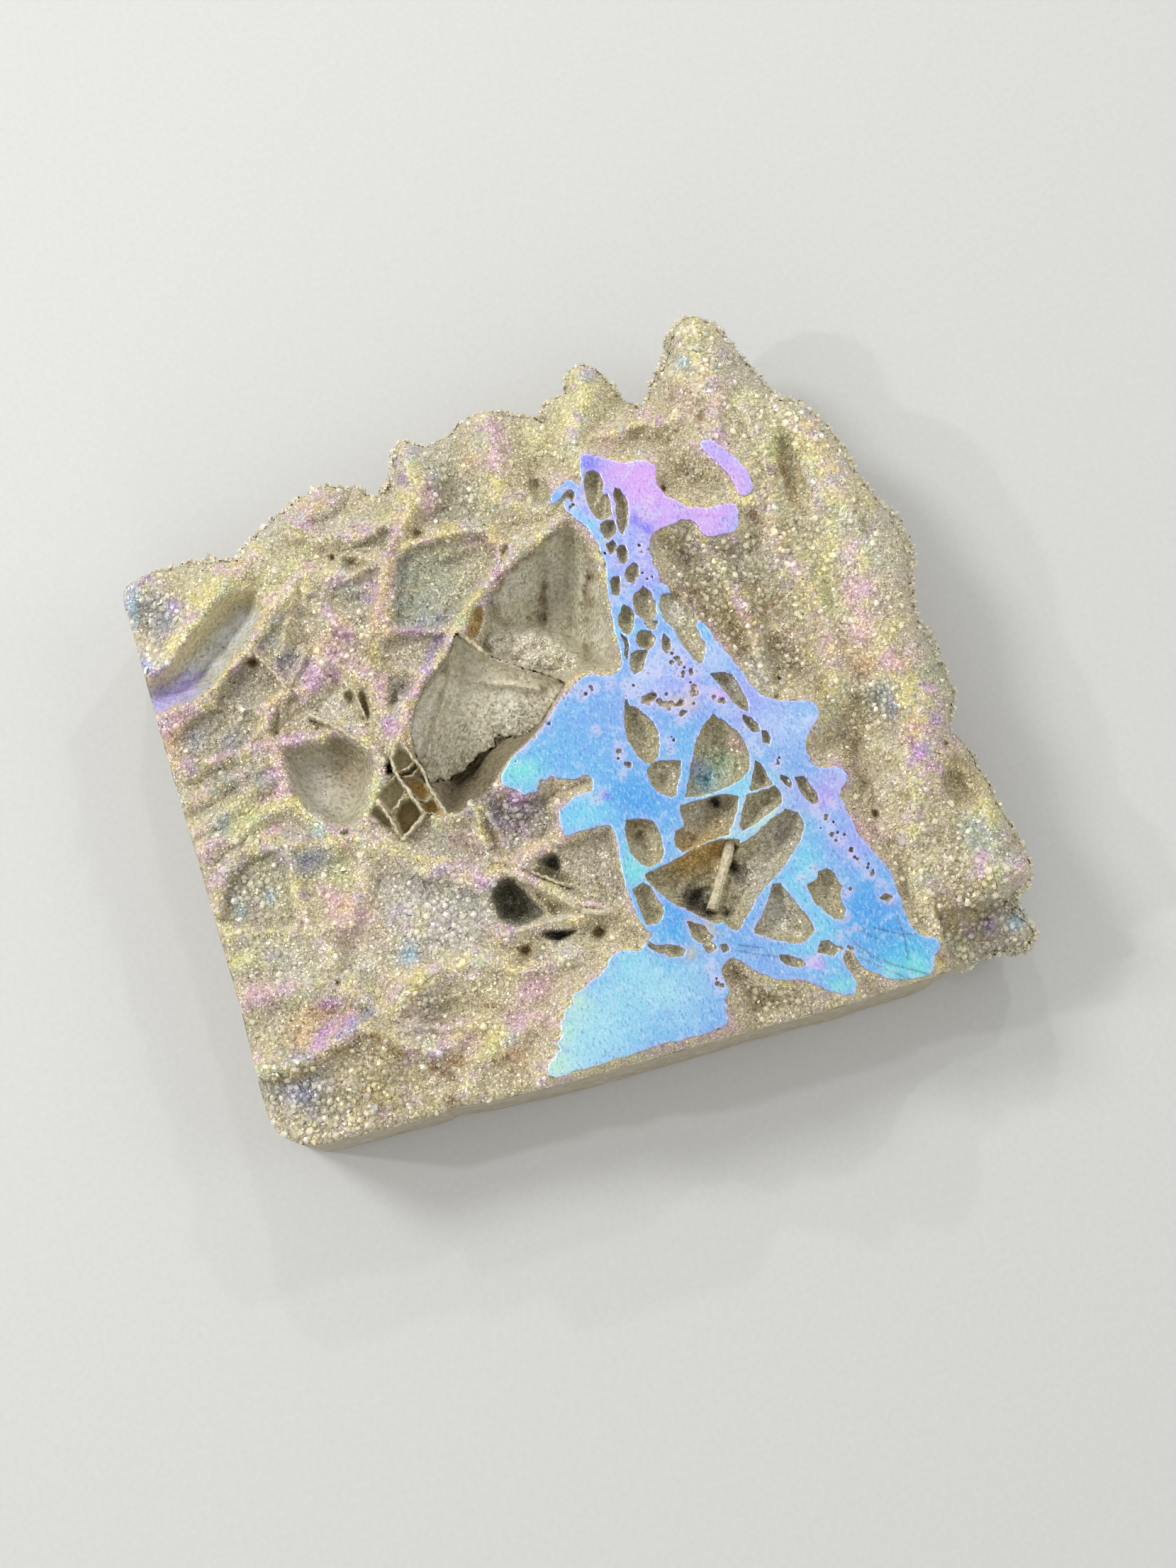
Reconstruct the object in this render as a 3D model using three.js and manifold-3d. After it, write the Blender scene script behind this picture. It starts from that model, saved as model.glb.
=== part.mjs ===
// A slab sawn from a piece of boxwork: thin quartz walls that once framed sphalerite, left standing as a
// honeycomb and grown over with a fine druse of quartz points. One piece of stone, so one solid.
// The front has a flat sawn web with open cells, a deep vug with thin blades, and rolling druse ridges.
// The left and bottom sides and the back are sawn flat; the top and the right side are the natural rough.
// Millimetres, +Z up. The slab lies on its sawn back, face up. Outlines are measured from the sawn corner
// at the bottom left, x along the bottom side and y along the left, and the finished piece is then centred.
import * as THREE from "three";
import { mergeVertices } from "three/addons/utils/BufferGeometryUtils.js";
import Module from "manifold-3d";

const wasm = await Module();
wasm.setup();

// Driving dimensions.
const THICKNESS = 24; // sawn face above the sawn back
const DRUSE_LEVEL = 18.2; // middle height of the rough druse
const DRUSE_TOP = 23; // the druse stays below this, under the sawn face
const HOLLOW_BRIM = 22.5; // height of a hollow's brim
const GROOVE_FLARE = 6; // how far a groove's sides rise over its half width
const GRID_STEP = 2.6; // facet size of the druse surface
const RIM_DROP = 8.5; // how far the natural rim rolls down from the face
const RIM_WIDTH = 4.5; // over this much of the face
const UNDERCUT = 3.2; // how far the natural sides draw in below their widest line
const SAW_BEVEL = 0.8; // ground edge along the sawn sides
const CELL_TAPER = 0.78; // floor of a cell against its mouth
const WEB_ROOT = 14; // the solid web reaches down to here
const WEB_FALL = 0.9; // how steeply the druse falls away from the web
const CRYSTAL_COUNT = 90; // the larger quartz points; the finer druse is a surface finish
const CRYSTAL_RADIUS = 0.9; // of the smallest of them; the largest are twice that
const CRYSTAL_HEIGHT = 2.2; // height of a point against its radius
const CRYSTAL_RISE = 0.55; // its middle above the druse, against its radius
const BLADE_CREST = 0.6; // a thin wall's crest against its foot's thickness

// Outlines are drawn where they are seen on the plane of the sawn face, from an eye above it. What lies
// deeper is further out along the same line of sight, and sunk() works out where.
const EYE = [35.9, -21.7]; // the point of the sawn face's plane that is straight below the eye
const EYE_HEIGHT = 286; // of the eye above that plane
const RIM_DEPTH = 5.5; // of the natural sides' widest line below the face, as for the depths that follow
const STEP_RIM_DEPTH = 8;
const LEFT_SIDE_DEPTH = 5;
const MOUTH_DEPTH = 4;
const UPPER_RIM_DEPTH = 1;
const LOWER_RIM_DEPTH = 2;
const PLATE_EDGE_DEPTH = 10;
const STEP_DEPTH = 6;

const sunk = (depth) => ([x, y]) => {
  return [x + (depth * (x - EYE[0])) / EYE_HEIGHT, y + (depth * (y - EYE[1])) / EYE_HEIGHT];
};
const isOnStep = ([x, y]) => x > 99 && y < 9;

// The slab's outline. Natural sides first, clockwise from the bottom right to the top left.
const NATURAL_SIDE = [
  [94, 1.4], [102.4, 1.8], [103.2, 2.8], [102.6, 4.6], [101.2, 5.8], [100.3, 7.8], [102.6, 8.7],
  [105.2, 10.3],
  [105.2, 12.6], [104.5, 16.5], [103.7, 22], [102.9, 27], [101.5, 30.4], [100.3, 31.8], [101.1, 35],
  [102.1, 37],
  [101.5, 40], [101.3, 43.5], [100.5, 47], [100.4, 50.5], [100.8, 54.5], [101.4, 57.3], [101.2, 61.5],
  [100.6, 63.8], [98, 69], [97.1, 73], [96.8, 77], [95, 80.4], [92.4, 83.2], [89.3, 84.9], [88.8, 87.4],
  [87.3, 90.4], [86.5, 93], [84.9, 95.8], [83.6, 97.7], [81.5, 98.5], [79.8, 97.9], [78.5, 96.4], [77, 93],
  [75, 90], [73, 88.2], [71, 87.2], [70.2, 88.3], [68.9, 88.7], [68.4, 91.3], [67, 94], [65.9, 95.1],
  [63.6, 94.8], [62.8, 92.3], [60.7, 91.4], [59, 90], [58.6, 88.3], [56, 89], [53, 90.4], [51.3, 92.2],
  [48, 91.6], [45.5, 90.2], [42, 89.5], [39, 90.3], [37.4, 90.3], [36.8, 88], [35.9, 85.6], [34.9, 84],
  [33.2, 84], [31.4, 84.9], [30.6, 86], [28, 86.7], [25, 86.7], [21.5, 85.7], [18, 83.7], [14.5, 81],
  [12.4, 79.4], [10.4, 80.2], [7, 79.9], [1.5, 80.7],
].map((point) => sunk(isOnStep(point) ? STEP_RIM_DEPTH : RIM_DEPTH)(point));
// Sawn sides, from the top left down to the corner and along the bottom.
const LEFT_SIDE = [
  [-1.2, 80.8], [-3, 79.8], [-3.7, 78], [-2.9, 62], [-2.1, 45], [-1.2, 27], [-0.4, 11], [-0.1, 5],
  [0.7, 2.4], [2.5, 0.6], [5, -0.5], [13, -0.7],
].map(sunk(LEFT_SIDE_DEPTH));
const BOTTOM_SIDE = [[29, -0.5], [40, -0.5], [50, -0.4], [62, 0], [75, 0], [85, 0.2], [91, 0.6]];
const SAWN_SIDE = [...LEFT_SIDE, ...BOTTOM_SIDE];

// The sawn web: the flat face left by the saw, apart from the cells that open in it.
const WEB = [
  [40.3, 41.7], [42, 43.3], [44.5, 44.8], [47, 46.4], [48.7, 48.3], [50.3, 49.9], [52, 50.9],
  [53.6, 52], [55.3, 52], [56.6, 51.3], [58, 51.1], [59.3, 51.8], [60.1, 52.4], [60, 54.5],
  [60.1, 57.5], [60.2, 60], [60.6, 62], [60.8, 64.5], [61.4, 67], [61.3, 68.3], [60.4, 70], [59.9, 72],
  [59.2, 73.8], [58.2, 74.8], [57.8, 76], [56.4, 77.2], [56.6, 78.2], [58.4, 78.2], [59.4, 79.6],
  [60.4, 81.4], [61.6, 83], [63, 82.2], [65, 81.2], [68.5, 80.8], [70.4, 79.7], [71.3, 78],
  [71.2, 75.3], [71.8, 73.9], [73.2, 72.2], [75, 71.2], [77, 70.5], [80.6, 70.5], [81, 68.6],
  [80.3, 67], [79.3, 66.2], [77, 66.7], [75, 67], [74.6, 68.4], [73.4, 69.7], [71.6, 70.1], [70, 69.4],
  [68.2, 68.6], [67.6, 66.5], [67.9, 64.2], [68.7, 61.5], [69.2, 60.2], [67.8, 60.2], [66.8, 59],
  [66.7, 57], [67.8, 55.6], [68.5, 54], [69.3, 51.5], [69.9, 50.2], [70.6, 50.6], [71.3, 52.2],
  [71.3, 54], [70.6, 55.4], [71.5, 55.3], [72.6, 53.8], [73.4, 52], [74, 50], [75, 47.8], [76, 45],
  [77.3, 43], [79, 41.8], [81.5, 41.2], [83.5, 40.8], [84, 39.6], [83.4, 38.2], [82, 37], [81, 36.2],
  [80.7, 34.6], [81, 32.8], [82.2, 31.4], [84.6, 31], [85.2, 29.6], [84, 28.3], [83.4, 26.8],
  [84, 24.8], [85, 22], [85.8, 19.5], [87, 16], [87.3, 12], [87.6, 9], [88.8, 6], [90.6, 5.2],
  [91, 4.2], [89.6, 3.3], [89.2, 1.5], [88.2, 0.9], [85.2, 1.2], [82.8, 1.9], [81, 3.3], [79.6, 4.5],
  [79.4, 6.8], [78.2, 6.6], [77.6, 4.8], [78.6, 2.6], [78.5, 1.1], [77, 1.1], [75.4, 2.3], [73.4, 3.4],
  [71.6, 4.6], [70, 5.2], [68.4, 6.2], [66.4, 8], [64.6, 9.4], [62.6, 9.8], [61.6, 8.4], [62, 6],
  [61.8, 3.8], [60.2, 2.5], [57, 1.7], [52, 1.3], [45, 0.7], [40, 0.5], [35, 0.8], [36, 2],
  [37.2, 3.3], [38.4, 5.4], [40.2, 6.8], [41.3, 9.3], [42.5, 10.8], [45, 11.5], [46.5, 12.2],
  [48.5, 13.7], [50, 14.4], [52, 13.7], [53.6, 14.6], [53.2, 16.4], [52.8, 19], [52.3, 22], [52.6, 26],
  [53, 29], [52.8, 30.8], [51, 31.3], [48.5, 31.2], [46.2, 30.9], [45.9, 32.4], [46.4, 34.6],
  [45.6, 37], [44.4, 38.3], [42.6, 39.2], [41, 39.5], [40.1, 40.4],
];
// A second flat patch, where the saw just touched a druse ridge.
const TOUCHED_CREST = [
  [78.4, 80.3], [79.6, 80.3], [80.8, 79.2], [82.3, 77], [83.4, 74.5], [83.7, 72.4], [83, 71],
  [82, 70.8], [81.4, 72.5], [80.5, 75], [79.2, 77.2], [78, 78.8],
];
// Cells that open in the web: the depth of each, then its mouth.
const WEB_CELLS = [
  [3, [54, 80.2], [55.4, 80.4], [56.5, 78.8], [55.4, 77.1], [54.2, 77.9]],
  [4, [61.8, 79.6], [62.8, 80], [63.6, 78.8], [63.4, 76.6], [61.4, 74.7], [61.1, 76.6]],
  [4, [61.6, 74.1], [63.7, 75.8], [63.9, 73.8], [62.7, 72.7], [61.7, 73]],
  [4, [65, 76.2], [65.7, 76.2], [66.3, 74.4], [65.6, 71.8], [64.5, 70.2], [64.6, 73]],
  [3.5, [62.1, 72.1], [63.6, 72], [63.7, 70.8], [62.8, 69.8], [61.9, 70.3]],
  [2.5, [63.6, 68.6], [64.4, 68.2], [64.5, 67], [63.8, 66.1], [63.1, 67]],
  [3, [64.2, 65.7], [65.2, 65.4], [65.2, 63.9], [64.2, 62.9], [63.4, 63.8]],
  [3, [64.2, 61.6], [65.6, 61.6], [66.4, 59.8], [65.9, 57.5], [64.8, 57.2], [63.5, 58.9], [63.4, 60.4]],
  [2.5, [61.7, 60.1], [62.8, 59.9], [63, 58], [62, 55.9], [61.1, 56.6], [60.9, 58.6]],
  [2.5, [63, 56.2], [64.3, 57.1], [65.2, 55.6], [64.7, 53.8], [63.2, 53.4], [62.4, 54.7]],
  [2.5, [61.8, 53.7], [63.1, 53.4], [63.5, 52.2], [62, 50.5], [61, 51.2], [61.1, 52.8]],
  [2, [66.4, 54.5], [67.3, 53.8], [67.5, 52.6], [66.3, 52.1], [65.8, 53.2]],
  [4.5, [71.6, 47.9], [73.2, 47.5], [74.3, 46], [74.7, 43], [74.5, 41.7], [73.2, 43.4], [72.2, 45.6]],
  [2.5, [73.7, 41], [74.5, 40.5], [75.4, 39], [74.8, 38.5], [73.9, 39.6]],
  [5, [58.9, 46.2], [60.1, 46.1], [61.5, 44.2], [62, 41.6], [61.5, 38.8], [59.9, 37.9], [58.6, 39.6],
    [58.1, 42.6]],
  [4, [60, 37.6], [61.8, 37.7], [63.8, 37.2], [63.1, 34.9], [61.6, 32.6], [60, 33.5], [59.2, 35.6]],
  [6.5, [69.7, 41.9], [70.7, 41.7], [72.6, 38.4], [73, 35.6], [72, 33], [69, 32.2], [63.4, 31.7],
    [65, 35.6], [67.6, 39.8]],
  [2, [56.4, 41.6], [57, 40.8], [56.8, 37.2], [56, 36.7], [55.7, 38.6]],
  [10, [62.4, 30.5], [66, 30.6], [69.8, 30.2], [69.3, 27.9], [67.9, 26.3], [65.5, 25.9], [61.3, 25.5],
    [60.5, 26.6], [61.6, 27.9]],
  [8, [71.5, 30], [75.3, 30.2], [75.6, 28.5], [73, 27.3], [69.7, 26], [70.5, 28.3]],
  [4, [72.1, 30.9], [74.8, 31.1], [73.9, 34.1], [73.1, 33.4]],
  [14, [55.9, 22.6], [60, 24.2], [64, 25], [66.8, 24.7], [65.9, 22.8], [64.4, 19.6], [62.2, 16.6],
    [60, 17.8], [57, 20.6]],
  [13, [68, 23.9], [72, 25.7], [75, 27], [76.6, 27], [77.6, 25.2], [76.5, 22.7], [71.6, 18.3],
    [67, 13.9], [65.5, 13], [63.3, 15.2], [65.2, 18.8]],
  [5.5, [71.4, 17.2], [73.4, 14], [74.8, 11.2], [74.6, 9.6], [72, 9.8], [69, 11.3], [66.4, 12.8],
    [69.8, 15.8]],
  [4.5, [76, 17], [78, 17.8], [79.6, 17.9], [80.2, 15.2], [79.9, 12], [79.1, 11], [76.9, 13.4]],
  [6, [54.6, 30.2], [55.5, 31], [57.6, 30.7], [58.5, 28.8], [58.2, 26], [56.2, 24.2], [54.3, 25.7],
    [53.9, 28]],
  [5, [53.8, 21.6], [55.1, 21.4], [56.4, 18.8], [55.9, 16.8], [54.5, 15.9], [53.5, 18.2]],
  [3, [53.9, 14], [55.6, 13.6], [58.1, 12.4], [56.8, 11.9], [54.8, 12.4]],
  [3.5, [59.8, 15.8], [61.1, 14.8], [61.9, 13.3], [61, 12.5], [59.6, 13.2]],
  [2, [70, 8.1], [71.6, 7.7], [72.5, 6.7], [71.4, 6.4], [70.4, 7]],
  [2.5, [78.4, 30.8], [79.3, 30.6], [80.3, 27.5], [79.6, 27.2], [78.3, 29.4]],
];
// Openings beside the web: floor height, then mouth. Thin walls stand between neighbours.
const SIDE_CELLS = [
  [4, [35.2, 26.6], [36.8, 27.6], [38.6, 26.8], [39.8, 23.9], [41, 22.2], [39.6, 21.4], [36.9, 21.3],
    [35.4, 23.2]],
  [9, [40.3, 26.4], [43, 24.6], [46.6, 21.4], [43.2, 21.2], [41.6, 22.8]],
  [8, [41.4, 28.5], [44.3, 29.5], [44.4, 26.6], [43.2, 27]],
  [12, [45.4, 30], [51.6, 30.6], [52, 28], [51.6, 22.6], [50.6, 20.2], [48, 22.4], [45.4, 25.6]],
  [-1, [39.9, 19.1], [42.4, 19.2], [45, 18.4], [43, 17.7], [41, 18]],
  [12, [22.3, 57.6], [23.8, 57.6], [23, 55.8]],
  [11, [24.5, 57.8], [25.6, 57], [25.2, 53.6], [24.2, 54.8]],
  [8, [24.4, 43.4], [25.9, 41.8], [25.2, 39.6], [23.2, 41.9]],
  [6, [25, 36.8], [28.3, 39], [27.4, 41.4], [26, 41.3], [24.9, 39.4]],
  [5, [29, 39.3], [31, 37.9], [30, 40.6], [29.5, 43.4], [28, 43.3], [28.7, 41]],
  [16, [11.6, 55], [13.4, 57.8], [14.4, 58.6], [12.6, 54.2]],
].map(([floor, ...mouth]) => [floor, ...mouth.map(sunk(MOUTH_DEPTH))]);
// The deep vug: a fluted upper chamber, and a lower one half roofed by a smooth plate.
const UPPER_CHAMBER = [
  [41.6, 60], [43, 64.4], [46.5, 67.9], [50.5, 70.6], [55, 72.4], [57.6, 73.2], [58.8, 70.4], [59.2, 66],
  [58.8, 60], [58.6, 53.2], [56, 52.2], [53.4, 52.8], [50.6, 52.4], [47.6, 54.4], [44.2, 56.6],
].map(sunk(UPPER_RIM_DEPTH));
// In the lower chamber a smooth plate slopes from the wall, PLATE_RIM, down to its scalloped free edge, and
// GAP_RIM closes the dark gap beyond the edge.
const PLATE_RIM = [
  [29.6, 50.2], [31.4, 53.2], [35, 56.4], [38.4, 60.2], [40.2, 59.8], [43.4, 56], [47.4, 53],
  [50.6, 51.4], [49.7, 49.9],
].map(sunk(LOWER_RIM_DEPTH));
const PLATE_EDGE = [
  [46, 45.8], [42.4, 46.3], [39.6, 45.3], [36.6, 43.6], [33.4, 42.6], [30.8, 44.2],
].map(sunk(PLATE_EDGE_DEPTH));
const GAP_RIM = [
  [31, 42], [31.6, 38.4], [33.4, 38], [36.4, 39.2], [39.2, 41.2], [41.4, 43.8], [44, 45.4],
].map(sunk(LOWER_RIM_DEPTH));
const CHAMBER_FLOOR = 5;
const PLATE_LOW = 11; // the plate's free edge
const PLATE_HIGH = 19; // where it meets the wall of the vug
const PLATE_THICKNESS = 1.5;
const PLATE_OVERHANG = 4; // how far the dark gap reaches in below the plate

// Crest lines of the druse: height of the crest, fall in mm per mm beside it, then its course.
const CRESTS = [
  [22.4, 0.9, [-2.8, 66.8], [4, 71.6], [9, 76], [13.5, 78.6]],
  [22.4, 0.8, [-2.6, 60.3], [2, 61.2], [6, 63.3], [11, 67.3], [14, 70], [17, 73.2], [20, 75.5]],
  [21.6, 1.1, [11, 67.3], [13.5, 64], [14.8, 60.5]],
  [21.2, 1.6, [17.4, 70.6], [16.3, 68], [15.3, 65.8]],
  [21.2, 1.6, [19, 65.5], [17, 63.2], [15.2, 61]],
  [22, 0.9, [20, 75.5], [21, 72], [22.5, 69], [24.3, 66.8], [26.3, 65.4], [27.8, 64.6]],
  [21.8, 0.8, [24.3, 66.8], [22, 63.5], [19.5, 61.5], [16.8, 59.6], [14.8, 60.5], [12.2, 57.6],
    [10.9, 54.4]],
  [21.8, 0.9, [22, 63.5], [24.5, 61], [26.3, 58.5], [27.2, 56], [27.6, 52.5], [28, 50.2]],
  [22.4, 0.9, [36, 80], [34.2, 78], [33, 76], [31.4, 73], [30.4, 70], [28.8, 67.5], [27.8, 64.6]],
  [21.8, 1, [27.8, 64.6], [31, 64], [34, 63.2], [37, 62.4], [38.8, 62.2]],
  [22, 0.9, [33, 75.4], [38, 75.8], [43, 76], [46.8, 75.2], [47.4, 73], [47, 70.4]],
  [22.4, 0.8, [28, 50.2], [30, 53.6], [34, 57.4], [37.4, 61.2], [40.4, 64.6], [44, 67.6], [47.4, 70.6],
    [51, 72.4], [55, 73.8], [58, 74.8]],
  [21.8, 0.9, [2, 53], [7.5, 53.5], [10.5, 52.9], [14, 52.9], [19.6, 52.9], [22.2, 51.3], [24.2, 48.7],
    [24.6, 46], [23.2, 43.2], [21, 40.2], [19.5, 38.2]],
  [21.5, 0.9, [10.7, 54.6], [12, 50.5], [11.3, 46.3], [13.2, 43], [16, 39.5], [18.5, 38.2]],
  [21.3, 1.1, [17, 56.2], [19.5, 53.9], [22, 51.6]],
  [20.8, 0.8, [-2, 42], [2, 42.6], [6, 44.2], [10.6, 46.6]],
  [21, 0.8, [-1.6, 40], [3, 41], [8, 42.6], [13.2, 43]],
  [20.6, 0.8, [-2, 47.5], [4, 48.5], [9, 49.6], [12, 50.5]],
  [20.8, 0.8, [-1, 33], [1, 36.5], [3.5, 38.4], [7, 39.4], [10, 39.8], [9.8, 35], [9.8, 30], [11, 26.5]],
  [20.4, 0.7, [-0.8, 29.4], [3, 29], [6.5, 27.8], [11, 26.5], [16, 27], [19, 31], [19.5, 38.2]],
  [21.4, 0.8, [19.5, 38.2], [24, 35.2], [28, 32.4], [31.5, 29.9], [34.6, 27.8]],
  [20.6, 0.7, [0, 21.4], [5, 21.2], [10, 20.4], [13, 19.4], [16, 16.8], [18, 14.4]],
  [21.2, 0.7, [18, 14.4], [22, 16.8], [27, 18], [32, 17], [36, 15.3], [42, 14.6], [47, 15.4], [52, 16]],
  [20.4, 0.7, [15, 12], [19, 12.5], [24, 12], [29, 11.5]],
  [20.6, 0.7, [25.6, 1], [27, 4.5], [30, 6.4], [35, 7.4], [39, 8.2]],
  [21.8, 0.9, [32, 37.4], [35.6, 37.6], [37, 33.4], [38.6, 30], [40.6, 29], [44.6, 30.6]],
  [21.4, 1.4, [38.6, 28.6], [42, 25.9], [46, 22.6], [49.6, 19.6]],
  [21, 1.2, [35.4, 20.4], [41, 20.2], [46, 19.9], [50.6, 19.2]],
  [23.2, 0.7, [81.5, 97], [81, 92], [80.6, 86], [79.2, 80.5], [81.5, 77], [83, 73.5], [82.5, 70.8]],
  [22.4, 0.55, [93, 83], [94.5, 76], [94.2, 70], [95.5, 63], [95, 56], [94, 50], [95.8, 43], [96.8, 36],
    [96, 30], [93.5, 25.5], [91.5, 22.5], [90.6, 18], [90.4, 12], [90, 7]],
  [21.6, 0.7, [85.5, 84], [87, 78], [86, 72], [84.5, 66], [85.8, 60], [87.5, 55], [88.5, 48], [86, 41]],
  [21, 0.7, [75.5, 66], [76, 60], [77.5, 55], [77.8, 48], [77.4, 44]],
  [21.8, 0.6, [103, 20], [101, 16], [99.5, 12.5], [104, 11.4]],
  [20.6, 0.8, [86, 26], [89.5, 27.5], [93, 29]],
  [22.4, 0.8, [51, 91], [51.3, 87], [50, 83], [49.5, 79.5], [52.5, 77.5], [57, 76.4]],
  [21.4, 0.8, [37.5, 89], [39, 85], [38, 81], [36, 80]],
  [21.8, 0.8, [64.5, 94], [64, 90], [62.5, 86], [61.6, 83]],
  [21.8, 0.8, [25, 86], [22, 82.5], [24, 79.6], [30, 79], [33.8, 78]],
  [21.4, 0.8, [64, 84], [70, 84.6], [76, 85], [80.6, 86]],
].map(([height, fall, ...course]) => [height, fall, ...course.map(sunk(THICKNESS - height))]);
// Hollows between the crests: centre, radii, turn in degrees, floor height.
const HOLLOWS = [
  [18.2, 46, 6, 7.2, 0, 14.8], [4.5, 34, 5.6, 4.4, 0, 16.8], [27.5, 25, 8, 5, -10, 17],
  [4.5, 57.4, 8, 3.8, 12, 16.6],
  [39.4, 69.6, 8.4, 5.8, 25, 16.6], [32.6, 60.4, 5, 3, 25, 16.6], [15.6, 68.2, 3.4, 4.6, -20, 17.6],
  [76, 75.4, 4.6, 4.4, 0, 18.6], [71.6, 63.6, 3.4, 5.4, 0, 16.6], [81.8, 47.6, 3.6, 6.6, 8, 15.6],
  [90.4, 36.6, 4, 6, 0, 16.4], [82.8, 34, 2.6, 3.2, 0, 19.6], [45.2, 81.4, 5.4, 4.6, 0, 17.4],
  [87.4, 23.6, 1.6, 1.6, 0, 14], [41, 34.6, 4.6, 4.8, 0, 16.6], [25.6, 74, 3, 2.4, 20, 17],
  [28.6, 70.6, 2.2, 3.4, -30, 17], [65.2, 4.6, 3.4, 4.4, 0, 18.4], [10.6, 5, 11, 4.4, -8, 17.4],
  [33, 10.4, 3, 1.8, 0, 16.6], [89, 74, 1.8, 10, 0, 17.2], [70.4, 84, 2.6, 2.6, 0, 17.6],
  [29.5, 82.6, 5, 2, -8, 18.4],
  [22, 36, 2.6, 2.6, 0, 18.6],
].map(([x, y, rx, ry, turn, floor]) => [...sunk(DRUSE_TOP - floor)([x, y]), rx, ry, turn, floor]);
// Long grooves: depth line, half width, floor height.
const GROOVES = [
  [2.6, 16, [-3.4, 64], [1, 65.6], [5, 68], [9, 71.6], [12.6, 75.6]],
  [1.2, 16, [3.6, 8.9], [8, 9.6], [12, 10.6], [14.8, 12]],
  [1.6, 16, [24, -0.6], [24.2, 4], [22, 7], [17, 9]],
  [1.4, 15, [81, 53], [80.2, 48], [79.8, 44], [78.8, 42.6]],
  [1.5, 17, [88.6, 84], [88.9, 78], [88.6, 70], [87, 65]],
  [1.6, 16, [93, 12.6], [92.8, 8], [93.6, 3]],
].map(([halfWidth, floor, ...course]) => {
  return [halfWidth, floor, ...course.map(sunk(THICKNESS - floor))];
});
// Everything below this line at the lower right is a lower step of the rough.
const STEP_EDGE = [[91, 9], [96, 8.6], [101, 8.8], [106, 9.6]].map(sunk(STEP_DEPTH));
const STEP_HEIGHT = 13;
const STEP_FOOT = 5; // how far its inner edge rises in a fillet

// Cells that open in the sawn back.
const BACK_CELLS = [
  [3, [12, 58], [15, 63], [21, 64], [24.5, 60], [22, 54], [15.5, 53]],
  [4, [64, 21], [67, 25.6], [72, 26], [75, 22], [70.5, 17], [66, 16.6]],
  [2.5, [28, 70], [31, 74], [36, 72.4], [35, 67]],
  [3.5, [72, 31], [75, 37], [80, 38.4], [83, 33], [79, 28.4]],
  [3, [64, 46], [67, 51.4], [71, 50], [72.6, 44], [67.6, 41]],
  [4, [78, 59], [80.4, 64], [86, 63.6], [88.8, 57], [83, 53]],
  [2.5, [13, 26], [16, 32.6], [20.4, 30], [19, 24.6]],
  [2.5, [34, 12], [37, 16.6], [43, 15], [41, 10.4]],
];

// Geometry helpers, all in the plane of the face.
function distanceToSegment(x, y, [ax, ay], [bx, by]) {
  const dx = bx - ax;
  const dy = by - ay;
  const along = THREE.MathUtils.clamp(((x - ax) * dx + (y - ay) * dy) / (dx * dx + dy * dy), 0, 1);
  return Math.hypot(x - ax - along * dx, y - ay - along * dy);
}

function distanceToLine(x, y, line) {
  const distances = line.slice(1).map((end, i) => distanceToSegment(x, y, line[i], end));
  return Math.min(...distances);
}

// Distance to a closed outline, positive inside.
function depthInside(x, y, outline) {
  let inside = false;
  let nearest = Infinity;
  outline.forEach((a, i) => {
    const b = outline[(i + 1) % outline.length];
    nearest = Math.min(nearest, distanceToSegment(x, y, a, b));
    if (a[1] > y !== b[1] > y && x < ((b[0] - a[0]) * (y - a[1])) / (b[1] - a[1]) + a[0]) inside = !inside;
  });
  return inside ? nearest : -nearest;
}

// Gentle lumps of the rough, the same each time.
function lumps(x, y) {
  const broad = Math.sin(0.31 * x + 0.17 * y + 0.4) * Math.sin(0.23 * y - 0.19 * x + 1.1);
  const middle = Math.sin(0.83 * x - 0.52 * y) * Math.sin(0.71 * y + 0.44 * x + 2.3);
  const small = Math.sin(1.9 * x + 0.7 * y + 1.7) * Math.sin(1.7 * y - 0.9 * x);
  return 0.9 * broad + 0.45 * middle + 0.28 * small;
}

// Height of the rough druse surface above the back, before the web and its cells.
function druseHeight(x, y) {
  let z = DRUSE_LEVEL + lumps(x, y);
  for (const [height, fall, ...course] of CRESTS) {
    z = Math.max(z, height + 0.3 * lumps(2 * x, 2 * y) - fall * distanceToLine(x, y, course));
  }
  z = Math.max(z, DRUSE_TOP + WEB_FALL * Math.min(0, depthInside(x, y, WEB)));
  for (const [cx, cy, rx, ry, turn, floor] of HOLLOWS) {
    const a = THREE.MathUtils.degToRad(turn);
    const u = ((x - cx) * Math.cos(a) + (y - cy) * Math.sin(a)) / rx;
    const v = ((y - cy) * Math.cos(a) - (x - cx) * Math.sin(a)) / ry;
    z = Math.min(z, floor + 0.3 * lumps(x, y) + (HOLLOW_BRIM - floor) * (u * u + v * v));
  }
  for (const [halfWidth, floor, ...course] of GROOVES) {
    z = Math.min(z, floor + GROOVE_FLARE * (distanceToLine(x, y, course) / halfWidth) ** 2);
  }
  const onStep = x > STEP_EDGE[0][0] && y < STEP_EDGE[0][1];
  const stepFoot = STEP_FOOT * Math.exp(-distanceToLine(x, y, STEP_EDGE));
  if (onStep) z = Math.min(z, STEP_HEIGHT + 0.9 * lumps(x, y) + stepFoot);
  z = Math.min(z, DRUSE_TOP);
  const toRim = distanceToLine(x, y, NATURAL_SIDE);
  if (toRim < RIM_WIDTH) z -= RIM_DROP * (1 - Math.sqrt(1 - (1 - toRim / RIM_WIDTH) ** 2));
  return z;
}

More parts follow.
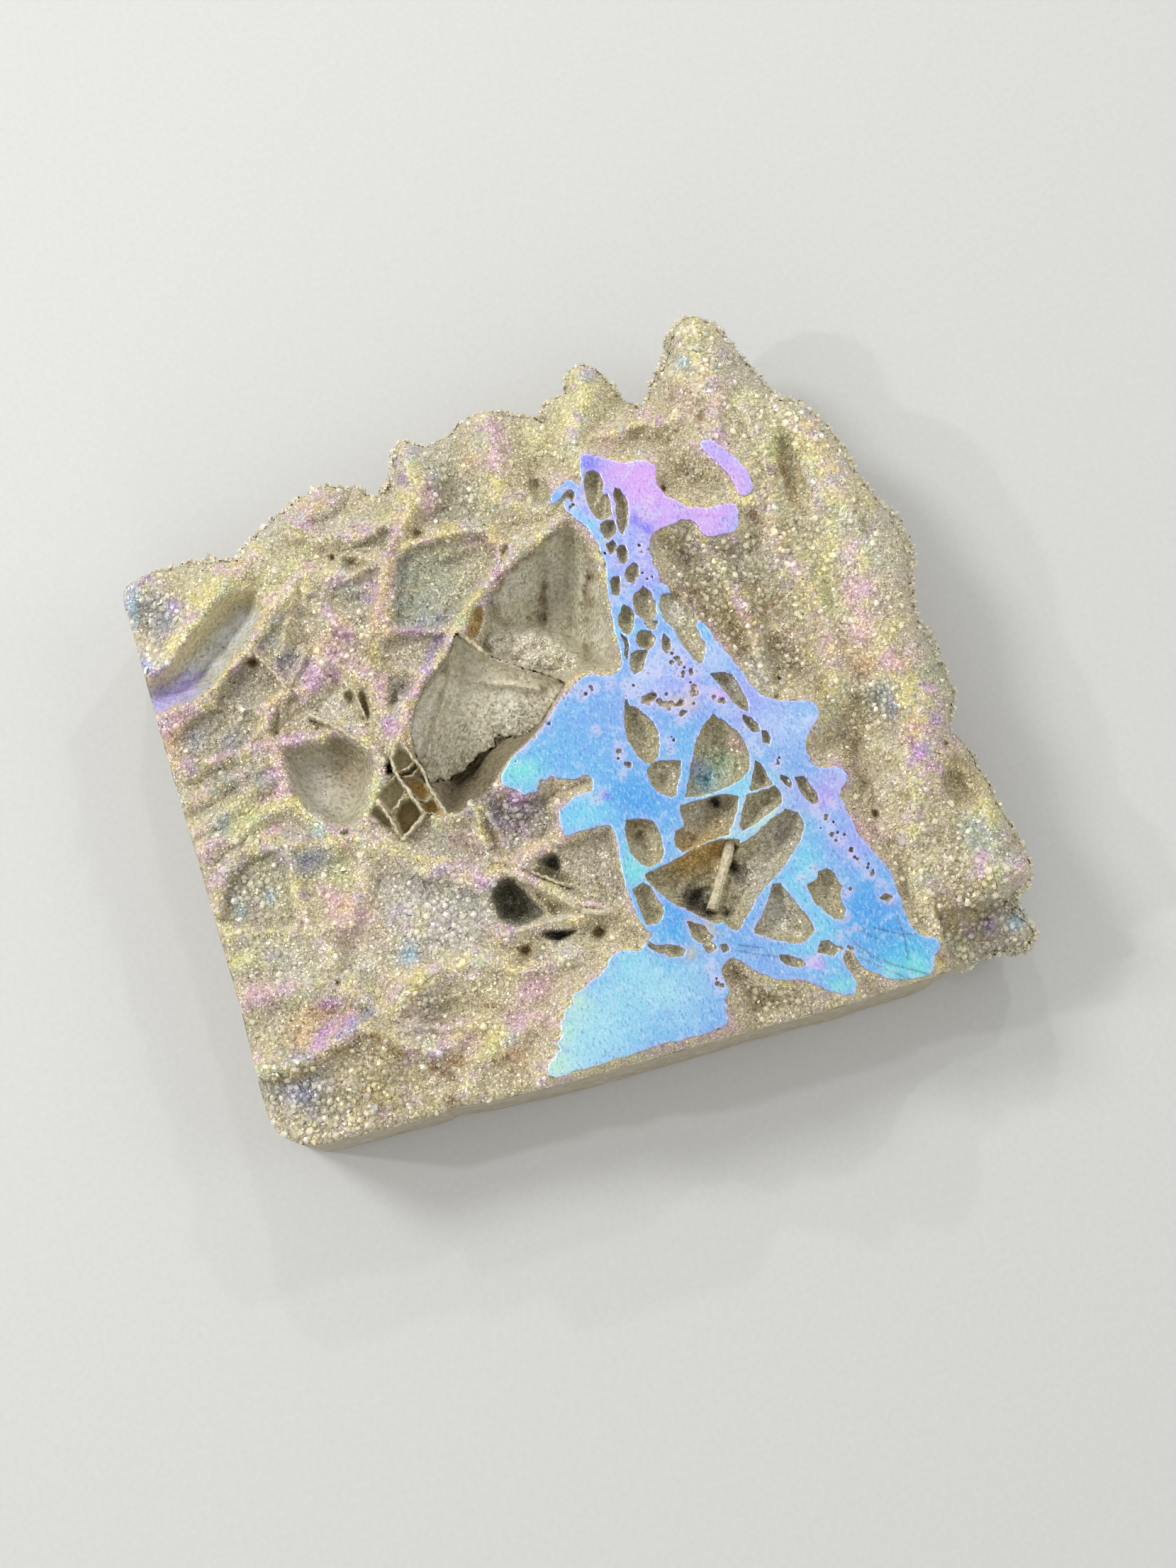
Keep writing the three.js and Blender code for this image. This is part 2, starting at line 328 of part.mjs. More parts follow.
// Solids.
function solidFrom(geometry) {
  geometry.deleteAttribute("normal");
  geometry.deleteAttribute("uv");
  const merged = mergeVertices(geometry, 1e-4);
  return new wasm.Manifold(
    new wasm.Mesh({
      numProp: 3,
      vertProperties: merged.attributes.position.array,
      triVerts: new Uint32Array(merged.index.array),
    }),
  );
}

// A solid over an outline, in levels: place(x, y, level) says where each of its points goes on each level.
function tower(outline, levels, place) {
  const shape = new THREE.Shape(outline.map(([x, y]) => new THREE.Vector2(x, y)));
  const geometry = new THREE.ExtrudeGeometry(shape, { depth: levels, steps: levels, bevelEnabled: false });
  const position = geometry.attributes.position;
  for (let i = 0; i < position.count; i += 1) {
    position.setXYZ(i, ...place(position.getX(i), position.getY(i), Math.round(position.getZ(i))));
  }
  return solidFrom(geometry);
}

function middleOf(outline) {
  const sum = outline.reduce(([sx, sy], [x, y]) => [sx + x, sy + y]);
  return sum.map((total) => total / outline.length);
}

// A pocket to cut away, from its mouth above the face down to a floor of the given share of the mouth's size.
function pocket(mouth, floor, share) {
  const [cx, cy] = middleOf(mouth);
  const atFloor = (x, y) => [cx + (x - cx) * share, cy + (y - cy) * share, floor];
  return tower(mouth, 1, (x, y, level) => (level ? [x, y, THICKNESS + 1] : atFloor(x, y)));
}

// The rough block: a grid raised to the druse height over a flat back, larger than the slab all round.
function roughBlock() {
  const [left, right, near, far] = [-6, 108, -4, 101];
  const across = Math.round((right - left) / GRID_STEP);
  const along = Math.round((far - near) / GRID_STEP);
  const geometry = new THREE.BoxGeometry(right - left, far - near, 2, across, along, 1);
  geometry.translate((left + right) / 2, (near + far) / 2, 0);
  const place = geometry.attributes.position;
  for (let i = 0; i < place.count; i += 1) {
    const x = place.getX(i);
    const y = place.getY(i);
    place.setZ(i, place.getZ(i) > 0 ? druseHeight(x, y) : -2);
  }
  return solidFrom(geometry);
}

// The slab's sides: sawn ones upright with a ground edge, natural ones drawn in below their widest line.
function sides() {
  const [cx, cy] = [50, 46];
  const levels = [
    { z: 0, undercut: 1, bevel: 0.4 },
    { z: 0.5, undercut: 0.85, bevel: 0 },
    { z: 5.5, undercut: 0.4, bevel: 0 },
    { z: 11, undercut: 0, bevel: 0 },
    { z: 18.5, undercut: 0.05, bevel: 0 },
    { z: THICKNESS - SAW_BEVEL, undercut: 0.1, bevel: 0 },
    { z: THICKNESS, undercut: 0.12, bevel: SAW_BEVEL },
  ];
  return tower([...NATURAL_SIDE, ...SAWN_SIDE], levels.length - 1, (x, y, level) => {
    const { z, undercut, bevel } = levels[level];
    const sawn = distanceToLine(x, y, SAWN_SIDE) < 0.01;
    const inwards = sawn ? bevel : undercut * UNDERCUT * (1 + 0.6 * lumps(x, y + z));
    const reach = Math.hypot(x - cx, y - cy);
    return [x + ((cx - x) * inwards) / reach, y + ((cy - y) * inwards) / reach, z];
  });
}

// The vug, as the solids to cut away: the upper chamber, the space over the plate and the dark gap below it.
function vug() {
  const onEdge = (x, y) => distanceToLine(x, y, PLATE_EDGE) < 0.01;
  const plateHeight = (x, y) => (onEdge(x, y) ? PLATE_LOW : PLATE_HIGH);
  const overPlate = tower([...PLATE_RIM, ...PLATE_EDGE], 1, (x, y, level) => {
    return [x, y, level ? THICKNESS + 1 : plateHeight(x, y)];
  });
  const gap = pocket([...PLATE_EDGE, ...GAP_RIM], CHAMBER_FLOOR, 1);
  const underPlate = tower([...PLATE_EDGE, ...GAP_RIM], 1, (x, y, level) => {
    const inwards = onEdge(x, y) ? PLATE_OVERHANG : 0;
    return [x, y + inwards, level ? PLATE_LOW - PLATE_THICKNESS : CHAMBER_FLOOR];
  });
  return [pocket(UPPER_CHAMBER, CHAMBER_FLOOR, 0.72), overPlate, gap, underPlate];
}

// Thin standing walls, narrower at the crest: the two ends, half thickness, foot height and crest height.
const BLADES = [
  [[24.3, 44.2], [26.3, 36.4], 0.35, 4, 19], [[26.2, 47.6], [31.2, 37.6], 0.4, 4, 20.5],
  [[27.6, 48.8], [25.2, 44.6], 0.35, 4, 19],
  [[29.2, 46.4], [24.8, 42.2], 0.3, 4, 18], [[28.6, 39.2], [25.8, 36.4], 0.4, 4, 19.5],
  [[38.8, 61.4], [41.8, 58.6], 0.5, 9, 20.5],
  [[43.4, 65.6], [41.2, 60.4], 0.4, 8, 20.5], [[51.6, 70], [51, 60.6], 0.5, 5, 13],
  [[56.6, 72.4], [55.8, 60.2], 0.6, 5, 16],
  [[57.4, 60.8], [56.2, 53], 0.6, 5, 17], [[67.6, 25], [62.8, 15.8], 0.5, 8, 22.6],
].map(([start, end, ...sizes]) => [...[start, end].map(sunk(MOUTH_DEPTH)), ...sizes]);

function blade([[ax, ay], [bx, by], half, low, high]) {
  const length = Math.hypot(bx - ax, by - ay);
  const geometry = new THREE.BoxGeometry(length, 2 * half, high - low, 3, 1, 1);
  const place = geometry.attributes.position;
  for (let i = 0; i < place.count; i += 1) {
    if (place.getZ(i) > 0) place.setY(i, place.getY(i) * BLADE_CREST);
  }
  geometry.rotateZ(Math.atan2(by - ay, bx - ax));
  geometry.translate((ax + bx) / 2, (ay + by) / 2, (low + high) / 2);
  return solidFrom(geometry);
}

// Quartz points, six-sided, seated on the druse and leaning with it. The same scatter each time.
function quartzPoints() {
  const points = [];
  let seed = 7;
  const random = () => {
    seed = (seed * 16807) % 2147483647;
    return seed / 2147483647;
  };
  while (points.length < CRYSTAL_COUNT) {
    const x = 108 * random() - 2;
    const y = 98 * random();
    const radius = CRYSTAL_RADIUS * (1 + random());
    const turn = random() * Math.PI;
    const outside = depthInside(x, y, [...NATURAL_SIDE, ...SAWN_SIDE]) < 1.6;
    const onWeb = depthInside(x, y, WEB) > -1.2 || depthInside(x, y, TOUCHED_CREST) > -1.2;
    const lowerChamber = [...PLATE_RIM, ...[...GAP_RIM].reverse()];
    const inVug = depthInside(x, y, UPPER_CHAMBER) > -1.5 || depthInside(x, y, lowerChamber) > -1.5;
    const inCell = SIDE_CELLS.some(([, ...mouth]) => depthInside(x, y, mouth) > -1.2);
    if (outside || onWeb || inVug || inCell) continue;
    const z = druseHeight(x, y);
    const fallX = druseHeight(x - 1, y) - druseHeight(x + 1, y);
    const fallY = druseHeight(x, y - 1) - druseHeight(x, y + 1);
    const outwards = new THREE.Vector3(fallX, fallY, 2).normalize();
    const point = new THREE.ConeGeometry(radius, CRYSTAL_HEIGHT * radius, 6, 1);
    point.rotateY(turn);
    point.translate(0, CRYSTAL_RISE * radius, 0);
    point.applyQuaternion(new THREE.Quaternion().setFromUnitVectors(THREE.Object3D.DEFAULT_UP, outwards));
    point.translate(x, y, z);
    points.push(solidFrom(point));
  }
  return points;
}

function slab() {
  let body = roughBlock();
  for (const point of quartzPoints()) body = body.add(point);
  body = body.intersect(sides());
  for (const flat of [WEB, TOUCHED_CREST]) {
    body = body.add(tower(flat, 1, (x, y, level) => [x, y, level ? THICKNESS : WEB_ROOT]));
  }
  for (const space of vug()) body = body.subtract(space);
  for (const [depth, ...mouth] of WEB_CELLS) {
    body = body.subtract(pocket(mouth, THICKNESS - depth, CELL_TAPER));
  }
  for (const [floor, ...mouth] of SIDE_CELLS) body = body.subtract(pocket(mouth, floor, CELL_TAPER));
  for (const wall of BLADES) body = body.add(blade(wall));
  for (const [depth, ...mouth] of BACK_CELLS) {
    const [cx, cy] = middleOf(mouth);
    const narrower = (x, y) => [cx + (x - cx) * CELL_TAPER, cy + (y - cy) * CELL_TAPER, depth];
    body = body.subtract(tower(mouth, 1, (x, y, level) => (level ? narrower(x, y) : [x, y, -1])));
  }
  // Any chip that the cuts leave loose falls away.
  return body.decompose().reduce((largest, chip) => (chip.volume() > largest.volume() ? chip : largest));
}

function meshOf(solid, name, material) {
  const { vertProperties, triVerts, numProp, numVert } = solid.getMesh();
  const positions = new Float32Array(numVert * 3);
  for (let i = 0; i < numVert; i += 1) {
    positions.set(vertProperties.subarray(i * numProp, i * numProp + 3), i * 3);
  }
  const geometry = new THREE.BufferGeometry();
  geometry.setAttribute("position", new THREE.BufferAttribute(positions, 3));
  geometry.setIndex(new THREE.BufferAttribute(triVerts, 1));
  geometry.computeVertexNormals();
  const mesh = new THREE.Mesh(geometry, material);
  mesh.name = name;
  return mesh;
}

const coatedQuartz = new THREE.MeshStandardMaterial({ color: 0xb9ad92, roughness: 0.35, metalness: 0.15 });
const group = new THREE.Group();
const stone = meshOf(slab(), "slab", coatedQuartz);
const box = new THREE.Box3().setFromObject(stone);
stone.position.set(-(box.min.x + box.max.x) / 2, -(box.min.y + box.max.y) / 2, -box.min.z);
group.add(stone);

export default group;
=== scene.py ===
"""A sawn slab of druzy quartz boxwork with an aura coat, dressed for rendering.

The slab is a heightfield drawn on its sawn face, with quartz points, thin walls, sides and a sawn back.
"""
from functools import lru_cache, partial
from math import cos, pi, radians, sin

import bpy
import numpy as np
from mathutils import Matrix, Vector


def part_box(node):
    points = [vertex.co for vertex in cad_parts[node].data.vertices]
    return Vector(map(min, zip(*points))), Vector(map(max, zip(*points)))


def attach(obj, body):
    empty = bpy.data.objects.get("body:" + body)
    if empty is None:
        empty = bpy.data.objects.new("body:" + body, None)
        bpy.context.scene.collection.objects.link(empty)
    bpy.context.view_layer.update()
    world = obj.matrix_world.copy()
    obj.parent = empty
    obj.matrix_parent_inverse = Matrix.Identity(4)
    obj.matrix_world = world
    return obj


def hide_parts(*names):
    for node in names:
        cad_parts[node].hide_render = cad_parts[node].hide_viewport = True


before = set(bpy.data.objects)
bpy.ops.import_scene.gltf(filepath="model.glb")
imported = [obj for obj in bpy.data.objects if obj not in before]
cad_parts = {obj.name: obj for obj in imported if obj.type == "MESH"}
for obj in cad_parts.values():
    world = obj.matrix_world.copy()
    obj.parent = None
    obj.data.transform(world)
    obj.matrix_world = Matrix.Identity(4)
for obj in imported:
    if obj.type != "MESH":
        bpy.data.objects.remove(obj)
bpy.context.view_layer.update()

bl_info = {
    "name": "Druzy boxwork slab",
    "version": (1, 0, 0),
    "blender": (4, 5, 0),
    "location": "View3D > Sidebar > Boxwork",
    "description": "Builds a sawn slab of quartz boxwork with an aura coat",
    "category": "Add Mesh",
}

MM = 0.001
NODE = "slab"

# Outlines are in millimetres from the slab's sawn corner, u along the bottom side and v up the left side, as
# they look on the sawn face to an eye at EYE. What lies deeper is set back along the sight line from there,
# so it stays where the eye sees it.
FACE = 24.0  # height of the sawn face above the back
EYE = (35.86, -21.73, 310.2)  # from the sawn corner, and its height above the back
CORNER_INSET = (4.4, 0.5)  # the sawn corner from the low corner of the slab's box
LOW_CORNER = np.array(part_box(NODE)[0][:2]) / MM
CORNER = LOW_CORNER + CORNER_INSET
GRID_LOW, GRID_HIGH = (-5, -1.5), (106.5, 99.5)  # what the grid over the face spans
DRUSE_HIGH = (106.4, 99.4)  # where the druse ends, just inside the grid
EDGE_STEP = 0.4  # spacing of the points along the slab's edge
SIDE_ROWS = 33  # rows of points down the sides
SIDE_REACH = 20  # height that the points on the natural sides cover
TURN_SPAN = 7  # steps of the edge over which the natural sides take their direction
BACK_STEP = 0.6  # spacing of the points on the sawn back
PLATE_STEP = 0.25  # spacing of the points on the vug's plate
BLADE_STEP = 0.35  # spacing of the points along a thin wall

# What goes for a whole group of forms, against how they are drawn below. Heights are above the back.
LIP = 0.1  # how far the sawn web overhangs its cells
WEB_LIP = 0.9  # depth of the web's own edge
UNDER_WEB = 0.35  # how far the crust lies under the web
CELL_DEPTH = 0.5  # depth of the web's cells against the drawn depth
CELL_GROWTH = 0.1  # how much wider their mouths are
BUBBLE_REACH = 2  # how far from its middle a bubble is worked out
CREST_LIFT = 0.7  # how much higher the crests stand
CREST_FALL = 1.0  # how much more steeply they fall
HOLLOW_RIM = 22.4  # height of the hollows' sides at their drawn outline
FACET_LIFT = 2.2  # how much higher the facets lie
BLADE_LIFT = 0.4  # how much higher the thin walls stand
CHANNEL_FLOOR, BOWL_FLOOR, CHAMBER_FLOOR, GAP_FLOOR, LEDGE_HEIGHT = 17.8, 15.5, 13, 9, 17
BOWL_DEEPEST = (20.4, 49)
LOWER_STEP_HEIGHT = 16.0
PLATE_PALE = 0.6  # how far the plate is toward the palest quartz
COARSE_SIZE = 2.1  # width of the coarse points against the common ones
COARSE_COUNT, COMMON_COUNT = 10500, 31000  # the most points that one piece holds
# These hues serve stains, and also the painted shade lines along the chamber's rim, in its slots and under the
# lower-left step.
STAIN_AND_SHADE_HUES = ("rust", "umber", "bark")  # hues laid on more strongly than the coat's own

# The slab's edge: natural sides from the bottom right round to the top left, then the sawn sides.
NATURAL_SIDE = [
    (94, 1.4), (98, 1.9), (102.4, 1.8), (103.2, 2.8), (102.6, 4.6), (101.2, 5.8), (100.3, 7.6), (102.6, 8.8),
    (104.6, 9.8), (105.5, 10.8), (105.3, 13), (104.5, 16.5), (104, 19), (103.2, 22), (102.8, 25),
    (102, 28.5), (101, 31), (100.3, 32.2), (101.1, 34.6), (102.2, 36.6), (101.8, 39), (101.3, 43.5),
    (100.5, 46.5), (100.4, 50), (100.8, 54), (101.6, 57.2), (101.5, 60.5), (101.1, 63), (100.2, 65.2),
    (98.9, 68.2), (97.7, 70.8), (97.2, 73.4), (96.4, 77.8), (94.6, 80.6), (92, 83.3), (89.8, 85), (89, 87.2),
    (87.3, 90.6), (86, 94), (84.9, 96), (83.3, 98.2), (82, 98.6), (80.4, 98.2), (79.3, 97.4), (78.4, 95.8),
    (77.6, 93.9), (76.4, 92), (75, 90), (72.6, 87.8), (71.2, 87.3), (70.2, 88.4), (69, 89.2), (68.2, 92.2),
    (66.6, 94.8), (65.2, 95.5), (63.4, 94.9), (62.8, 93.2), (62.2, 92), (60.8, 91.6), (59.2, 90.2),
    (58.6, 88.4), (57.6, 88.9), (55.6, 90), (53.8, 90.5), (52.6, 91.4), (51, 92.5), (48, 91.8), (46.4, 91.2),
    (45.3, 90.1), (43.6, 89.6), (41.3, 89), (39.3, 90.4), (37.8, 90.6), (37.2, 90), (36.9, 88.1), (36, 86),
    (34.8, 84.2), (33.3, 83.7), (31.5, 84.4), (31.1, 85.5), (29.4, 85.9), (28, 86.4), (27.1, 87), (24, 86.6),
    (22.4, 86.1), (21, 85.4), (20, 84.6), (18, 83.9), (16, 82.5), (14, 81), (12.2, 79.3), (9.6, 80.2),
    (5, 80.4), (0.4, 81),
]
SAWN_SIDE = [
    (-2, 80.3), (-3.4, 79.5), (-4, 78), (-3.6, 73), (-3.3, 65), (-2.5, 50), (-1.8, 40), (-1.3, 30),
    (-0.6, 20), (-0.5, 10), (-0.3, 5), (0, 3.5), (0.7, 2.2), (2, 0.9), (3.5, 0), (5, -0.5), (13, -0.6),
    (22.2, -0.6), (22.7, 0), (24.5, -0.2), (29, -0.7), (40, -0.8), (50, -0.6), (62, -0.3), (75, -0.3),
    (85, 0.3), (90, 0.6),
]

# The sawn web, polished by the saw and brightly coated.
WEB = [
    (40.1, 41.2), (41.2, 42.5), (42.6, 43.7), (44.6, 44.7), (46.4, 45.7), (48.3, 47.3), (49.4, 48.5),
    (50.6, 49.7), (52.3, 50.6), (53.8, 51.6), (55.4, 51.8), (56.8, 51.2), (58.4, 50.9), (59.5, 51.6),
    (60.1, 52.4), (60, 55), (60.1, 58), (60.5, 61.4), (60.8, 64.5), (61.3, 66.6), (61.1, 68.3), (60.9, 69.8),
    (60.4, 71.2), (59.7, 72.6), (58.9, 73.8), (57.9, 75.1), (57.6, 76.4), (58.8, 77), (59.6, 76.5),
    (59.4, 77.8), (58.5, 78.8), (59.1, 79.7), (60.1, 79), (60.7, 78), (61.1, 79.6), (61.6, 81.4), (62, 82.9),
    (63.2, 82.2), (64.5, 81.6), (65.6, 81), (66.9, 80.1), (68.6, 79.9), (70.4, 79.6), (71.4, 78.9),
    (71.4, 77.6), (71, 76), (71.6, 74.2), (72.8, 72.9), (74, 71.8), (75.6, 71.1), (77, 70.7), (79.2, 70.7),
    (80.7, 70.4), (80.9, 68.8), (80.3, 67.2), (79.6, 66.4), (78, 66.6), (76.2, 66.7), (75.2, 67.3), (75, 69),
    (74, 69.9), (72.6, 70), (71, 69.5), (69.2, 69.5), (68, 68.4), (67.5, 66.6), (67.6, 64.4), (68, 63),
    (67.6, 62.2), (68.9, 61.1), (68.9, 60.2), (70, 58.9), (70.5, 57.4), (71.2, 56.2), (72.4, 54.2),
    (73.2, 52), (74, 50.2), (75, 47.9), (75.7, 45.8), (76.6, 43.7), (78, 42.3), (80.2, 41.5), (82, 41),
    (83.6, 40.7), (84, 39.5), (83.4, 38), (82.3, 37), (81.2, 36), (80.8, 34.4), (80.8, 33), (81.5, 31.8),
    (83, 31.1), (84.8, 30.6), (85.3, 29.4), (84.4, 28.6), (83.6, 27.6), (83.5, 25.6), (84.3, 23.4),
    (84.3, 21.4), (85.3, 19.4), (86.4, 17.4), (87.3, 15), (87.4, 12.4), (87.3, 10), (87.9, 7.4), (88.6, 6.3),
    (90.6, 5.3), (91, 4.3), (89.7, 3.4), (89.2, 1.6), (88.2, 0.8), (85.6, 1), (83.4, 1.6), (81.4, 2.8),
    (79.9, 4.2), (79.4, 6.4), (78.2, 6.9), (77.7, 5.4), (78.6, 2.8), (78.5, 1.1), (77.2, 0.9), (75.4, 1.9),
    (73.6, 3.3), (71.6, 4.7), (69.6, 5.1), (68, 5.8), (66.4, 7.2), (65, 8.6), (63.6, 9.8), (62.6, 9.4),
    (61.7, 8), (62, 6), (61.7, 4.6), (60.6, 3.4), (61, 1.8), (59.6, 1), (56, 0.8), (52, 1), (46, 0.6),
    (40, 0.3), (36.2, 0.4), (36.4, 1.6), (37.4, 3), (38.6, 4.4), (39.6, 6.4), (41, 8.6), (42.3, 10.3),
    (44.6, 11.3), (46.6, 12.1), (48, 13.5), (49.2, 14.3), (50.6, 14), (52.4, 13.6), (53.6, 14.8),
    (54.6, 15.3), (53.4, 16.4), (52.9, 19), (52.5, 22), (52.6, 26), (53, 29), (52.9, 30.9), (51.5, 31.2),
    (49.5, 31.3), (47.6, 31.1), (46.3, 31), (46.1, 33), (46.4, 34.8), (48.2, 35.4), (50, 36.4), (51.6, 36),
    (52, 37.6), (51.4, 38.6), (49.6, 38.2), (48, 38.7), (46.4, 39.4), (45, 39.1), (44, 38.1), (42.6, 37.8),
    (41.6, 38.8), (40.3, 39.5), (39.9, 40.3),
]
SIDE_STRAND = [  # a strand of the web beside the vug
    (56, 76.6), (57, 76.8), (57.8, 77.6), (59, 78.3), (60.2, 77.2), (60.6, 77.9), (59.6, 79), (58.8, 79.5),
    (58, 78.9), (57.2, 78.6), (56.4, 77.8),
]
TOUCHED_CREST = [  # a crest of the druse that the saw touched
    (78.3, 80.4), (79.4, 80.5), (80.8, 79.4), (82.2, 77.6), (83.3, 75.6), (83.9, 73.6), (83.6, 71.8),
    (82.6, 70.9), (81.7, 71.3), (81.4, 73.2), (80.7, 75.4), (79.5, 77.5), (78.5, 79),
]
RAGGED = [  # radius, then where the web's edge is ragged
    (4, 38, 4), (3, 43, 9), (2.4, 45, 37), (2, 62.6, 4), (2, 84, 32),
]
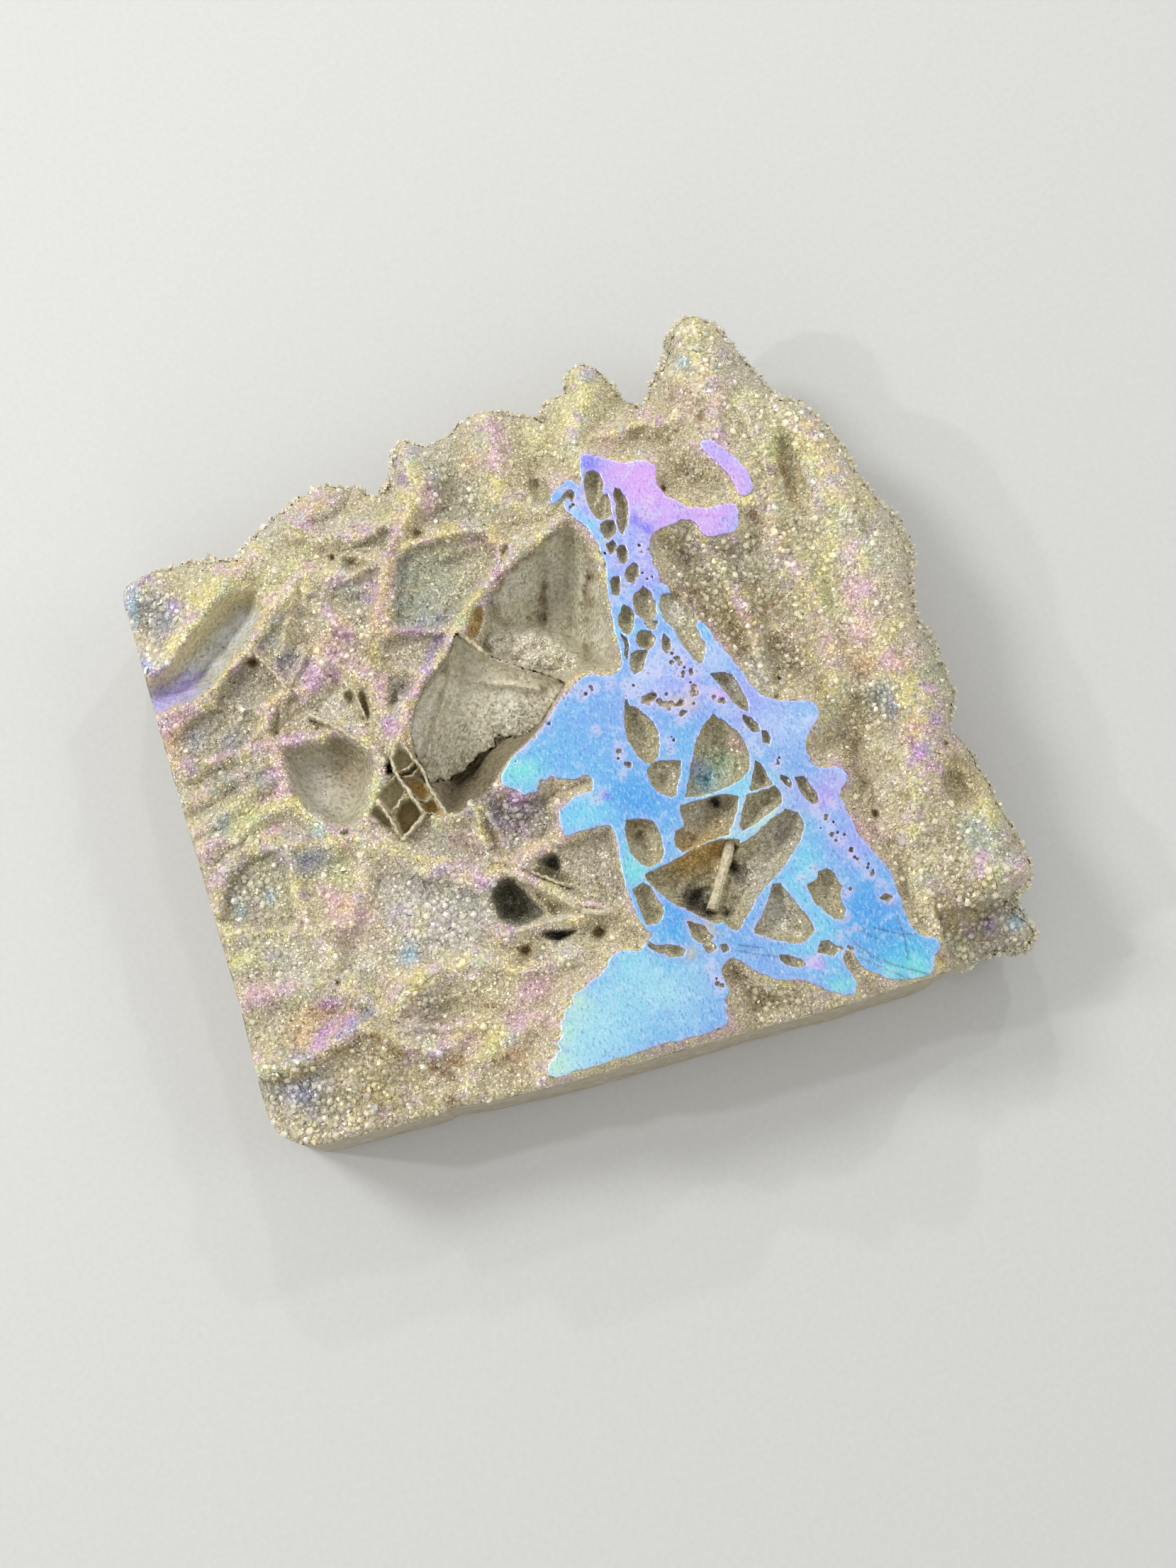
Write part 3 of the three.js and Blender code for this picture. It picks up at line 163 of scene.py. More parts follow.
WEB_CELLS = [  # cells that open in the web: depth, then mouth
    (3.5, (53.8, 80), (54.8, 80.7), (56, 80.2), (56.4, 78.6), (55.4, 77.1), (54.2, 77.6)),
    (4, (62, 79.8), (63, 80), (63.6, 79.2), (63.8, 77.8), (63.4, 76.4), (62.6, 75.6), (61.8, 75),
     (61.3, 74.4), (61.1, 75.6), (61.2, 77.2), (61.4, 78.6)),
    (4, (61.3, 74.2), (62.2, 75.2), (63.4, 76.1), (64, 76.1), (64.1, 74.8), (63.9, 73.1), (63, 72.9),
     (62.2, 72.7), (61.8, 73.3)),
    (3.5, (62, 72.2), (63, 72.5), (64, 72.2), (63.9, 71), (63.4, 70.2), (62.6, 69.7), (62, 70.2),
     (61.9, 71.2)),
    (4, (65.4, 76.8), (65.9, 76.4), (66.3, 75), (66.3, 73.8), (65.9, 72.4), (65.4, 71.2), (64.6, 70),
     (64.3, 70.6), (64.4, 72), (64.7, 73.6), (64.9, 75.6)),
    (3, (63.9, 68.6), (64.4, 68.4), (64.6, 67.4), (64.2, 66.2), (63.7, 65.9), (63.2, 66.2), (63.2, 67.2),
     (63.5, 68.2)),
    (1.6, (62.1, 69.2), (63.2, 69.4), (63.3, 68.6), (62.8, 67.8), (62.2, 67.6)),
    (1.6, (59, 77.4), (59.5, 77.6), (59.6, 77), (59, 76.4)),
    (3, (61.8, 64.3), (62.6, 64.2), (62.3, 63.1), (61.7, 61.6), (61, 62.2), (61.2, 63.6)),
    (3, (65.1, 65.6), (65.4, 65.1), (65.1, 63.7), (64.3, 62.8), (63.6, 63.2), (63.45, 64.2), (64.1, 65.2)),
    (3.5, (65.5, 62.1), (66.1, 60.9), (66.4, 59.5), (66.1, 57.9), (65.1, 57.1), (64.3, 57.3), (63.5, 58.4),
     (63.5, 59.9), (64.1, 61.4)),
    (3, (62.2, 60.3), (62.9, 59.5), (63.1, 58.3), (62.7, 57.1), (61.8, 56), (61.2, 56.5), (60.9, 57.6),
     (61.1, 58.9)),
    (2, (60.8, 56.3), (61.4, 55.4), (61.2, 54.2), (60.6, 52.6), (60.4, 53.2), (60.9, 54.8)),
    (3, (62.8, 55.6), (63.7, 56), (64.8, 55.6), (65.2, 54.6), (64.6, 53.6), (63.6, 53.3), (62.7, 54),
     (62.4, 54.7)),
    (1.4, (64.2, 56.9), (65.4, 57), (66, 56.8), (65.4, 55.9), (64.8, 56)),
    (2.6, (61.3, 53.2), (62.3, 53.5), (63.6, 53.2), (63.1, 52.1), (62.2, 50.7), (61, 50.3), (60.8, 51),
     (61, 52.2)),
    (1.6, (66.5, 54.8), (66.9, 53.8), (66.7, 52.8), (66.1, 52.1), (65.7, 52.8), (66, 54)),
    (2.5, (67.4, 60.1), (68.4, 60.2), (69.4, 60), (70, 58.9), (70.5, 57.4), (71.3, 56.2), (71.3, 55.3),
     (70.9, 54.8), (71.2, 53.6), (71, 53), (71.6, 52.2), (71.2, 51.3), (70.7, 50.2), (70, 49.6),
     (69.4, 50.6), (68.8, 51.9), (68.4, 53), (68.1, 54.1), (68.1, 55.1), (67.4, 56.1), (66.9, 57.2),
     (66.9, 58.8)),
    (4.5, (71.2, 47.8), (72.4, 47.7), (73.8, 47.1), (74.2, 45.9), (74.6, 44), (74.8, 42.4), (74.6, 41.4),
     (73.8, 42.1), (73, 43.5), (72.4, 45.1), (71.6, 46.7)),
    (3, (73.8, 41.1), (74.8, 40.5), (75.4, 39.4), (75.3, 38.4), (74.6, 38.6), (74, 39.7), (73.6, 40.6)),
    (2, (75.7, 38.4), (76.4, 38.1), (76.6, 37.1), (76.2, 36.3), (75.5, 36.8), (75.6, 37.8)),
    (2, (76.6, 31.8), (77.2, 31.4), (77.6, 30.4), (77.4, 29.8), (76.8, 30.6), (76.4, 31.4)),
    (3, (78.3, 31), (79.4, 31), (79.8, 29.9), (80.4, 28.3), (80.5, 27.2), (79.6, 27), (79, 28),
     (78.5, 29.4)),
    (3.5, (73.8, 34.5), (74.3, 34), (74.7, 32.4), (75, 31), (73.4, 30.8), (72.1, 30.8), (72.8, 32.2),
     (73.3, 33.6)),
    (5.5, (71.4, 30.2), (73, 30.4), (75.4, 30.5), (75.9, 29.4), (75.7, 28.2), (74.6, 27.7), (73, 27),
     (71.2, 26.3), (69.6, 25.9), (69.4, 26.6), (70.2, 28.4)),
    (5.5, (59, 47.2), (59.3, 46.2), (60.2, 45.6), (61.1, 44.5), (61.8, 43.1), (62, 41.5), (61.8, 39.9),
     (61.2, 38.5), (60.2, 37.9), (59.3, 38.1), (58.7, 39.3), (58.2, 40.7), (57.9, 42.2), (58, 43.7),
     (58.5, 45.6)),
    (4.5, (59.3, 36.9), (60.2, 37.7), (61.4, 37.8), (62.9, 37.4), (63.9, 37.1), (63.6, 35.8), (62.6, 34),
     (62.1, 32.8), (61.4, 32.7), (60.2, 33.6), (59.5, 34.9), (59.3, 36)),
    (6, (69.9, 42.3), (70.6, 41.6), (71.6, 40.3), (72.7, 38.5), (73.1, 36.8), (73.1, 35.2), (72.5, 33.6),
     (71.5, 32.8), (69.6, 32.2), (67.4, 31.9), (65.2, 31.8), (63.3, 32.1), (64.3, 34.1), (65.2, 36.2),
     (66.1, 37.8), (67, 39.4), (68.1, 40.9), (69.2, 41.6)),
    (7, (62.3, 31), (65.2, 31.3), (68.1, 31.2), (70.3, 30.5), (69.6, 29), (68.6, 27.2), (67.6, 25.9),
     (64.8, 25.7), (62.8, 25.2), (61.2, 25.1), (60.5, 26), (60.4, 27), (60.9, 27.8), (62.2, 28.3),
     (62.3, 29.6)),
    (8, (55.4, 23.2), (58, 23.8), (60, 24.3), (63, 25.1), (65.6, 25.4), (67.4, 25.2), (68.8, 24.6),
     (67.4, 22), (65.8, 18.8), (64, 15.6), (63.4, 14.6), (62.2, 15), (60.2, 16.8), (58.6, 18.2), (57, 20),
     (55.8, 21.8)),
    (8, (68.6, 24.1), (71, 24.7), (73.6, 26.3), (76, 27.1), (77.3, 26.3), (77.7, 24.6), (76.6, 22.6),
     (74.5, 20.6), (72.4, 19), (70.6, 17.9), (69.2, 16.8), (67.6, 15.2), (65.4, 13), (64.2, 13.9),
     (63.3, 15.5), (64.8, 18.2), (66.4, 21.6)),
    (5, (71.4, 17.8), (72.5, 17.6), (73.6, 15), (75, 12), (75.2, 10.4), (74, 9.4), (72.4, 9.5), (70, 10.5),
     (67.6, 12), (67.6, 12.6), (69, 14), (70.4, 15.8)),
    (4.5, (75.9, 16.6), (77.5, 17), (77.8, 17.8), (79, 18), (79.9, 17.2), (80.1, 15.6), (79.7, 14.2),
     (79.9, 12.1), (79.2, 10.9), (78.3, 11.3), (77.3, 12.6), (76.4, 14), (76.1, 15.4)),
    (4.5, (53.3, 21.8), (55, 22.2), (55.6, 21.4), (56.1, 19.8), (56.6, 18.5), (56, 17), (55, 16.6),
     (53.9, 16.7), (53.6, 18.8)),
    (6, (54.3, 29.9), (54.9, 31.1), (55.8, 30.9), (57.6, 30.5), (58.3, 29.9), (58.8, 27.9), (58.5, 25.7),
     (57.9, 24.6), (56.4, 24.1), (55.3, 24.7), (54.4, 26.5), (54.4, 28.4)),
    (2.6, (53.4, 14.6), (54.2, 13.8), (55.6, 13.5), (57.1, 13), (58, 12.2), (57.4, 11.6), (55.8, 11.9),
     (54.4, 12.9), (53.4, 14)),
    (3, (59.3, 15.9), (61.2, 14.6), (62, 13), (61.2, 12.4), (60, 12.7), (59.3, 14)),
    (1.4, (60.4, 12.2), (61.4, 12.4), (62, 11.4), (60.8, 11)),
    (1.4, (62.6, 11.6), (63.4, 11.6), (63.6, 10.8), (62.8, 10.6)),
    (2.5, (69.8, 8.4), (71, 8), (72.4, 7.2), (72.8, 6.4), (72, 6.2), (70.8, 6.8), (69.8, 7.6)),
    (2, (74.9, 7.5), (75.6, 8.8), (76.6, 8.6), (78, 7.3), (76.6, 6.6)),
    (1.6, (61.8, 47), (62.8, 47.2), (63.2, 46.6), (62.6, 46), (61.8, 46.3)),
    (1.4, (84.8, 12.4), (85.6, 12.8), (86.4, 12.2), (85.8, 11.6)),
]
CRUSTS = [  # radius, then where the web is a crust of tiny bubbles
    (0.9, (41.4, 43), (42.4, 43.6), (43.4, 44.2), (44.4, 44.8), (45.4, 45.3), (46.4, 45.9), (47.4, 46.8),
     (48.4, 47.9), (49.4, 48.9), (50.4, 49.7), (51.6, 50.3), (52.8, 50.8)),
    (1.2, (53.4, 49.4), (55, 49.8), (57.6, 50), (59.6, 49), (60.4, 47.8), (61.4, 46.4), (70.8, 45),
     (71.8, 43.4), (72.4, 42), (69.4, 48.4)),
    (1.5, (64.6, 45), (66.4, 44.6), (68.4, 46), (69.6, 45.8), (65.6, 43.4), (62.8, 46.4)),
    (1.0, (66.9, 48.9), (67.8, 50.8), (66.2, 51.2), (67.4, 52.8), (64.2, 51.4), (64.3, 49.8), (69.8, 49),
     (65.4, 53), (63, 50)),
    (0.9, (73.2, 38.8), (74.2, 37), (56.4, 41.4), (56.2, 39.4), (56.1, 37.4), (63, 40.4), (63.1, 39),
     (54.2, 44.2), (74.6, 35.6)),
    (1.0, (79.6, 26), (80.6, 24.8), (81, 23.2), (81.8, 21.2), (82.6, 19.4), (83.6, 17.6), (84.6, 15.8),
     (85.6, 14.2), (86, 12.6), (60.8, 7.8), (61, 6), (60.6, 9.4)),
    (0.9, (79.4, 9.2), (78.4, 8.6), (80.6, 9.4), (78.9, 6.6), (75.4, 17.6), (77, 18.4), (80.6, 15.8),
     (80.4, 14.2), (79.6, 11)),
    (1.0, (51.6, 34.8), (52.4, 35.6), (50.6, 36), (49, 37.4), (69.4, 74), (68.4, 72), (66.6, 67.2),
     (62.4, 68.4), (62.2, 66.2), (66.4, 65)),
    (0.9, (61.2, 61), (63.2, 60.8), (59.2, 76), (58.6, 78.2), (60.6, 76), (74.6, 7), (73.4, 6.4),
     (76.2, 33.2), (82.2, 26.4), (62.6, 62.4), (66.8, 69)),
]
BUBBLES = [  # radius, how many and how far they stray, then round where the crust is open
    (0.42, 7, 1.0, (64.6, 45), (66.4, 44.4), (68.6, 46.2)),
    (0.36, 5, 0.9, (61.6, 46.8), (67, 50.8), (67.4, 49), (56.3, 39.4)),
    (0.3, 4, 1.0, (80.8, 24.4), (81.6, 21.8), (82.8, 19), (84.4, 16.4), (71.6, 43.8), (78.6, 7.4),
     (60.8, 7)),
    (0.24, 3, 0.9, (42, 43.2), (45.4, 45.2), (48.2, 47.6), (51.6, 50), (54.6, 49.6), (59.8, 48.6),
     (63, 39.8)),
    (0.24, 3, 0.8, (66.6, 67.2), (66.4, 63.4), (62.6, 68.4), (59, 75.6), (59, 77.8), (76.6, 33.4),
     (80.4, 15)),
]
SAW_SCRATCHES = [
    [(80, 5.5), (83, 3), (86, 0.7)], [(80.2, 6.2), (84, 3.4), (88, 1.1)],
    [(83, 8.7), (85.6, 7.3), (88, 6.5)], [(86.3, 9.5), (86.5, 6.4), (86.1, 3.6)],
    [(81.4, 9.2), (82.3, 7.7), (82.9, 7.3)], [(79.8, 7.6), (81.4, 5.6)],
    [(64.6, 10.4), (66.6, 9.4), (69.6, 8.2)], [(65, 11), (68, 9.8)],
]

# Openings beside the web, then the cluster of open boxes left of the vug: floor height, hue, then mouth.
# The near-black hue in the deepest holes and slits is painted shade.
SIDE_CELLS = [
    (13, "soot", (34.9, 26.5), (36.5, 27.6), (38.3, 27.5), (38.8, 26.2), (39.6, 25.2), (40.2, 23.4),
     (41.2, 22.2), (41.2, 21.4), (40, 21), (37.6, 20.7), (36.2, 21.4), (35, 22.6)),
    (13, "soot", (41.4, 28.6), (44.8, 29.6), (44.9, 26.2), (43, 27.6)),
    (6, "coal", (39.6, 19.3), (41, 19.4), (42.6, 18.8), (45.4, 18.6), (44, 17.8), (42, 17.5), (40.8, 18.2)),
    (16.5, "dusk", (36.3, 17.6), (37.6, 18.4), (38.8, 17.4), (37.6, 16.2)),
    (16.5, "dusk", (46.2, 17.4), (47.6, 18.3), (48.9, 17.4), (47.6, 16.1)),
    (18.6, "olive", (22, 57.6), (23.6, 57.8), (23.6, 55.8), (22.6, 55.9)),
    (17, "dusk", (24.2, 57.7), (25.2, 57.3), (25.2, 54), (24.6, 53.1), (24, 55)),
    (16, "amber", (10.6, 65.4), (11.6, 65.8), (11.9, 64.6), (11, 64.3)),
    (15, "dusk", (24.6, 77.3), (25.4, 77.2), (25.6, 76.3), (24.7, 76.2)),
    (17.5, "honey", (40.1, 60.8), (41, 63), (42.6, 65.2), (43.5, 64.6), (42.7, 62.4), (41.4, 60.6)),
    (15, "coal", (79.6, 45.2), (80.2, 45.2), (80.2, 44.5), (79.7, 44.3)),
    (15, "coal", (78.5, 42.6), (79.4, 42.9), (79.3, 42.2), (78.6, 42.1)),
    (17, "dusk", (86.9, 23.9), (87.5, 24.1), (88, 23.5), (87.6, 22.9), (87, 23)),
    (16, "dusk", (98.9, 30.8), (99.6, 30.7), (99.5, 30), (98.9, 30.1)),
    (16, "dusk", (12.2, 19.9), (12.8, 19.8), (12.9, 19.2), (12.2, 19.1)),
    (15, "coal", (17.3, 39.2), (18.6, 39.1), (18.6, 38.5), (17.5, 38.5)),
    (16, "dusk", (71.2, 75.4), (72, 75.4), (72.2, 74.6), (71.5, 74.4)),
]
BOXES = [
    (17, "bark", (25, 39.4), (26.4, 41.3), (28, 41.5), (28.9, 38.9), (27.4, 37), (25.4, 36.1)),
    (18.6, "olive", (23.2, 42.6), (24.2, 43.5), (26.4, 44.7), (27.2, 42.6), (26.2, 41.4), (24.6, 40)),
    (18, "honey", (27.9, 43.8), (29.4, 43.2), (30.4, 41), (28.9, 40.4), (28.1, 42)),
    (18.2, "honey", (29.2, 40.2), (30.6, 40.4), (31.6, 37.8), (29.8, 38.2), (28.9, 38.9)),
    (16, "coal", (25.2, 45.1), (25.4, 46.3), (26.4, 46.9), (26.4, 45.2)),
    (14, "dusk", (27, 45), (28.6, 45.2), (28.2, 44.4), (27.2, 44.5)),
    (18.8, "cream", (26.6, 47), (27.6, 49.2), (28.6, 47.6), (29.8, 45.6), (27.2, 45.4)),
    (18.4, "cream", (21.6, 40.6), (22.8, 41.8), (24.4, 39), (24.9, 36.6), (23.6, 38)),
    (16.5, "cream", (29.4, 44.6), (30.6, 43.6), (31.6, 41), (31.2, 40), (30, 42.8)),
]

# The deep vug. Its back wall falls from the upper rim, a rough ledge crosses it, and a smooth plate roofs the
# lower chamber down to a scalloped free edge.
UPPER_CHAMBER = [
    (41, 59.2), (43.2, 61.8), (43.6, 64.6), (45.2, 66.8), (47.6, 68.6), (50.2, 70.2), (53.6, 71.7),
    (56.2, 73), (58.2, 72.9), (59.3, 70.6), (59.8, 67.6), (60.3, 65), (60, 61), (59.6, 57), (59.3, 52.2),
    (57.4, 51.7), (55.2, 52.4), (53.2, 52.2), (51.8, 51.4), (50, 52.8), (47, 54.7), (45, 56), (42.5, 57.8),
]
BACK_RIM = [(43.2, 66), (45, 67.4), (47.4, 69), (50, 70.6), (53.4, 72), (56, 73.4), (58.2, 74.2)]
LEDGE = [
    (41.6, 59.4), (43.4, 60.8), (45.4, 61.2), (48.2, 60.4), (50.6, 58.4), (53, 56.4), (54.4, 54), (54, 52.4),
    (51, 52.2), (47, 55), (43, 58),
]
CHAMBER_SLOTS = [  # width, depth, then the course of each dark fold
    (0.4, 2.4, (50.8, 60.6), (51.4, 62.8), (52.2, 65.4)),
    (0.35, 2, (52.2, 65.4), (52.8, 67.6), (53.2, 70)),
    (0.42, 2.4, (56.8, 60.8), (57.4, 62.6), (58.6, 65)),
    (0.35, 2, (58.6, 65), (59.2, 67.2), (59.2, 69.2)),
    (0.45, 2.2, (44.6, 65), (44.4, 62.8), (46, 61.2), (48.4, 60.2)),
    (0.6, 2.6, (55.6, 54), (56, 56.4), (56.4, 58.8)), (0.4, 1.4, (54.4, 53.6), (54.8, 57), (55, 60)),
    (0.5, 2, (49, 53.8), (50.6, 53.4), (52.6, 53.6)),
]
PLATE = [
    (39, 62), (37.4, 59.4), (35, 57.4), (33, 55.8), (31, 53), (29.8, 50), (29.6, 47), (30.3, 44.6),
    (30.8, 43), (31.4, 42.4), (31.8, 42.8), (32.2, 42.8), (32.7, 42.4), (33.2, 42.3), (33.6, 42.9),
    (34.2, 43), (34.8, 43), (35.4, 43.2), (35.8, 43.7), (36.4, 43.8), (36.8, 43.9), (37.2, 44.2), (37.8, 45),
    (38.4, 45.1), (39, 45), (39.6, 45.3), (40.2, 45.1), (40.4, 45.5), (40.5, 46.4), (41.4, 46.8), (42.2, 46),
    (43, 46.3), (43.4, 45.6), (44.8, 45.8), (47, 46.9), (48.6, 48.4), (50.4, 50.2), (51.8, 51.4), (50, 52.8),
    (47, 54.7), (45, 56), (42.5, 57.8), (41, 59.2),
]
GAP = [
    (30.6, 43.6), (31.2, 40), (31.6, 38), (33.4, 37.4), (35.6, 38.6), (38.4, 39.6), (39.6, 41), (41, 42.4),
    (42.4, 43.6), (44.6, 44.6), (47, 46.4), (48.4, 47.8), (48.6, 49), (44, 48.6), (38, 47.6), (33, 45.4),
]
PLATE_CREASES = [
    [(38.6, 61.6), (37, 57.6), (34, 55.6), (31.4, 53.4)], [(37, 56.6), (35, 53), (32.6, 48.6), (30.6, 45.6)],
    [(37, 57), (39.6, 55.2), (42, 54), (45, 53), (48, 51.6)],
    [(39, 61.6), (40.6, 59.4), (42.6, 57.4), (45.4, 55.8), (48.6, 53.4), (51.2, 52.2)],
]

# Thin standing walls: thickness, top and foot heights, then the course.
BLADES = [
    (1.4, 22.6, 13, (67.9, 25.4), (66.8, 23.2), (65.4, 20.8), (63.9, 18.3), (62.9, 16.6)),
    (0.45, 22, 12, (27.6, 49.8), (26.3, 47.2), (26.5, 45), (27.5, 42.5), (28.6, 39.6), (28.9, 38.6)),
    (0.35, 22, 12, (27.6, 49.8), (28.7, 48), (30, 44.8), (30.5, 42), (31.9, 37.4)),
    (0.4, 21.4, 12, (23, 42.4), (24.3, 39.4), (25.2, 35.9)),
    (0.5, 21.6, 12, (25.2, 36), (27.2, 37.4), (29.1, 38.9)),
    (0.3, 21, 12, (23.2, 42.8), (24.4, 43.8), (26.6, 44.8)),
    (0.3, 20.6, 12, (24.5, 39.7), (26.3, 41.4), (28, 41.6)),
    (0.3, 21, 12, (26.4, 45.2), (28.4, 45.4), (29.6, 46.2)),
    (0.25, 20.6, 12, (27.2, 44.4), (28.6, 44.3), (29.8, 45.2)),
    (0.25, 20.4, 12, (28.6, 40.6), (29.6, 40.4), (30.6, 40.6)),
    (0.25, 20.6, 12, (28.2, 40.2), (29, 38.9), (31.2, 37.9)),
    (0.9, 22, 13, (36.8, 29.2), (39.4, 27), (41.4, 25.4), (44, 23), (46.5, 20.6), (49.6, 19.6)),
    (0.7, 21.4, 14, (34.8, 20.2), (38, 20.2), (41, 20.4), (44.6, 20.3), (48, 20), (50.8, 19.4)),
    (0.4, 21, 13, (38.4, 29.4), (41, 27.4), (43.4, 25.6), (45.4, 24.2)),
    (0.45, 21.9, 17, (11.4, 67.3), (12.4, 65.1), (13.9, 62.6), (15, 60)),
    (0.4, 21.6, 17, (15, 60), (16.8, 62.1), (18.6, 64.8)),
    (0.4, 21.5, 17, (15, 64.9), (16.1, 67.3), (17.3, 69.8)),
    (0.45, 21.9, 17, (7.4, 53.2), (9.8, 55.2), (11, 58), (14.8, 60)),
    (0.5, 22.1, 16, (16.9, 56), (18.7, 54.7), (20.6, 53), (22.6, 50.9), (24.1, 48.6)),
    (0.35, 21.8, 17, (12.8, 53.1), (16.4, 52.9), (20.2, 52.8)),
    (0.3, 20.8, 14, (23.8, 58.2), (23.9, 56), (24.4, 53)),
    (0.5, 22.2, 14, (39.8, 61.6), (41, 60), (42.4, 58)),
]

# The druse. Crest lines: height, fall in mm per mm beside it, then the course.
CRESTS = [
    (22.6, 0.8, (-3.2, 67.4), (0, 68), (3.4, 70.8), (7, 74.6), (11, 78.2), (14, 80)),
    (22.2, 0.8, (-3.2, 60.6), (2, 61.2), (6, 63.3), (11, 67), (14, 69.6), (17, 72.6), (20, 75.5)),
    (22, 0.7, (14, 80), (17, 77), (20, 75.5), (24, 74.6), (28, 73.8), (31.2, 74.4)),
    (21.2, 0.9, (0, 10.8), (5, 10.4), (9, 11.6), (13.5, 13.2), (15.6, 11.8), (19, 9.4), (22.6, 7.8),
     (25, 7.6)),
    (21.3, 1.3, (11.4, 67.2), (12.5, 65), (14, 62.5), (15, 60.2)),
    (21, 1.5, (17.4, 69.8), (16.3, 67.6), (15.1, 65)),
    (21.1, 1.5, (18.6, 64.7), (16.9, 62.2), (15.1, 60.2)),
    (21.8, 0.9, (20, 75.5), (21, 72), (22.5, 69), (24.3, 66.8), (26.3, 65.4), (27.8, 64.6)),
    (21.7, 0.8, (24.3, 66.8), (22, 63.5), (19.5, 61.5), (16.8, 59.6), (14.8, 60), (11.4, 58.2), (10.4, 55.8),
     (7.5, 53.2)),
    (21.8, 0.9, (22, 63.5), (24.5, 61), (26.3, 58.5), (27.2, 56), (27.6, 52.5), (28, 50.2)),
    (22.4, 0.9, (38, 82), (35.4, 79), (33.6, 76.4), (32.4, 74), (31.2, 71.2), (30, 68.4), (28.8, 66),
     (27.8, 64.6)),
    (21.8, 1, (27.8, 64.6), (31, 64.2), (34, 63.6), (38, 63), (40, 63.6)),
    (21.8, 0.9, (33.4, 75.6), (38, 76.1), (43, 76), (46.6, 75.4), (47.6, 73), (47.2, 70.6)),
    (22.6, 0.9, (28, 49.6), (29.3, 51.4), (31, 54.2), (33.4, 56.8), (36.5, 58.8), (38, 61), (39.4, 62.4),
     (40.4, 64.4), (42.6, 66.2), (45, 67.7), (48, 69.8), (51, 71.7), (54, 73.1), (57, 74.1), (58.8, 74.4)),
    (21.6, 0.9, (-1, 53.4), (4, 53.2), (7.5, 53.2), (10.5, 53), (13.5, 53), (20, 52.7), (22.2, 51),
     (24.2, 48.8), (24.7, 46), (23.6, 43.4), (21.6, 40.6), (19.5, 38.6)),
    (21.3, 0.9, (10.7, 54.4), (12, 50.5), (11.6, 46.3), (13.4, 43.4), (16, 40.2), (18.5, 38.4)),
    (20.8, 0.8, (-2, 43.8), (2, 44.8), (6, 47.2), (10.6, 49)),
    (21, 0.8, (-1.6, 41), (3, 42), (8, 43.6), (13, 45.2)),
    (20.6, 0.8, (-2, 48.8), (4, 49.5), (9, 50.4), (12, 51.4)),
    (20.9, 0.8, (-1, 33), (1, 37), (3.5, 39.4), (8, 40.2), (14, 38.4), (19.5, 38.4)),
    (20.6, 0.8, (10, 39.8), (9.7, 35), (9.8, 30), (11, 26), (12.6, 22.6)),
    (20.4, 0.7, (-0.8, 29.4), (3, 29), (6.5, 27.8), (11, 26.5), (16, 27), (19, 31), (19.5, 38.2)),
    (21.6, 0.8, (19.5, 38.2), (22.4, 36), (25, 33.4), (28, 31.8), (31.5, 29.9), (34, 28.2), (36.6, 28.4)),
    (20.6, 0.7, (0, 20.6), (5, 20.6), (10, 19.8), (13, 18.6), (16, 16), (18, 14.2)),
    (21.2, 0.7, (18, 14.4), (22, 16.8), (27, 18), (32, 17), (36, 15.3), (42, 14.6), (47, 15), (52, 15.4)),
    (20.4, 0.7, (15, 11.4), (19, 11.8), (24, 10.6), (29, 9.4)),
    (20.8, 0.7, (25.6, 1), (27, 4.5), (30, 6.4), (35, 7.4), (39, 8.2)),
    (21.8, 0.9, (31.6, 37.4), (35.6, 37.6), (37, 33.4), (37.8, 30.4), (39.6, 29), (42, 30), (45, 31)),
    (21.6, 1.2, (36.6, 29.2), (40, 26.8), (42, 25.2), (46, 21.9), (50, 19.8)),
    (21, 1.1, (34.6, 20.2), (38, 20), (41, 20.1), (46, 20), (50.6, 19.4)),
    (23.4, 0.7, (81.8, 97), (81.5, 92), (81.6, 86), (80.6, 82), (80.4, 79.6), (82, 76.8), (83, 73.8),
     (82.6, 71.4)),
    (22.6, 0.5, (93, 80), (94.5, 75), (94.6, 70), (96, 63), (95.4, 56), (94, 50), (95.8, 43), (97, 36),
     (96.4, 30), (94, 25.5), (92, 22), (91, 18), (90.8, 12), (91, 7)),
    (21.8, 0.7, (85.5, 84), (87, 78), (86, 72), (84.5, 66), (85.8, 60), (87.5, 55), (88.5, 48),
     (86.4, 41.4)),
    (21, 0.7, (75.8, 65), (76.4, 60), (77.6, 55), (77.9, 49), (77.6, 45)),
    (22, 0.6, (103, 20), (101, 16), (99.5, 12.5), (104, 11.4)),
    (20.6, 0.8, (86, 26), (89.5, 27.5), (93, 29)),
    (22.4, 0.7, (51, 91), (51.3, 87), (50, 83), (49.5, 79.5), (52.5, 77), (57, 76)),
    (21.6, 0.8, (37.8, 89), (39, 85), (38.4, 81.6), (36, 80)),
    (22, 0.8, (64.8, 94), (64, 90), (62.5, 86.6), (61.6, 83.4)),
    (21.8, 0.8, (25, 86), (22, 82.5), (24, 79.8), (30, 79.2), (34, 78)),
    (21.4, 0.8, (64, 84.4), (70, 84.6), (76, 85), (80.6, 86)),
]

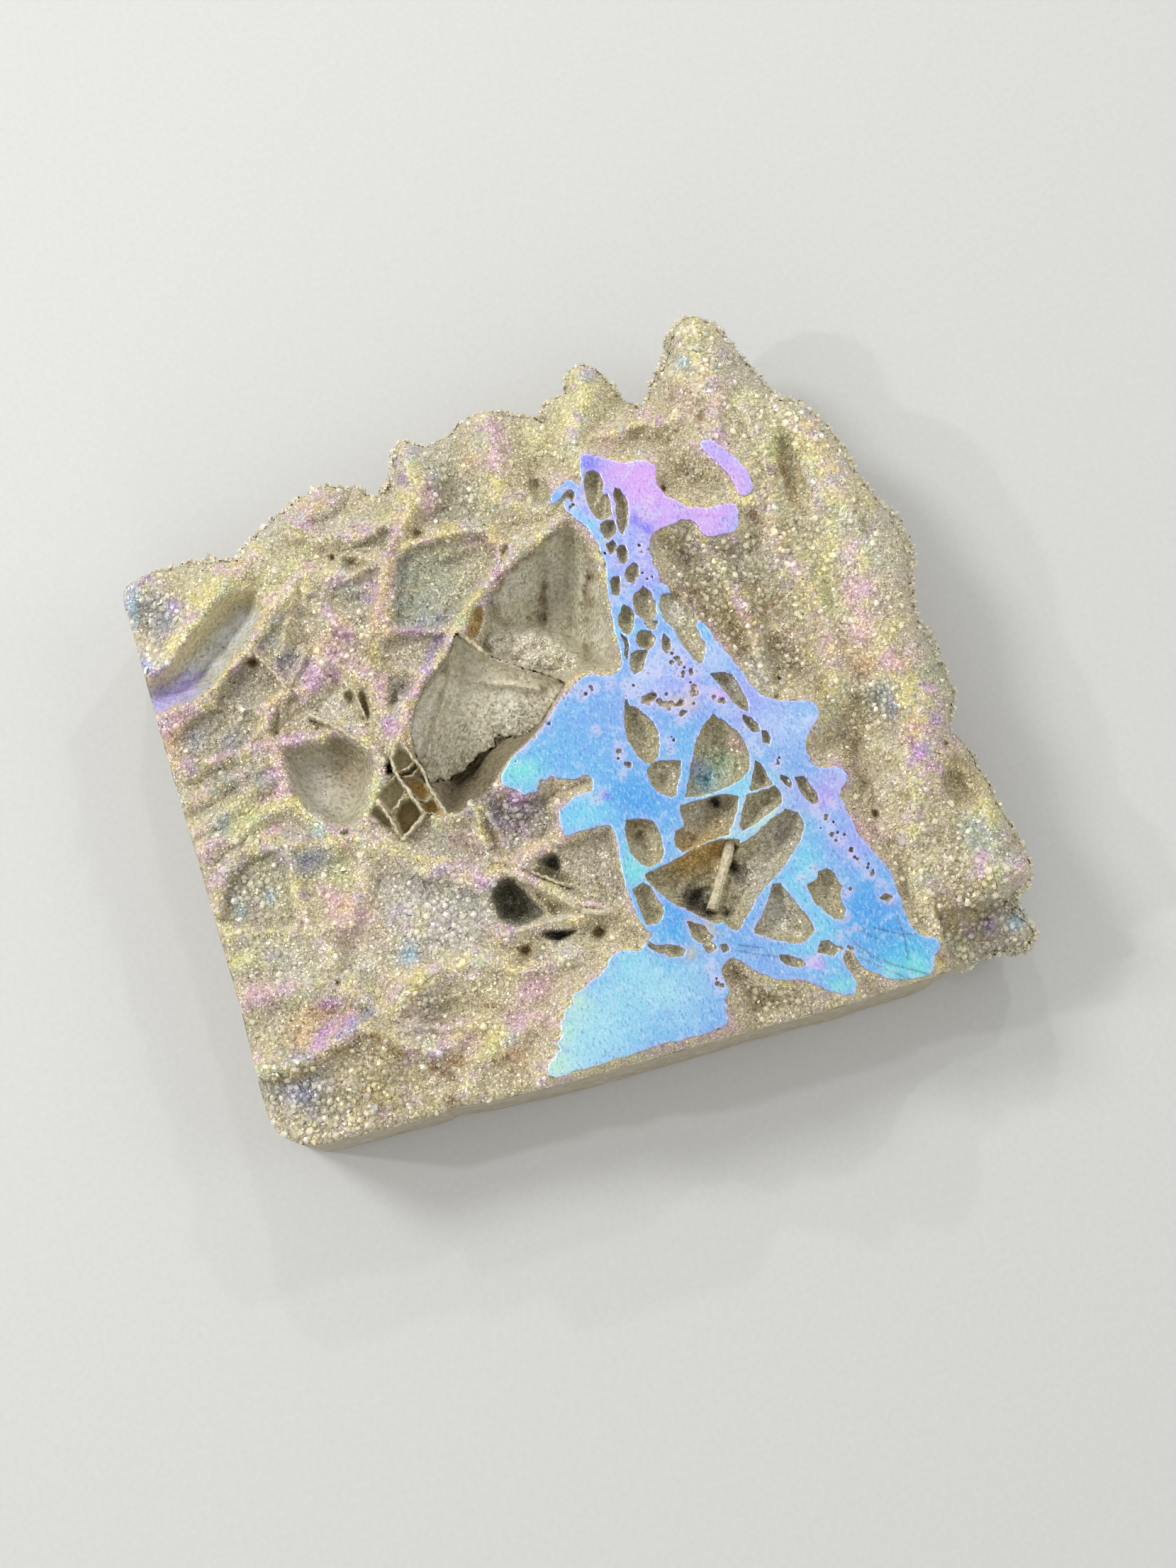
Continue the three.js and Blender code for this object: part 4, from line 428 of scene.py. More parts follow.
# Hollows between the crests: centre, radii, turn in degrees, floor height.
HOLLOWS = [
    (76, 75.8, 4.6, 4.4, 0, 19.4), (71.4, 63.6, 3, 5.4, 0, 18.4), (81.4, 47.6, 3.4, 6.6, 8, 18),
    (90.4, 36.6, 4, 6, 0, 19), (82.8, 34, 2.4, 3, 0, 20.4), (66, 3.6, 3.4, 4, 0, 19),
    (8, 4.4, 10, 4, -8, 18.6), (27, 12.4, 7, 2.8, 0, 18.6), (89.6, 72, 1.8, 9, 0, 19),
    (70.4, 83, 2.6, 2, 0, 20), (99.4, 24, 2.6, 4, 0, 18.8), (75, 54.4, 1.8, 4, 0, 19.2),
    (-1, 75, 4, 4, 0, 18.6),
]

# Flat-floored facets, walled by the crests: floor height, hue, then outline.
FACETS = [
    (19.2, "silver", (12, 67), (13.6, 68.6), (17.4, 71), (16.6, 69), (15.2, 65.6), (13.6, 65.4)),
    (18.8, "pearl", (18.4, 71.6), (20.2, 70.2), (20, 67), (19, 65.2), (17, 64.4), (15.9, 65.2),
     (17.2, 68.2)),
    (18.4, "silver", (15, 65), (16.6, 64.8), (18.4, 64.4), (16.6, 62.6), (15.1, 61), (14.4, 63)),
    (18.2, "ash", (5.6, 62.2), (8, 64.6), (10.8, 66.4), (12.6, 65), (14, 62.4), (14.6, 60.6), (13.4, 59.4),
     (10.4, 58.8), (7, 59), (4.6, 60.4)),
    (17.8, "slate", (-3, 54), (-1.4, 57), (1, 59.2), (4, 60.6), (7, 59.4), (10, 58.6), (10.6, 57),
     (9.6, 54.8), (7.4, 53.4), (2, 53)),
    (16, "umber", (11.2, 54), (11.6, 56.4), (13, 58.6), (14.2, 59.4), (13.4, 57.6), (12.8, 55.4),
     (12.6, 54)),
    (18.4, "flax", (14.6, 59.2), (15.8, 59.8), (17, 58), (16.4, 56.4), (17.2, 54), (19.6, 53.3), (16, 53.1),
     (13.2, 53.3), (13, 55.6), (13.8, 57.8)),
    (17, "umber", (17, 55.9), (18.2, 55.4), (19.6, 53.6), (17.4, 53.4), (16.8, 54.6)),
    (19, "pearl", (17.4, 58.6), (21, 58.4), (22, 57.6), (22.2, 55), (24, 53.6), (24, 52), (22, 51.4),
     (20.4, 53.4), (18.8, 55.6), (17.6, 56.6)),
    (18.2, "lichen", (33.4, 74.4), (36, 75.4), (40, 76), (44, 75.6), (46.6, 74.6), (47.3, 72), (46.4, 69.8),
     (44.6, 67.8), (42.6, 66.2), (40.4, 64.4), (38.6, 63.2), (35, 63.6), (31.4, 64.6), (31.4, 67),
     (32.2, 70), (33, 72.4)),
    (19, "pearl", (24.6, 72.4), (27, 73.2), (29.6, 74.4), (31.2, 74.2), (30.6, 72), (29.6, 69.6),
     (28.2, 66.8), (27, 65.6), (25.4, 67), (24.6, 69.6)),
    (17, "umber", (26.4, 76.6), (28, 76.2), (30.6, 74.8), (28.8, 74), (27, 73.8), (26, 75)),
    (18.6, "sage", (27.4, 77.2), (31, 76.4), (32.6, 75.6), (34.4, 78.2), (33.6, 79.6), (31.6, 79.2),
     (29, 78.2)),
    (17.6, "umber", (36.2, 75.8), (38.4, 76.2), (38.6, 77.4), (37, 78), (36, 77)),
    (19.4, "lichen", (40, 78), (44, 77.4), (47, 77), (48, 80), (47, 83), (43.6, 84), (40.6, 82.6),
     (39.6, 80)),
    (18, "silver", (29.4, 63.8), (32, 64.2), (35, 63.2), (37.6, 62.6), (37, 60.6), (35, 59), (32.4, 58.4),
     (30, 59.8), (29, 61.8)),
    (17.6, "slate", (28.6, 58.4), (31, 58.8), (32.6, 57.6), (31.6, 55.6), (29.6, 54.6), (28, 56)),
    (18.8, "blush", (20.6, 66), (23.6, 66.6), (25.6, 64.8), (26.6, 62), (26.2, 60), (24.4, 60), (22.6, 61.4),
     (20.4, 63.6)),
    (19.4, "sage", (20.4, 72.6), (23.6, 72.4), (24.2, 69.4), (22.4, 67.2), (20.6, 67.4), (19.8, 70)),
    (19, "slate", (45, 30), (52.6, 30.6), (52.4, 21), (48.6, 20.4), (44.6, 27)),
    (15.4, "ash", (38.6, 28.6), (41, 27.8), (44, 29), (45, 26.4), (47, 23.4), (49.4, 20.9), (46.6, 22),
     (43.8, 24.4), (41.2, 26.4)),
    (14.6, "umber", (36.8, 28.2), (38.8, 27.2), (41.2, 25.2), (43.8, 22.6), (46, 20.9), (42, 21),
     (41.4, 22.4), (40.2, 24.2), (38.9, 26.2)),
    (17, "umber", (36, 31), (35.6, 35), (36, 38), (37.2, 37), (38.6, 30.6), (37.6, 30)),
    (18.4, "flax", (40.8, 66.4), (43, 67.6), (45.4, 69.4), (47.2, 71), (47.4, 72.4), (49.4, 72.8),
     (48.6, 70.8), (45.4, 68.6), (42.8, 66.6)),
    (18.6, "plum", (39, 30.6), (44, 31.6), (45.6, 33.4), (45, 37), (42, 37.4), (39.6, 38.4), (37.6, 37.6),
     (38.4, 33)),
    (17.4, "lichen", (-1, 31), (2, 29.8), (6, 28.6), (9, 28.4), (9.3, 32), (9.2, 37), (8, 39.4), (4, 38.6),
     (1.2, 36)),
    (17.6, "silver", (20.4, 32), (24, 31.8), (28, 30), (31.4, 28.2), (33.8, 26), (33.8, 22.4), (31, 20.4),
     (26, 20.2), (21.6, 22), (19.8, 26)),
]
CHANNEL = [  # a smooth channel at the upper left
    (-3.6, 66.4), (-2.5, 66.4), (0, 67.6), (2, 69.2), (4, 71.2), (6, 73), (9, 75), (11, 75.6), (13.6, 75.2),
    (14.4, 73.8), (14.6, 71.8), (12.5, 69), (10, 66.8), (7.5, 64.8), (5, 62.6), (2, 61.2), (-2.2, 60.8),
    (-3.6, 60.8),
]
BOWL = [  # the fine-grained hollow beside the boxes
    (12, 50.5), (12.4, 52.3), (15, 52.4), (18, 52.2), (19.4, 52.7), (21, 52), (22.8, 50.8), (23.8, 49.6),
    (24.1, 48), (24.2, 46.4), (23.2, 44.4), (22.8, 43), (21.4, 41), (20.4, 39.8), (19.4, 39.3), (17.4, 39.8),
    (15.6, 40.6), (14.4, 42), (13.2, 43.4), (12.6, 45.4), (12, 47.6),
]
BOWL_STEP = [  # a curved ledge in the bowl's steep side
    (19.6, 51.8), (20.8, 50.4), (21.2, 48.4), (22.2, 46.6),
]
LOWER_STEP = [  # edge of the lower step at the bottom right
    (91.4, 8.4), (95, 8.2), (98, 8.6), (101, 8.3), (104.6, 9.4),
]
GRAIN_ZONES = [  # width of a point against the common one, radius in mm, then where
    (1.8, 4, (73, 65), (76, 57), (78, 46), (81, 62), (98, 4)), (1.8, 2.6, (-1.4, 70), (1, 75), (-1.6, 77)),
    (1.7, 6, (12, 4), (28, 25), (4, 5)),
    (1.6, 3.6, (0, 75), (44, 80), (41, 35), (22.6, 12.6), (4.6, 34), (92.4, 38)),
    (1.4, 10, (84, 62), (94, 84)),
    (1.5, 6, (97, 5), (80, 92), (78, 46), (94, 15)), (1.3, 5, (67, 3), (23, 65)),
]

# Stained spots, then dark spots of painted shadow in the deepest holes: middle, then radius.
AMBER_SPOTS = [((29, 42.4), 0.6), ((90.5, 2.5), 0.6)]
DARK_SPOTS = [
    ((25.9, 45.8), 0.6), ((61.2, 18.4), 1.4), ((62.4, 16.8), 0.9), ((64.4, 15.6), 0.7), ((28.9, 55.1), 0.6),
    ((67.1, 30.4), 0.6), ((66.8, 21.6), 0.7), ((67.6, 23.4), 0.5),
]

# The cells that open in the sawn back: depth, then mouth, both as they are.
BACK_CELLS = [
    (3, (12, 58), (15, 63), (21, 64), (24.5, 60), (22, 54), (15.5, 53)),
    (4, (64, 21), (67, 25.6), (72, 26), (75, 22), (70.5, 17), (66, 16.6)),
    (2.5, (28, 70), (31, 74), (36, 72.4), (35, 67)),
    (3.5, (72, 31), (75, 37), (80, 38.4), (83, 33), (79, 28.4)),
    (3, (64, 46), (67, 51.4), (71, 50), (72.6, 44), (67.6, 41)),
    (4, (78, 59), (80.4, 64), (86, 63.6), (88.8, 57), (83, 53)),
    (2.5, (13, 26), (16, 32.6), (20.4, 30), (19, 24.6)),
    (2.5, (34, 12), (37, 16.6), (43, 15), (41, 10.4)),
]

# The coat is a film a few hundred nanometres thick, so its hue drifts as its thickness does. Washes: hue,
# radius in mm, then where. The first hue of each set is the ground that the others are laid on.
COAT_HUES = {
    "azure": "#6DB2E6", "deep": "#45A0E6", "cyan": "#7CD0EA", "aqua": "#7CE0D8", "mint": "#BDE9CC",
    "cornflower": "#7DA9E6", "periwinkle": "#9CA6EC", "lilac": "#B09CEA", "orchid": "#D8A4EA",
    "indigo": "#7468E4", "frost": "#A6DDEA", "mist": "#B4CCF0", "turquoise": "#52BCE4", "quartz": "#BDB8A8",
}
COAT_WASHES = [
    ("cornflower", 5, (56, 47), (61, 58), (58, 7), (69, 9)), ("cornflower", 4, (66, 62), (77.6, 34.6)),
    ("mist", 3.4, (78, 39), (65, 49), (84.6, 29.4)),
    ("mist", 2.4, (62, 49.6), (72.6, 50.6), (82.4, 38)),
    ("periwinkle", 4, (67, 46), (76, 43), (67, 66.6)), ("periwinkle", 4, (84.5, 21), (61, 74)),
    ("periwinkle", 2, (62.4, 66.4), (66.4, 63)),
    ("cyan", 4.5, (49, 33), (76, 18), (70, 31.6), (50, 12.4), (76, 11)), ("aqua", 3.4, (42, 40.6), (54, 25)),
    ("frost", 6, (44, 5), (54, 9), (38, 3)),
    ("mint", 2, (37.4, 2.6), (39.4, 6.4), (41.6, 9.4)),
    ("turquoise", 3, (85.4, 4.4), (56.6, 14.6), (88, 3)),
    ("aqua", 1.6, (84, 1.8), (87.6, 1.6), (76.6, 3)),
    ("deep", 4.5, (83.5, 11), (57.4, 34), (57, 17)), ("mint", 3.6, (66, 25.4), (74, 27.3)),
    ("mint", 1.4, (66, 31.8)),
    ("lilac", 3.6, (81.5, 28.4), (71, 68), (65, 79.6)),
    ("orchid", 6, (71, 75), (81, 75), (77, 69), (69, 79)),
    ("cyan", 1, (61.2, 69.8), (60.2, 72.4), (59, 74.4), (60.4, 58.6), (61, 60), (66.8, 57.2), (72, 54),
     (61.4, 56)),
    ("quartz", 0.7, (60.9, 78), (60.9, 80.2), (61.3, 76.2), (61.6, 74.5), (62, 72.6), (64.3, 73.4),
     (64.3, 71.6), (61.6, 69.2), (63.4, 64.6)), ("indigo", 1.8, (62, 82)),
    ("indigo", 0.8, (66.6, 71), (67.4, 69.4), (52.6, 35)), ("orchid", 1, (74.4, 7), (70.6, 44.4)),
    ("quartz", 1.1, (60.4, 15.6), (62.6, 14.6), (59.6, 11.6), (66, 44.6)),
]
DRUSE_HUES = {
    "flax": "#CEC3A4", "straw": "#DCD7A8", "citron": "#CCCF94", "lichen": "#B8B79D", "sage": "#A6AA98",
    "teal": "#9FB1AC", "slate": "#A0A09C", "steel": "#9097AC", "ice": "#A2CBE0", "ash": "#A09B8B",
    "umber": "#A3946F", "rust": "#8A6238", "peach": "#DABC94", "blush": "#D0B7AE", "rose": "#DDB6C4",
    "orchid": "#CFA6D2", "violet": "#A88CD0", "plum": "#787080", "pearl": "#D0CCBA", "silver": "#C4C1BA",
    "gold": "#E2D688", "azure": "#8FA6EA", "honey": "#D9BD80", "bark": "#8A7452", "magenta": "#D287D6",
}
DRUSE_WASHES = [
    ("lichen", 5, (84, 60), (5, 24), (101, 40)),
    ("lichen", 3, (39.6, 67.6), (44, 86), (86.4, 38), (94, 64)), ("pearl", 5, (82, 93), (88, 86), (96, 60)),
    ("pearl", 3, (26, 82), (18, 82), (20, 57), (40, 88), (8, 22), (43, 18), (16, 21)),
    ("straw", 5, (64, 90), (93, 71)),
    ("straw", 2.6, (9, 76.6), (17.4, 75), (90, 60), (86, 84), (56, 85), (31, 7), (12.6, 33)),
    ("straw", 1.2, (6, 63.4), (9.6, 67.4), (90.3, 15), (4, 41)),
    ("citron", 2.6, (6, 44), (14.6, 35), (88.4, 54.6), (88, 78)),
    ("citron", 1.3, (22.4, 78), (33.4, 80.8), (10, 43.4), (16.8, 16.4), (90.4, 20.6), (1, 25.4), (24, 23.6)),
    ("gold", 0.9, (97, 39.6), (96.2, 38), (41, 31.4), (12.6, 44.4), (32, 70.8)),
    ("sage", 4.6, (37.6, 70.4), (31, 34.6)),
    ("teal", 2.2, (34, 67), (33.6, 72.6), (92, 39), (1.4, 44)), ("teal", 3.4, (101, 16.6)),
    ("umber", 2.4, (101.4, 25)), ("silver", 5, (25, 27), (31.4, 25)), ("silver", 3, (28, 21), (78, 45.4)),
    ("ash", 4.4, (4, 34.4), (6, 4), (43.6, 80.6)),
    ("ash", 3, (4, 50), (8.8, 61.4), (23, 12.6), (99.6, 4)), ("ash", 5, (76, 62), (96, 5)),
    ("umber", 5, (78, 56), (15, 4)),
    ("slate", 2, (14, 67.4), (26.8, 70.6), (10, 49.6), (3, 57), (43, 36.4)),
    ("steel", 3, (0, 75), (4.6, 7.6), (12, 37.6)),
    ("steel", 1.5, (15.8, 63.6), (6.6, 54.4), (1, 56), (36, 64.6), (14.6, 14.8), (92.8, 36), (8.4, 73)),
    ("ice", 1.1, (-2.4, 69), (-2.6, 77.4), (2, 32.2), (7.6, 32.4), (15, 41), (22.6, 21.2), (80.6, 92),
     (65, 93.4), (102, 4.6)),
    ("violet", 1, (2.6, 75.4), (28.4, 69.2), (36.8, 61.4), (34.6, 58.6), (38.2, 86.6), (44.4, 66.4),
     (98.2, 5.4), (9.6, 12.8)), ("violet", 1.8, (95.6, 29.4), (97.6, 32.6)),
    ("plum", 2.6, (41, 35), (38, 36)), ("plum", 1.2, (30.4, 56.8), (6, 12.2)),
    ("umber", 2, (83.4, 47), (85, 43), (75.4, 52.6), (99, 28), (88, 36.6), (23, 81), (67, 3.6), (61.6, 7),
     (93.6, 11), (97, 9.4)),
    ("umber", 1.2, (26.4, 66.6), (38, 15), (37.6, 17.4), (48, 17.2), (71.4, 75), (87, 75), (36.6, 34.6),
     (36.6, 30)),
    ("peach", 1.8, (7, 15), (15.4, 29.4), (-1.6, 56.8), (36.8, 80), (47.4, 86), (95.6, 33), (32, 4),
     (91, 45)),
    ("peach", 0.9, (31.8, 73.4), (17.4, 71.8), (13.6, 70.4), (23.4, 17), (46.6, 73), (97, 42.6)),
    ("blush", 2.6, (17.4, 27), (27, 8.6), (36.4, 8), (21, 16.4), (78.4, 87.4), (33.6, 34.4), (86, 21.6),
     (66, 84.6), (22, 63)),
    ("rose", 1.8, (93, 49), (94, 54), (95, 44), (50.6, 85), (3, 20.6), (13.4, 31.2), (38, 12.6),
     (-1.6, 59.8), (40.8, 82.6)),
    ("rose", 1.1, (11, 46.2), (11.4, 50.6), (9, 41.4), (16.6, 72.8), (27.4, 57), (17, 37.6), (29.4, 67.4),
     (44.6, 75), (21.6, 75.4)),
    ("orchid", 1.2, (9.8, 13.4), (12.6, 14), (9.6, 17.2), (14.4, 53.8), (27.4, 51.6), (30.2, 71.4),
     (34.2, 77.8), (21.6, 61.6)),
    ("orchid", 1.1, (99.6, 38), (95, 59.4), (92.6, 23.4), (40.4, 32.6), (41.6, 36.4), (24, 65.4), (18, 61.4),
     (32.4, 56.8), (100, 13)),
]
# The near-black hue is painted shade, laid in the deepest holes, slits and cells.
CELL_HUES = {
    "olive": "#CCC3A2", "amber": "#C9A45A", "teal": "#88BCCC", "moss": "#A2B892", "slate": "#98A2C0",
    "stone": "#CFCABB", "cream": "#D8CEAE", "dusk": "#A8966A", "honey": "#DCC084", "coal": "#4E4A40",
    "rosy": "#CDB0A2", "bark": "#BCA87E", "soot": "#8F8B78",
}
CELL_WASHES = [
    ("stone", 3, (48, 27.6), (74.4, 24), (70, 19), (71, 14), (63.4, 29)),
    ("stone", 2, (68.6, 57.4), (73.4, 45), (52, 24)), ("teal", 2.2, (66.8, 33.8)),
    ("moss", 1.8, (69.4, 35.6)), ("slate", 1.4, (65.4, 35.6)), ("rosy", 1.5, (72.4, 37.4)),
    ("amber", 2.8, (61.6, 23.8), (65, 24.6)),
    # The near-black washes are painted shade deep in the cells.
    ("dusk", 1.4, (27, 39.4), (36.8, 25.6), (56, 30), (66, 28.6)), ("coal", 2.2, (37.6, 23.6), (61, 18.2)),
    ("coal", 1.2, (44, 28), (42, 18.6), (67.2, 30.4), (67.4, 21), (62.4, 16.6), (45.4, 22)),
    ("cream", 1.6, (25.2, 42.6), (28, 47.4), (23, 40.4)), ("honey", 1.1, (29.2, 42.2), (41.8, 63)),
    ("amber", 0.9, (30.3, 39.2), (27.8, 44.8)),
]
WALL_HUES = {
    "putty": "#B1AB90", "moss": "#C0C0AE", "cream": "#D2CEBA", "umber": "#857B60", "azure": "#6C86EC",
    "mist": "#CED1D4", "sand": "#D2C496", "dust": "#BCB8AE", "lilac": "#B9AEEA", "shade": "#877A5A",
    "tan": "#A8967A", "gap_shade": "#7C7158",
}
WALL_WASHES = [
    ("moss", 3.4, (47.6, 66), (53, 66), (44, 50)), ("cream", 3, (46, 58.4), (51, 57)),
    ("cream", 2.4, (57.6, 56), (58.4, 64)),
    # The umber washes along the gap are painted shade under the plate's free edge.
    ("umber", 2.6, (33, 39.6), (35.6, 40.6), (38.4, 42), (41, 44.2), (45, 46)), ("tan", 2.2, (43.4, 55)),
    ("tan", 1.8, (39.4, 57.4), (44.6, 54.6), (47.6, 53)),
    ("shade", 0.8, (50.9, 61.4), (51.6, 64), (57.2, 61.6), (58.4, 64.6), (59.4, 66.6), (55.8, 55),
     (55.4, 53.6), (51, 50)),
    ("shade", 0.7, (46.6, 67.8), (48.8, 69.4), (51, 70.8), (53.4, 71.8), (55.8, 72.6), (44.8, 64.4),
     (57.6, 73)),
    ("sand", 2.4, (0, 67), (2.4, 69), (5, 71), (8, 73.2), (11, 74.6), (13.4, 74)),
    ("mist", 2, (9.2, 68.8), (12, 71), (6, 66.4), (3.4, 65.4)),
    ("lilac", 1.6, (0, 63.4), (2.4, 64), (-2, 62.6)),
    ("mist", 1.4, (33, 53), (30.4, 50), (31.6, 47)), ("dust", 5, (15, 46)), ("tan", 2, (20.6, 47)),
    # Painted shade on the bowl's deepest side, under its curved step.
    ("umber", 1.3, (19.4, 51.4), (22.6, 49.6), (23.2, 47.6), (21, 50.4)),
]
# Some of these lines are painted shade: the bark lines along the chamber's upper rim and in its slots, and the
# dark lines under the lower-left step.
STREAKS = [  # hue, width, then the course of each stained or brightly coated line
    # Painted shade along the chamber's upper rim and in its dark slots.
    ("bark", 0.45, (44.4, 65.2), (46.4, 67.6), (49, 69.4), (52, 70.9), (55, 72.2), (57.6, 73.2)),
    ("bark", 0.4, (51, 61), (51.6, 63.4), (52.3, 66)),
    ("bark", 0.45, (57, 61), (57.8, 63), (58.8, 65.6)), ("bark", 0.3, (58.8, 65.6), (59.2, 69)),
    ("pearl", 0.8, (53.6, 61), (54.4, 66), (55.4, 71)),
    # Painted shadow under the lower-left step's edge; the rust lines also carry the crack's own brown.
    ("bark", 0.5, (-0.6, 9.4), (5, 9.2), (9, 10.4), (13.6, 12), (15.8, 10.4)),
    ("bark", 0.6, (19.4, 8.2), (23, 6.4)),
    ("rust", 1.0, (15, 11.4), (18, 8.6), (22, 6.4), (24, 3.4), (23.4, 0)),
    ("rust", 0.5, (22.4, 6), (26.4, 5.4)),
    ("umber", 0.7, (0, 9.6), (5, 9), (9, 10.2), (13, 11), (14.6, 11.6)),
    ("rust", 0.5, (69.2, 61), (70.2, 59.6), (72.4, 59.6)),
    ("rust", 0.45, (88.6, 76), (88.2, 71), (88.6, 68)), ("umber", 0.5, (86, 66), (85.4, 61)),
    ("rust", 0.6, (97.2, 67), (97, 65)), ("umber", 0.7, (97.6, 63.6), (96.8, 62)),
    ("rust", 0.5, (80, 86.6), (79.6, 84), (78.9, 82.4)), ("rust", 0.4, (83.6, 55.8), (80.4, 54.8)),
    ("rust", 0.35, (81, 50.4), (84.8, 51.2)),
    ("umber", 0.6, (80.2, 50), (80.2, 46), (79, 42.6)),
    ("umber", 0.9, (85.4, 31), (87.6, 35), (89.6, 40)), ("umber", 1.1, (88.5, 19.4), (88.4, 12)),
    ("rust", 0.5, (82.6, 68.6), (83.6, 66.6)), ("rust", 0.4, (90.8, 42.6), (91, 42)),
    ("rust", 0.4, (96.2, 3.8), (96.8, 3.4)), ("rust", 0.35, (97.4, 6.6), (97.8, 6)),
    ("rust", 0.7, (30.6, 11.6), (33.4, 10)), ("rust", 0.7, (30.4, 4.6), (33.6, 3.4)),
    ("umber", 0.6, (71, 75.6), (72, 74.4)), ("rust", 0.6, (10.8, 65.4), (11.8, 64.8)),
    ("umber", 0.6, (92.2, 25.6), (91.4, 23.4)), ("rust", 0.5, (23, 12), (24.4, 11.2)),
    ("bark", 1.4, (70.6, 61), (71.6, 57.4), (74.6, 53.4), (76, 50)),
    ("bark", 1, (87.6, 34.6), (86.4, 30.6), (87.6, 26)), ("bark", 0.9, (82, 46), (84.4, 44.4)),
    ("bark", 0.7, (63.6, 8.4), (65, 5), (68, 3)),
    ("violet", 0.5, (-2.6, 78.8), (-1, 80.1), (0.6, 80.4)), ("gold", 0.9, (6, 75.2), (9, 77), (12, 77.6)),
    ("citron", 1, (15, 76), (19.6, 77)), ("azure", 0.7, (-3, 70), (-2.4, 67.6)),
    ("ice", 0.6, (-3, 74), (-3, 78)),
    ("azure", 0.5, (0.8, 62), (2.6, 62.5), (4.4, 63.4)), ("violet", 0.5, (0, 63.4), (2, 64.2), (4, 65)),
    ("peach", 0.5, (12.6, 69.2), (14.6, 70.8)), ("rose", 0.7, (15.4, 71.8), (17.2, 73)),
    ("gold", 0.5, (2, 61.4), (6, 63.4), (10, 66.6)),
    ("blush", 0.4, (12, 66.6), (13.4, 63.8), (15, 60.4)),
    ("blush", 0.45, (15, 60.2), (17, 62.4), (18.8, 64.8)),
    ("orchid", 1.1, (17, 58.8), (19.6, 61), (21.6, 62.6)),
    ("orchid", 0.8, (22.6, 69.4), (24, 67), (25, 65)),
    ("gold", 0.4, (9, 53.8), (11.4, 57.8), (14.8, 60)),
    ("peach", 0.8, (-2, 54.6), (-1.4, 57), (0.4, 58.8)), ("rose", 0.8, (-2.2, 59.4), (1.2, 60.4)),
    ("orchid", 0.8, (13.6, 53.6), (15.4, 52.9)),
    ("honey", 0.8, (28.6, 66.6), (30.6, 70), (31.8, 72.4), (32.8, 74.4)),
    ("rose", 0.5, (28.2, 68), (29.8, 71), (31, 73.4)), ("honey", 0.6, (19.6, 64), (22, 66)),
    ("orchid", 0.6, (33, 75.8), (34.6, 78.2), (35.6, 79.8)), ("gold", 1, (35.6, 80.4), (39, 81.8)),
    ("gold", 0.6, (34.4, 75.8), (38, 76.4), (42, 76.6)), ("rose", 0.7, (39.4, 82.6), (40.6, 83.8)),
    ("steel", 0.9, (33, 64.9), (36, 64.6), (39, 65)),
    ("violet", 0.7, (33.6, 58.4), (35.2, 60.2), (37, 62)),
    ("gold", 0.5, (47.4, 75.6), (47.9, 73), (47.6, 71.4)),
    ("rose", 0.5, (45.4, 75.4), (46.6, 73), (46.6, 71)),
    ("rose", 0.7, (51.2, 90), (51.2, 87), (49.6, 84.6)),
    ("rose", 0.8, (22.4, 64), (24.2, 62), (26.4, 60)), ("rose", 0.6, (27, 58.2), (27.5, 56.4)),
    ("orchid", 0.7, (27.2, 52.6), (27.9, 50.6)),
    ("gold", 0.6, (26.8, 66), (28, 63.6), (27.2, 60)), ("gold", 0.5, (10.4, 55.6), (11.4, 57.4)),
    ("rose", 0.5, (7.6, 45.6), (11, 46.8), (12, 48)),
    ("gold", 0.8, (4, 43.6), (9, 44.4), (12.6, 44.2)), ("rose", 0.6, (7, 41.2), (11, 42)),
    ("gold", 0.7, (8, 40.4), (13, 38.4), (18, 38)),
    ("gold", 0.6, (22, 36.2), (25, 34), (29, 31.8)), ("gold", 1, (-0.6, 26), (3, 25.4)),
    ("rose", 0.7, (1, 20.8), (5, 20.8), (9, 20.2)),
    ("peach", 1, (6.4, 12.6), (8.6, 15), (10, 16.4)),
    ("magenta", 0.9, (8.4, 12.4), (10.6, 14), (13, 15.4)), ("magenta", 0.6, (9.6, 17), (12.6, 17)),
    ("gold", 0.8, (13.6, 15.4), (17, 16.4)), ("azure", 0.5, (11.4, 12.6), (13, 13.8)),
    ("steel", 0.7, (13, 13.4), (16, 15)), ("rose", 0.8, (33, 9.4), (37, 8.4), (39.4, 7)),
    ("rose", 0.8, (36, 12.4), (40, 13.2)), ("rose", 0.8, (14, 28.4), (18, 27)),
    ("gold", 0.9, (28.6, 6.6), (32, 7.4)),
    ("rose", 0.7, (92.4, 56), (93, 52), (94.4, 47)),
    ("gold", 0.8, (95.4, 41.4), (96.6, 39), (96.6, 36)),
    ("magenta", 0.6, (94.6, 32.4), (95.8, 29), (97, 27)), ("magenta", 0.5, (96, 34), (98, 33)),
    ("gold", 0.9, (86.6, 55), (90, 57), (92, 62)), ("gold", 0.9, (92.6, 74), (93.6, 70)),
    ("citron", 0.9, (86.6, 79.6), (88.4, 76)), ("gold", 0.8, (89.6, 21), (91.4, 20)),
]
GLITTER = [  # hues that single points stray to
    "#EDE6B0", "#F4EFDC", "#E8CCD8", "#CFC8EA", "#BBD8E0", "#CDD2B4", "#ECE0C0", "#F2F0E6", "#D8C4A0",
    "#F0EFE2",
]


def linear(hexcode):
    """An sRGB hex colour as linear RGBA."""
    parts = [int(hexcode[i : i + 2], 16) / 255 for i in (1, 3, 5)]
    return (*(c / 12.92 if c <= 0.04045 else ((c + 0.055) / 1.055) ** 2.4 for c in parts), 1.0)


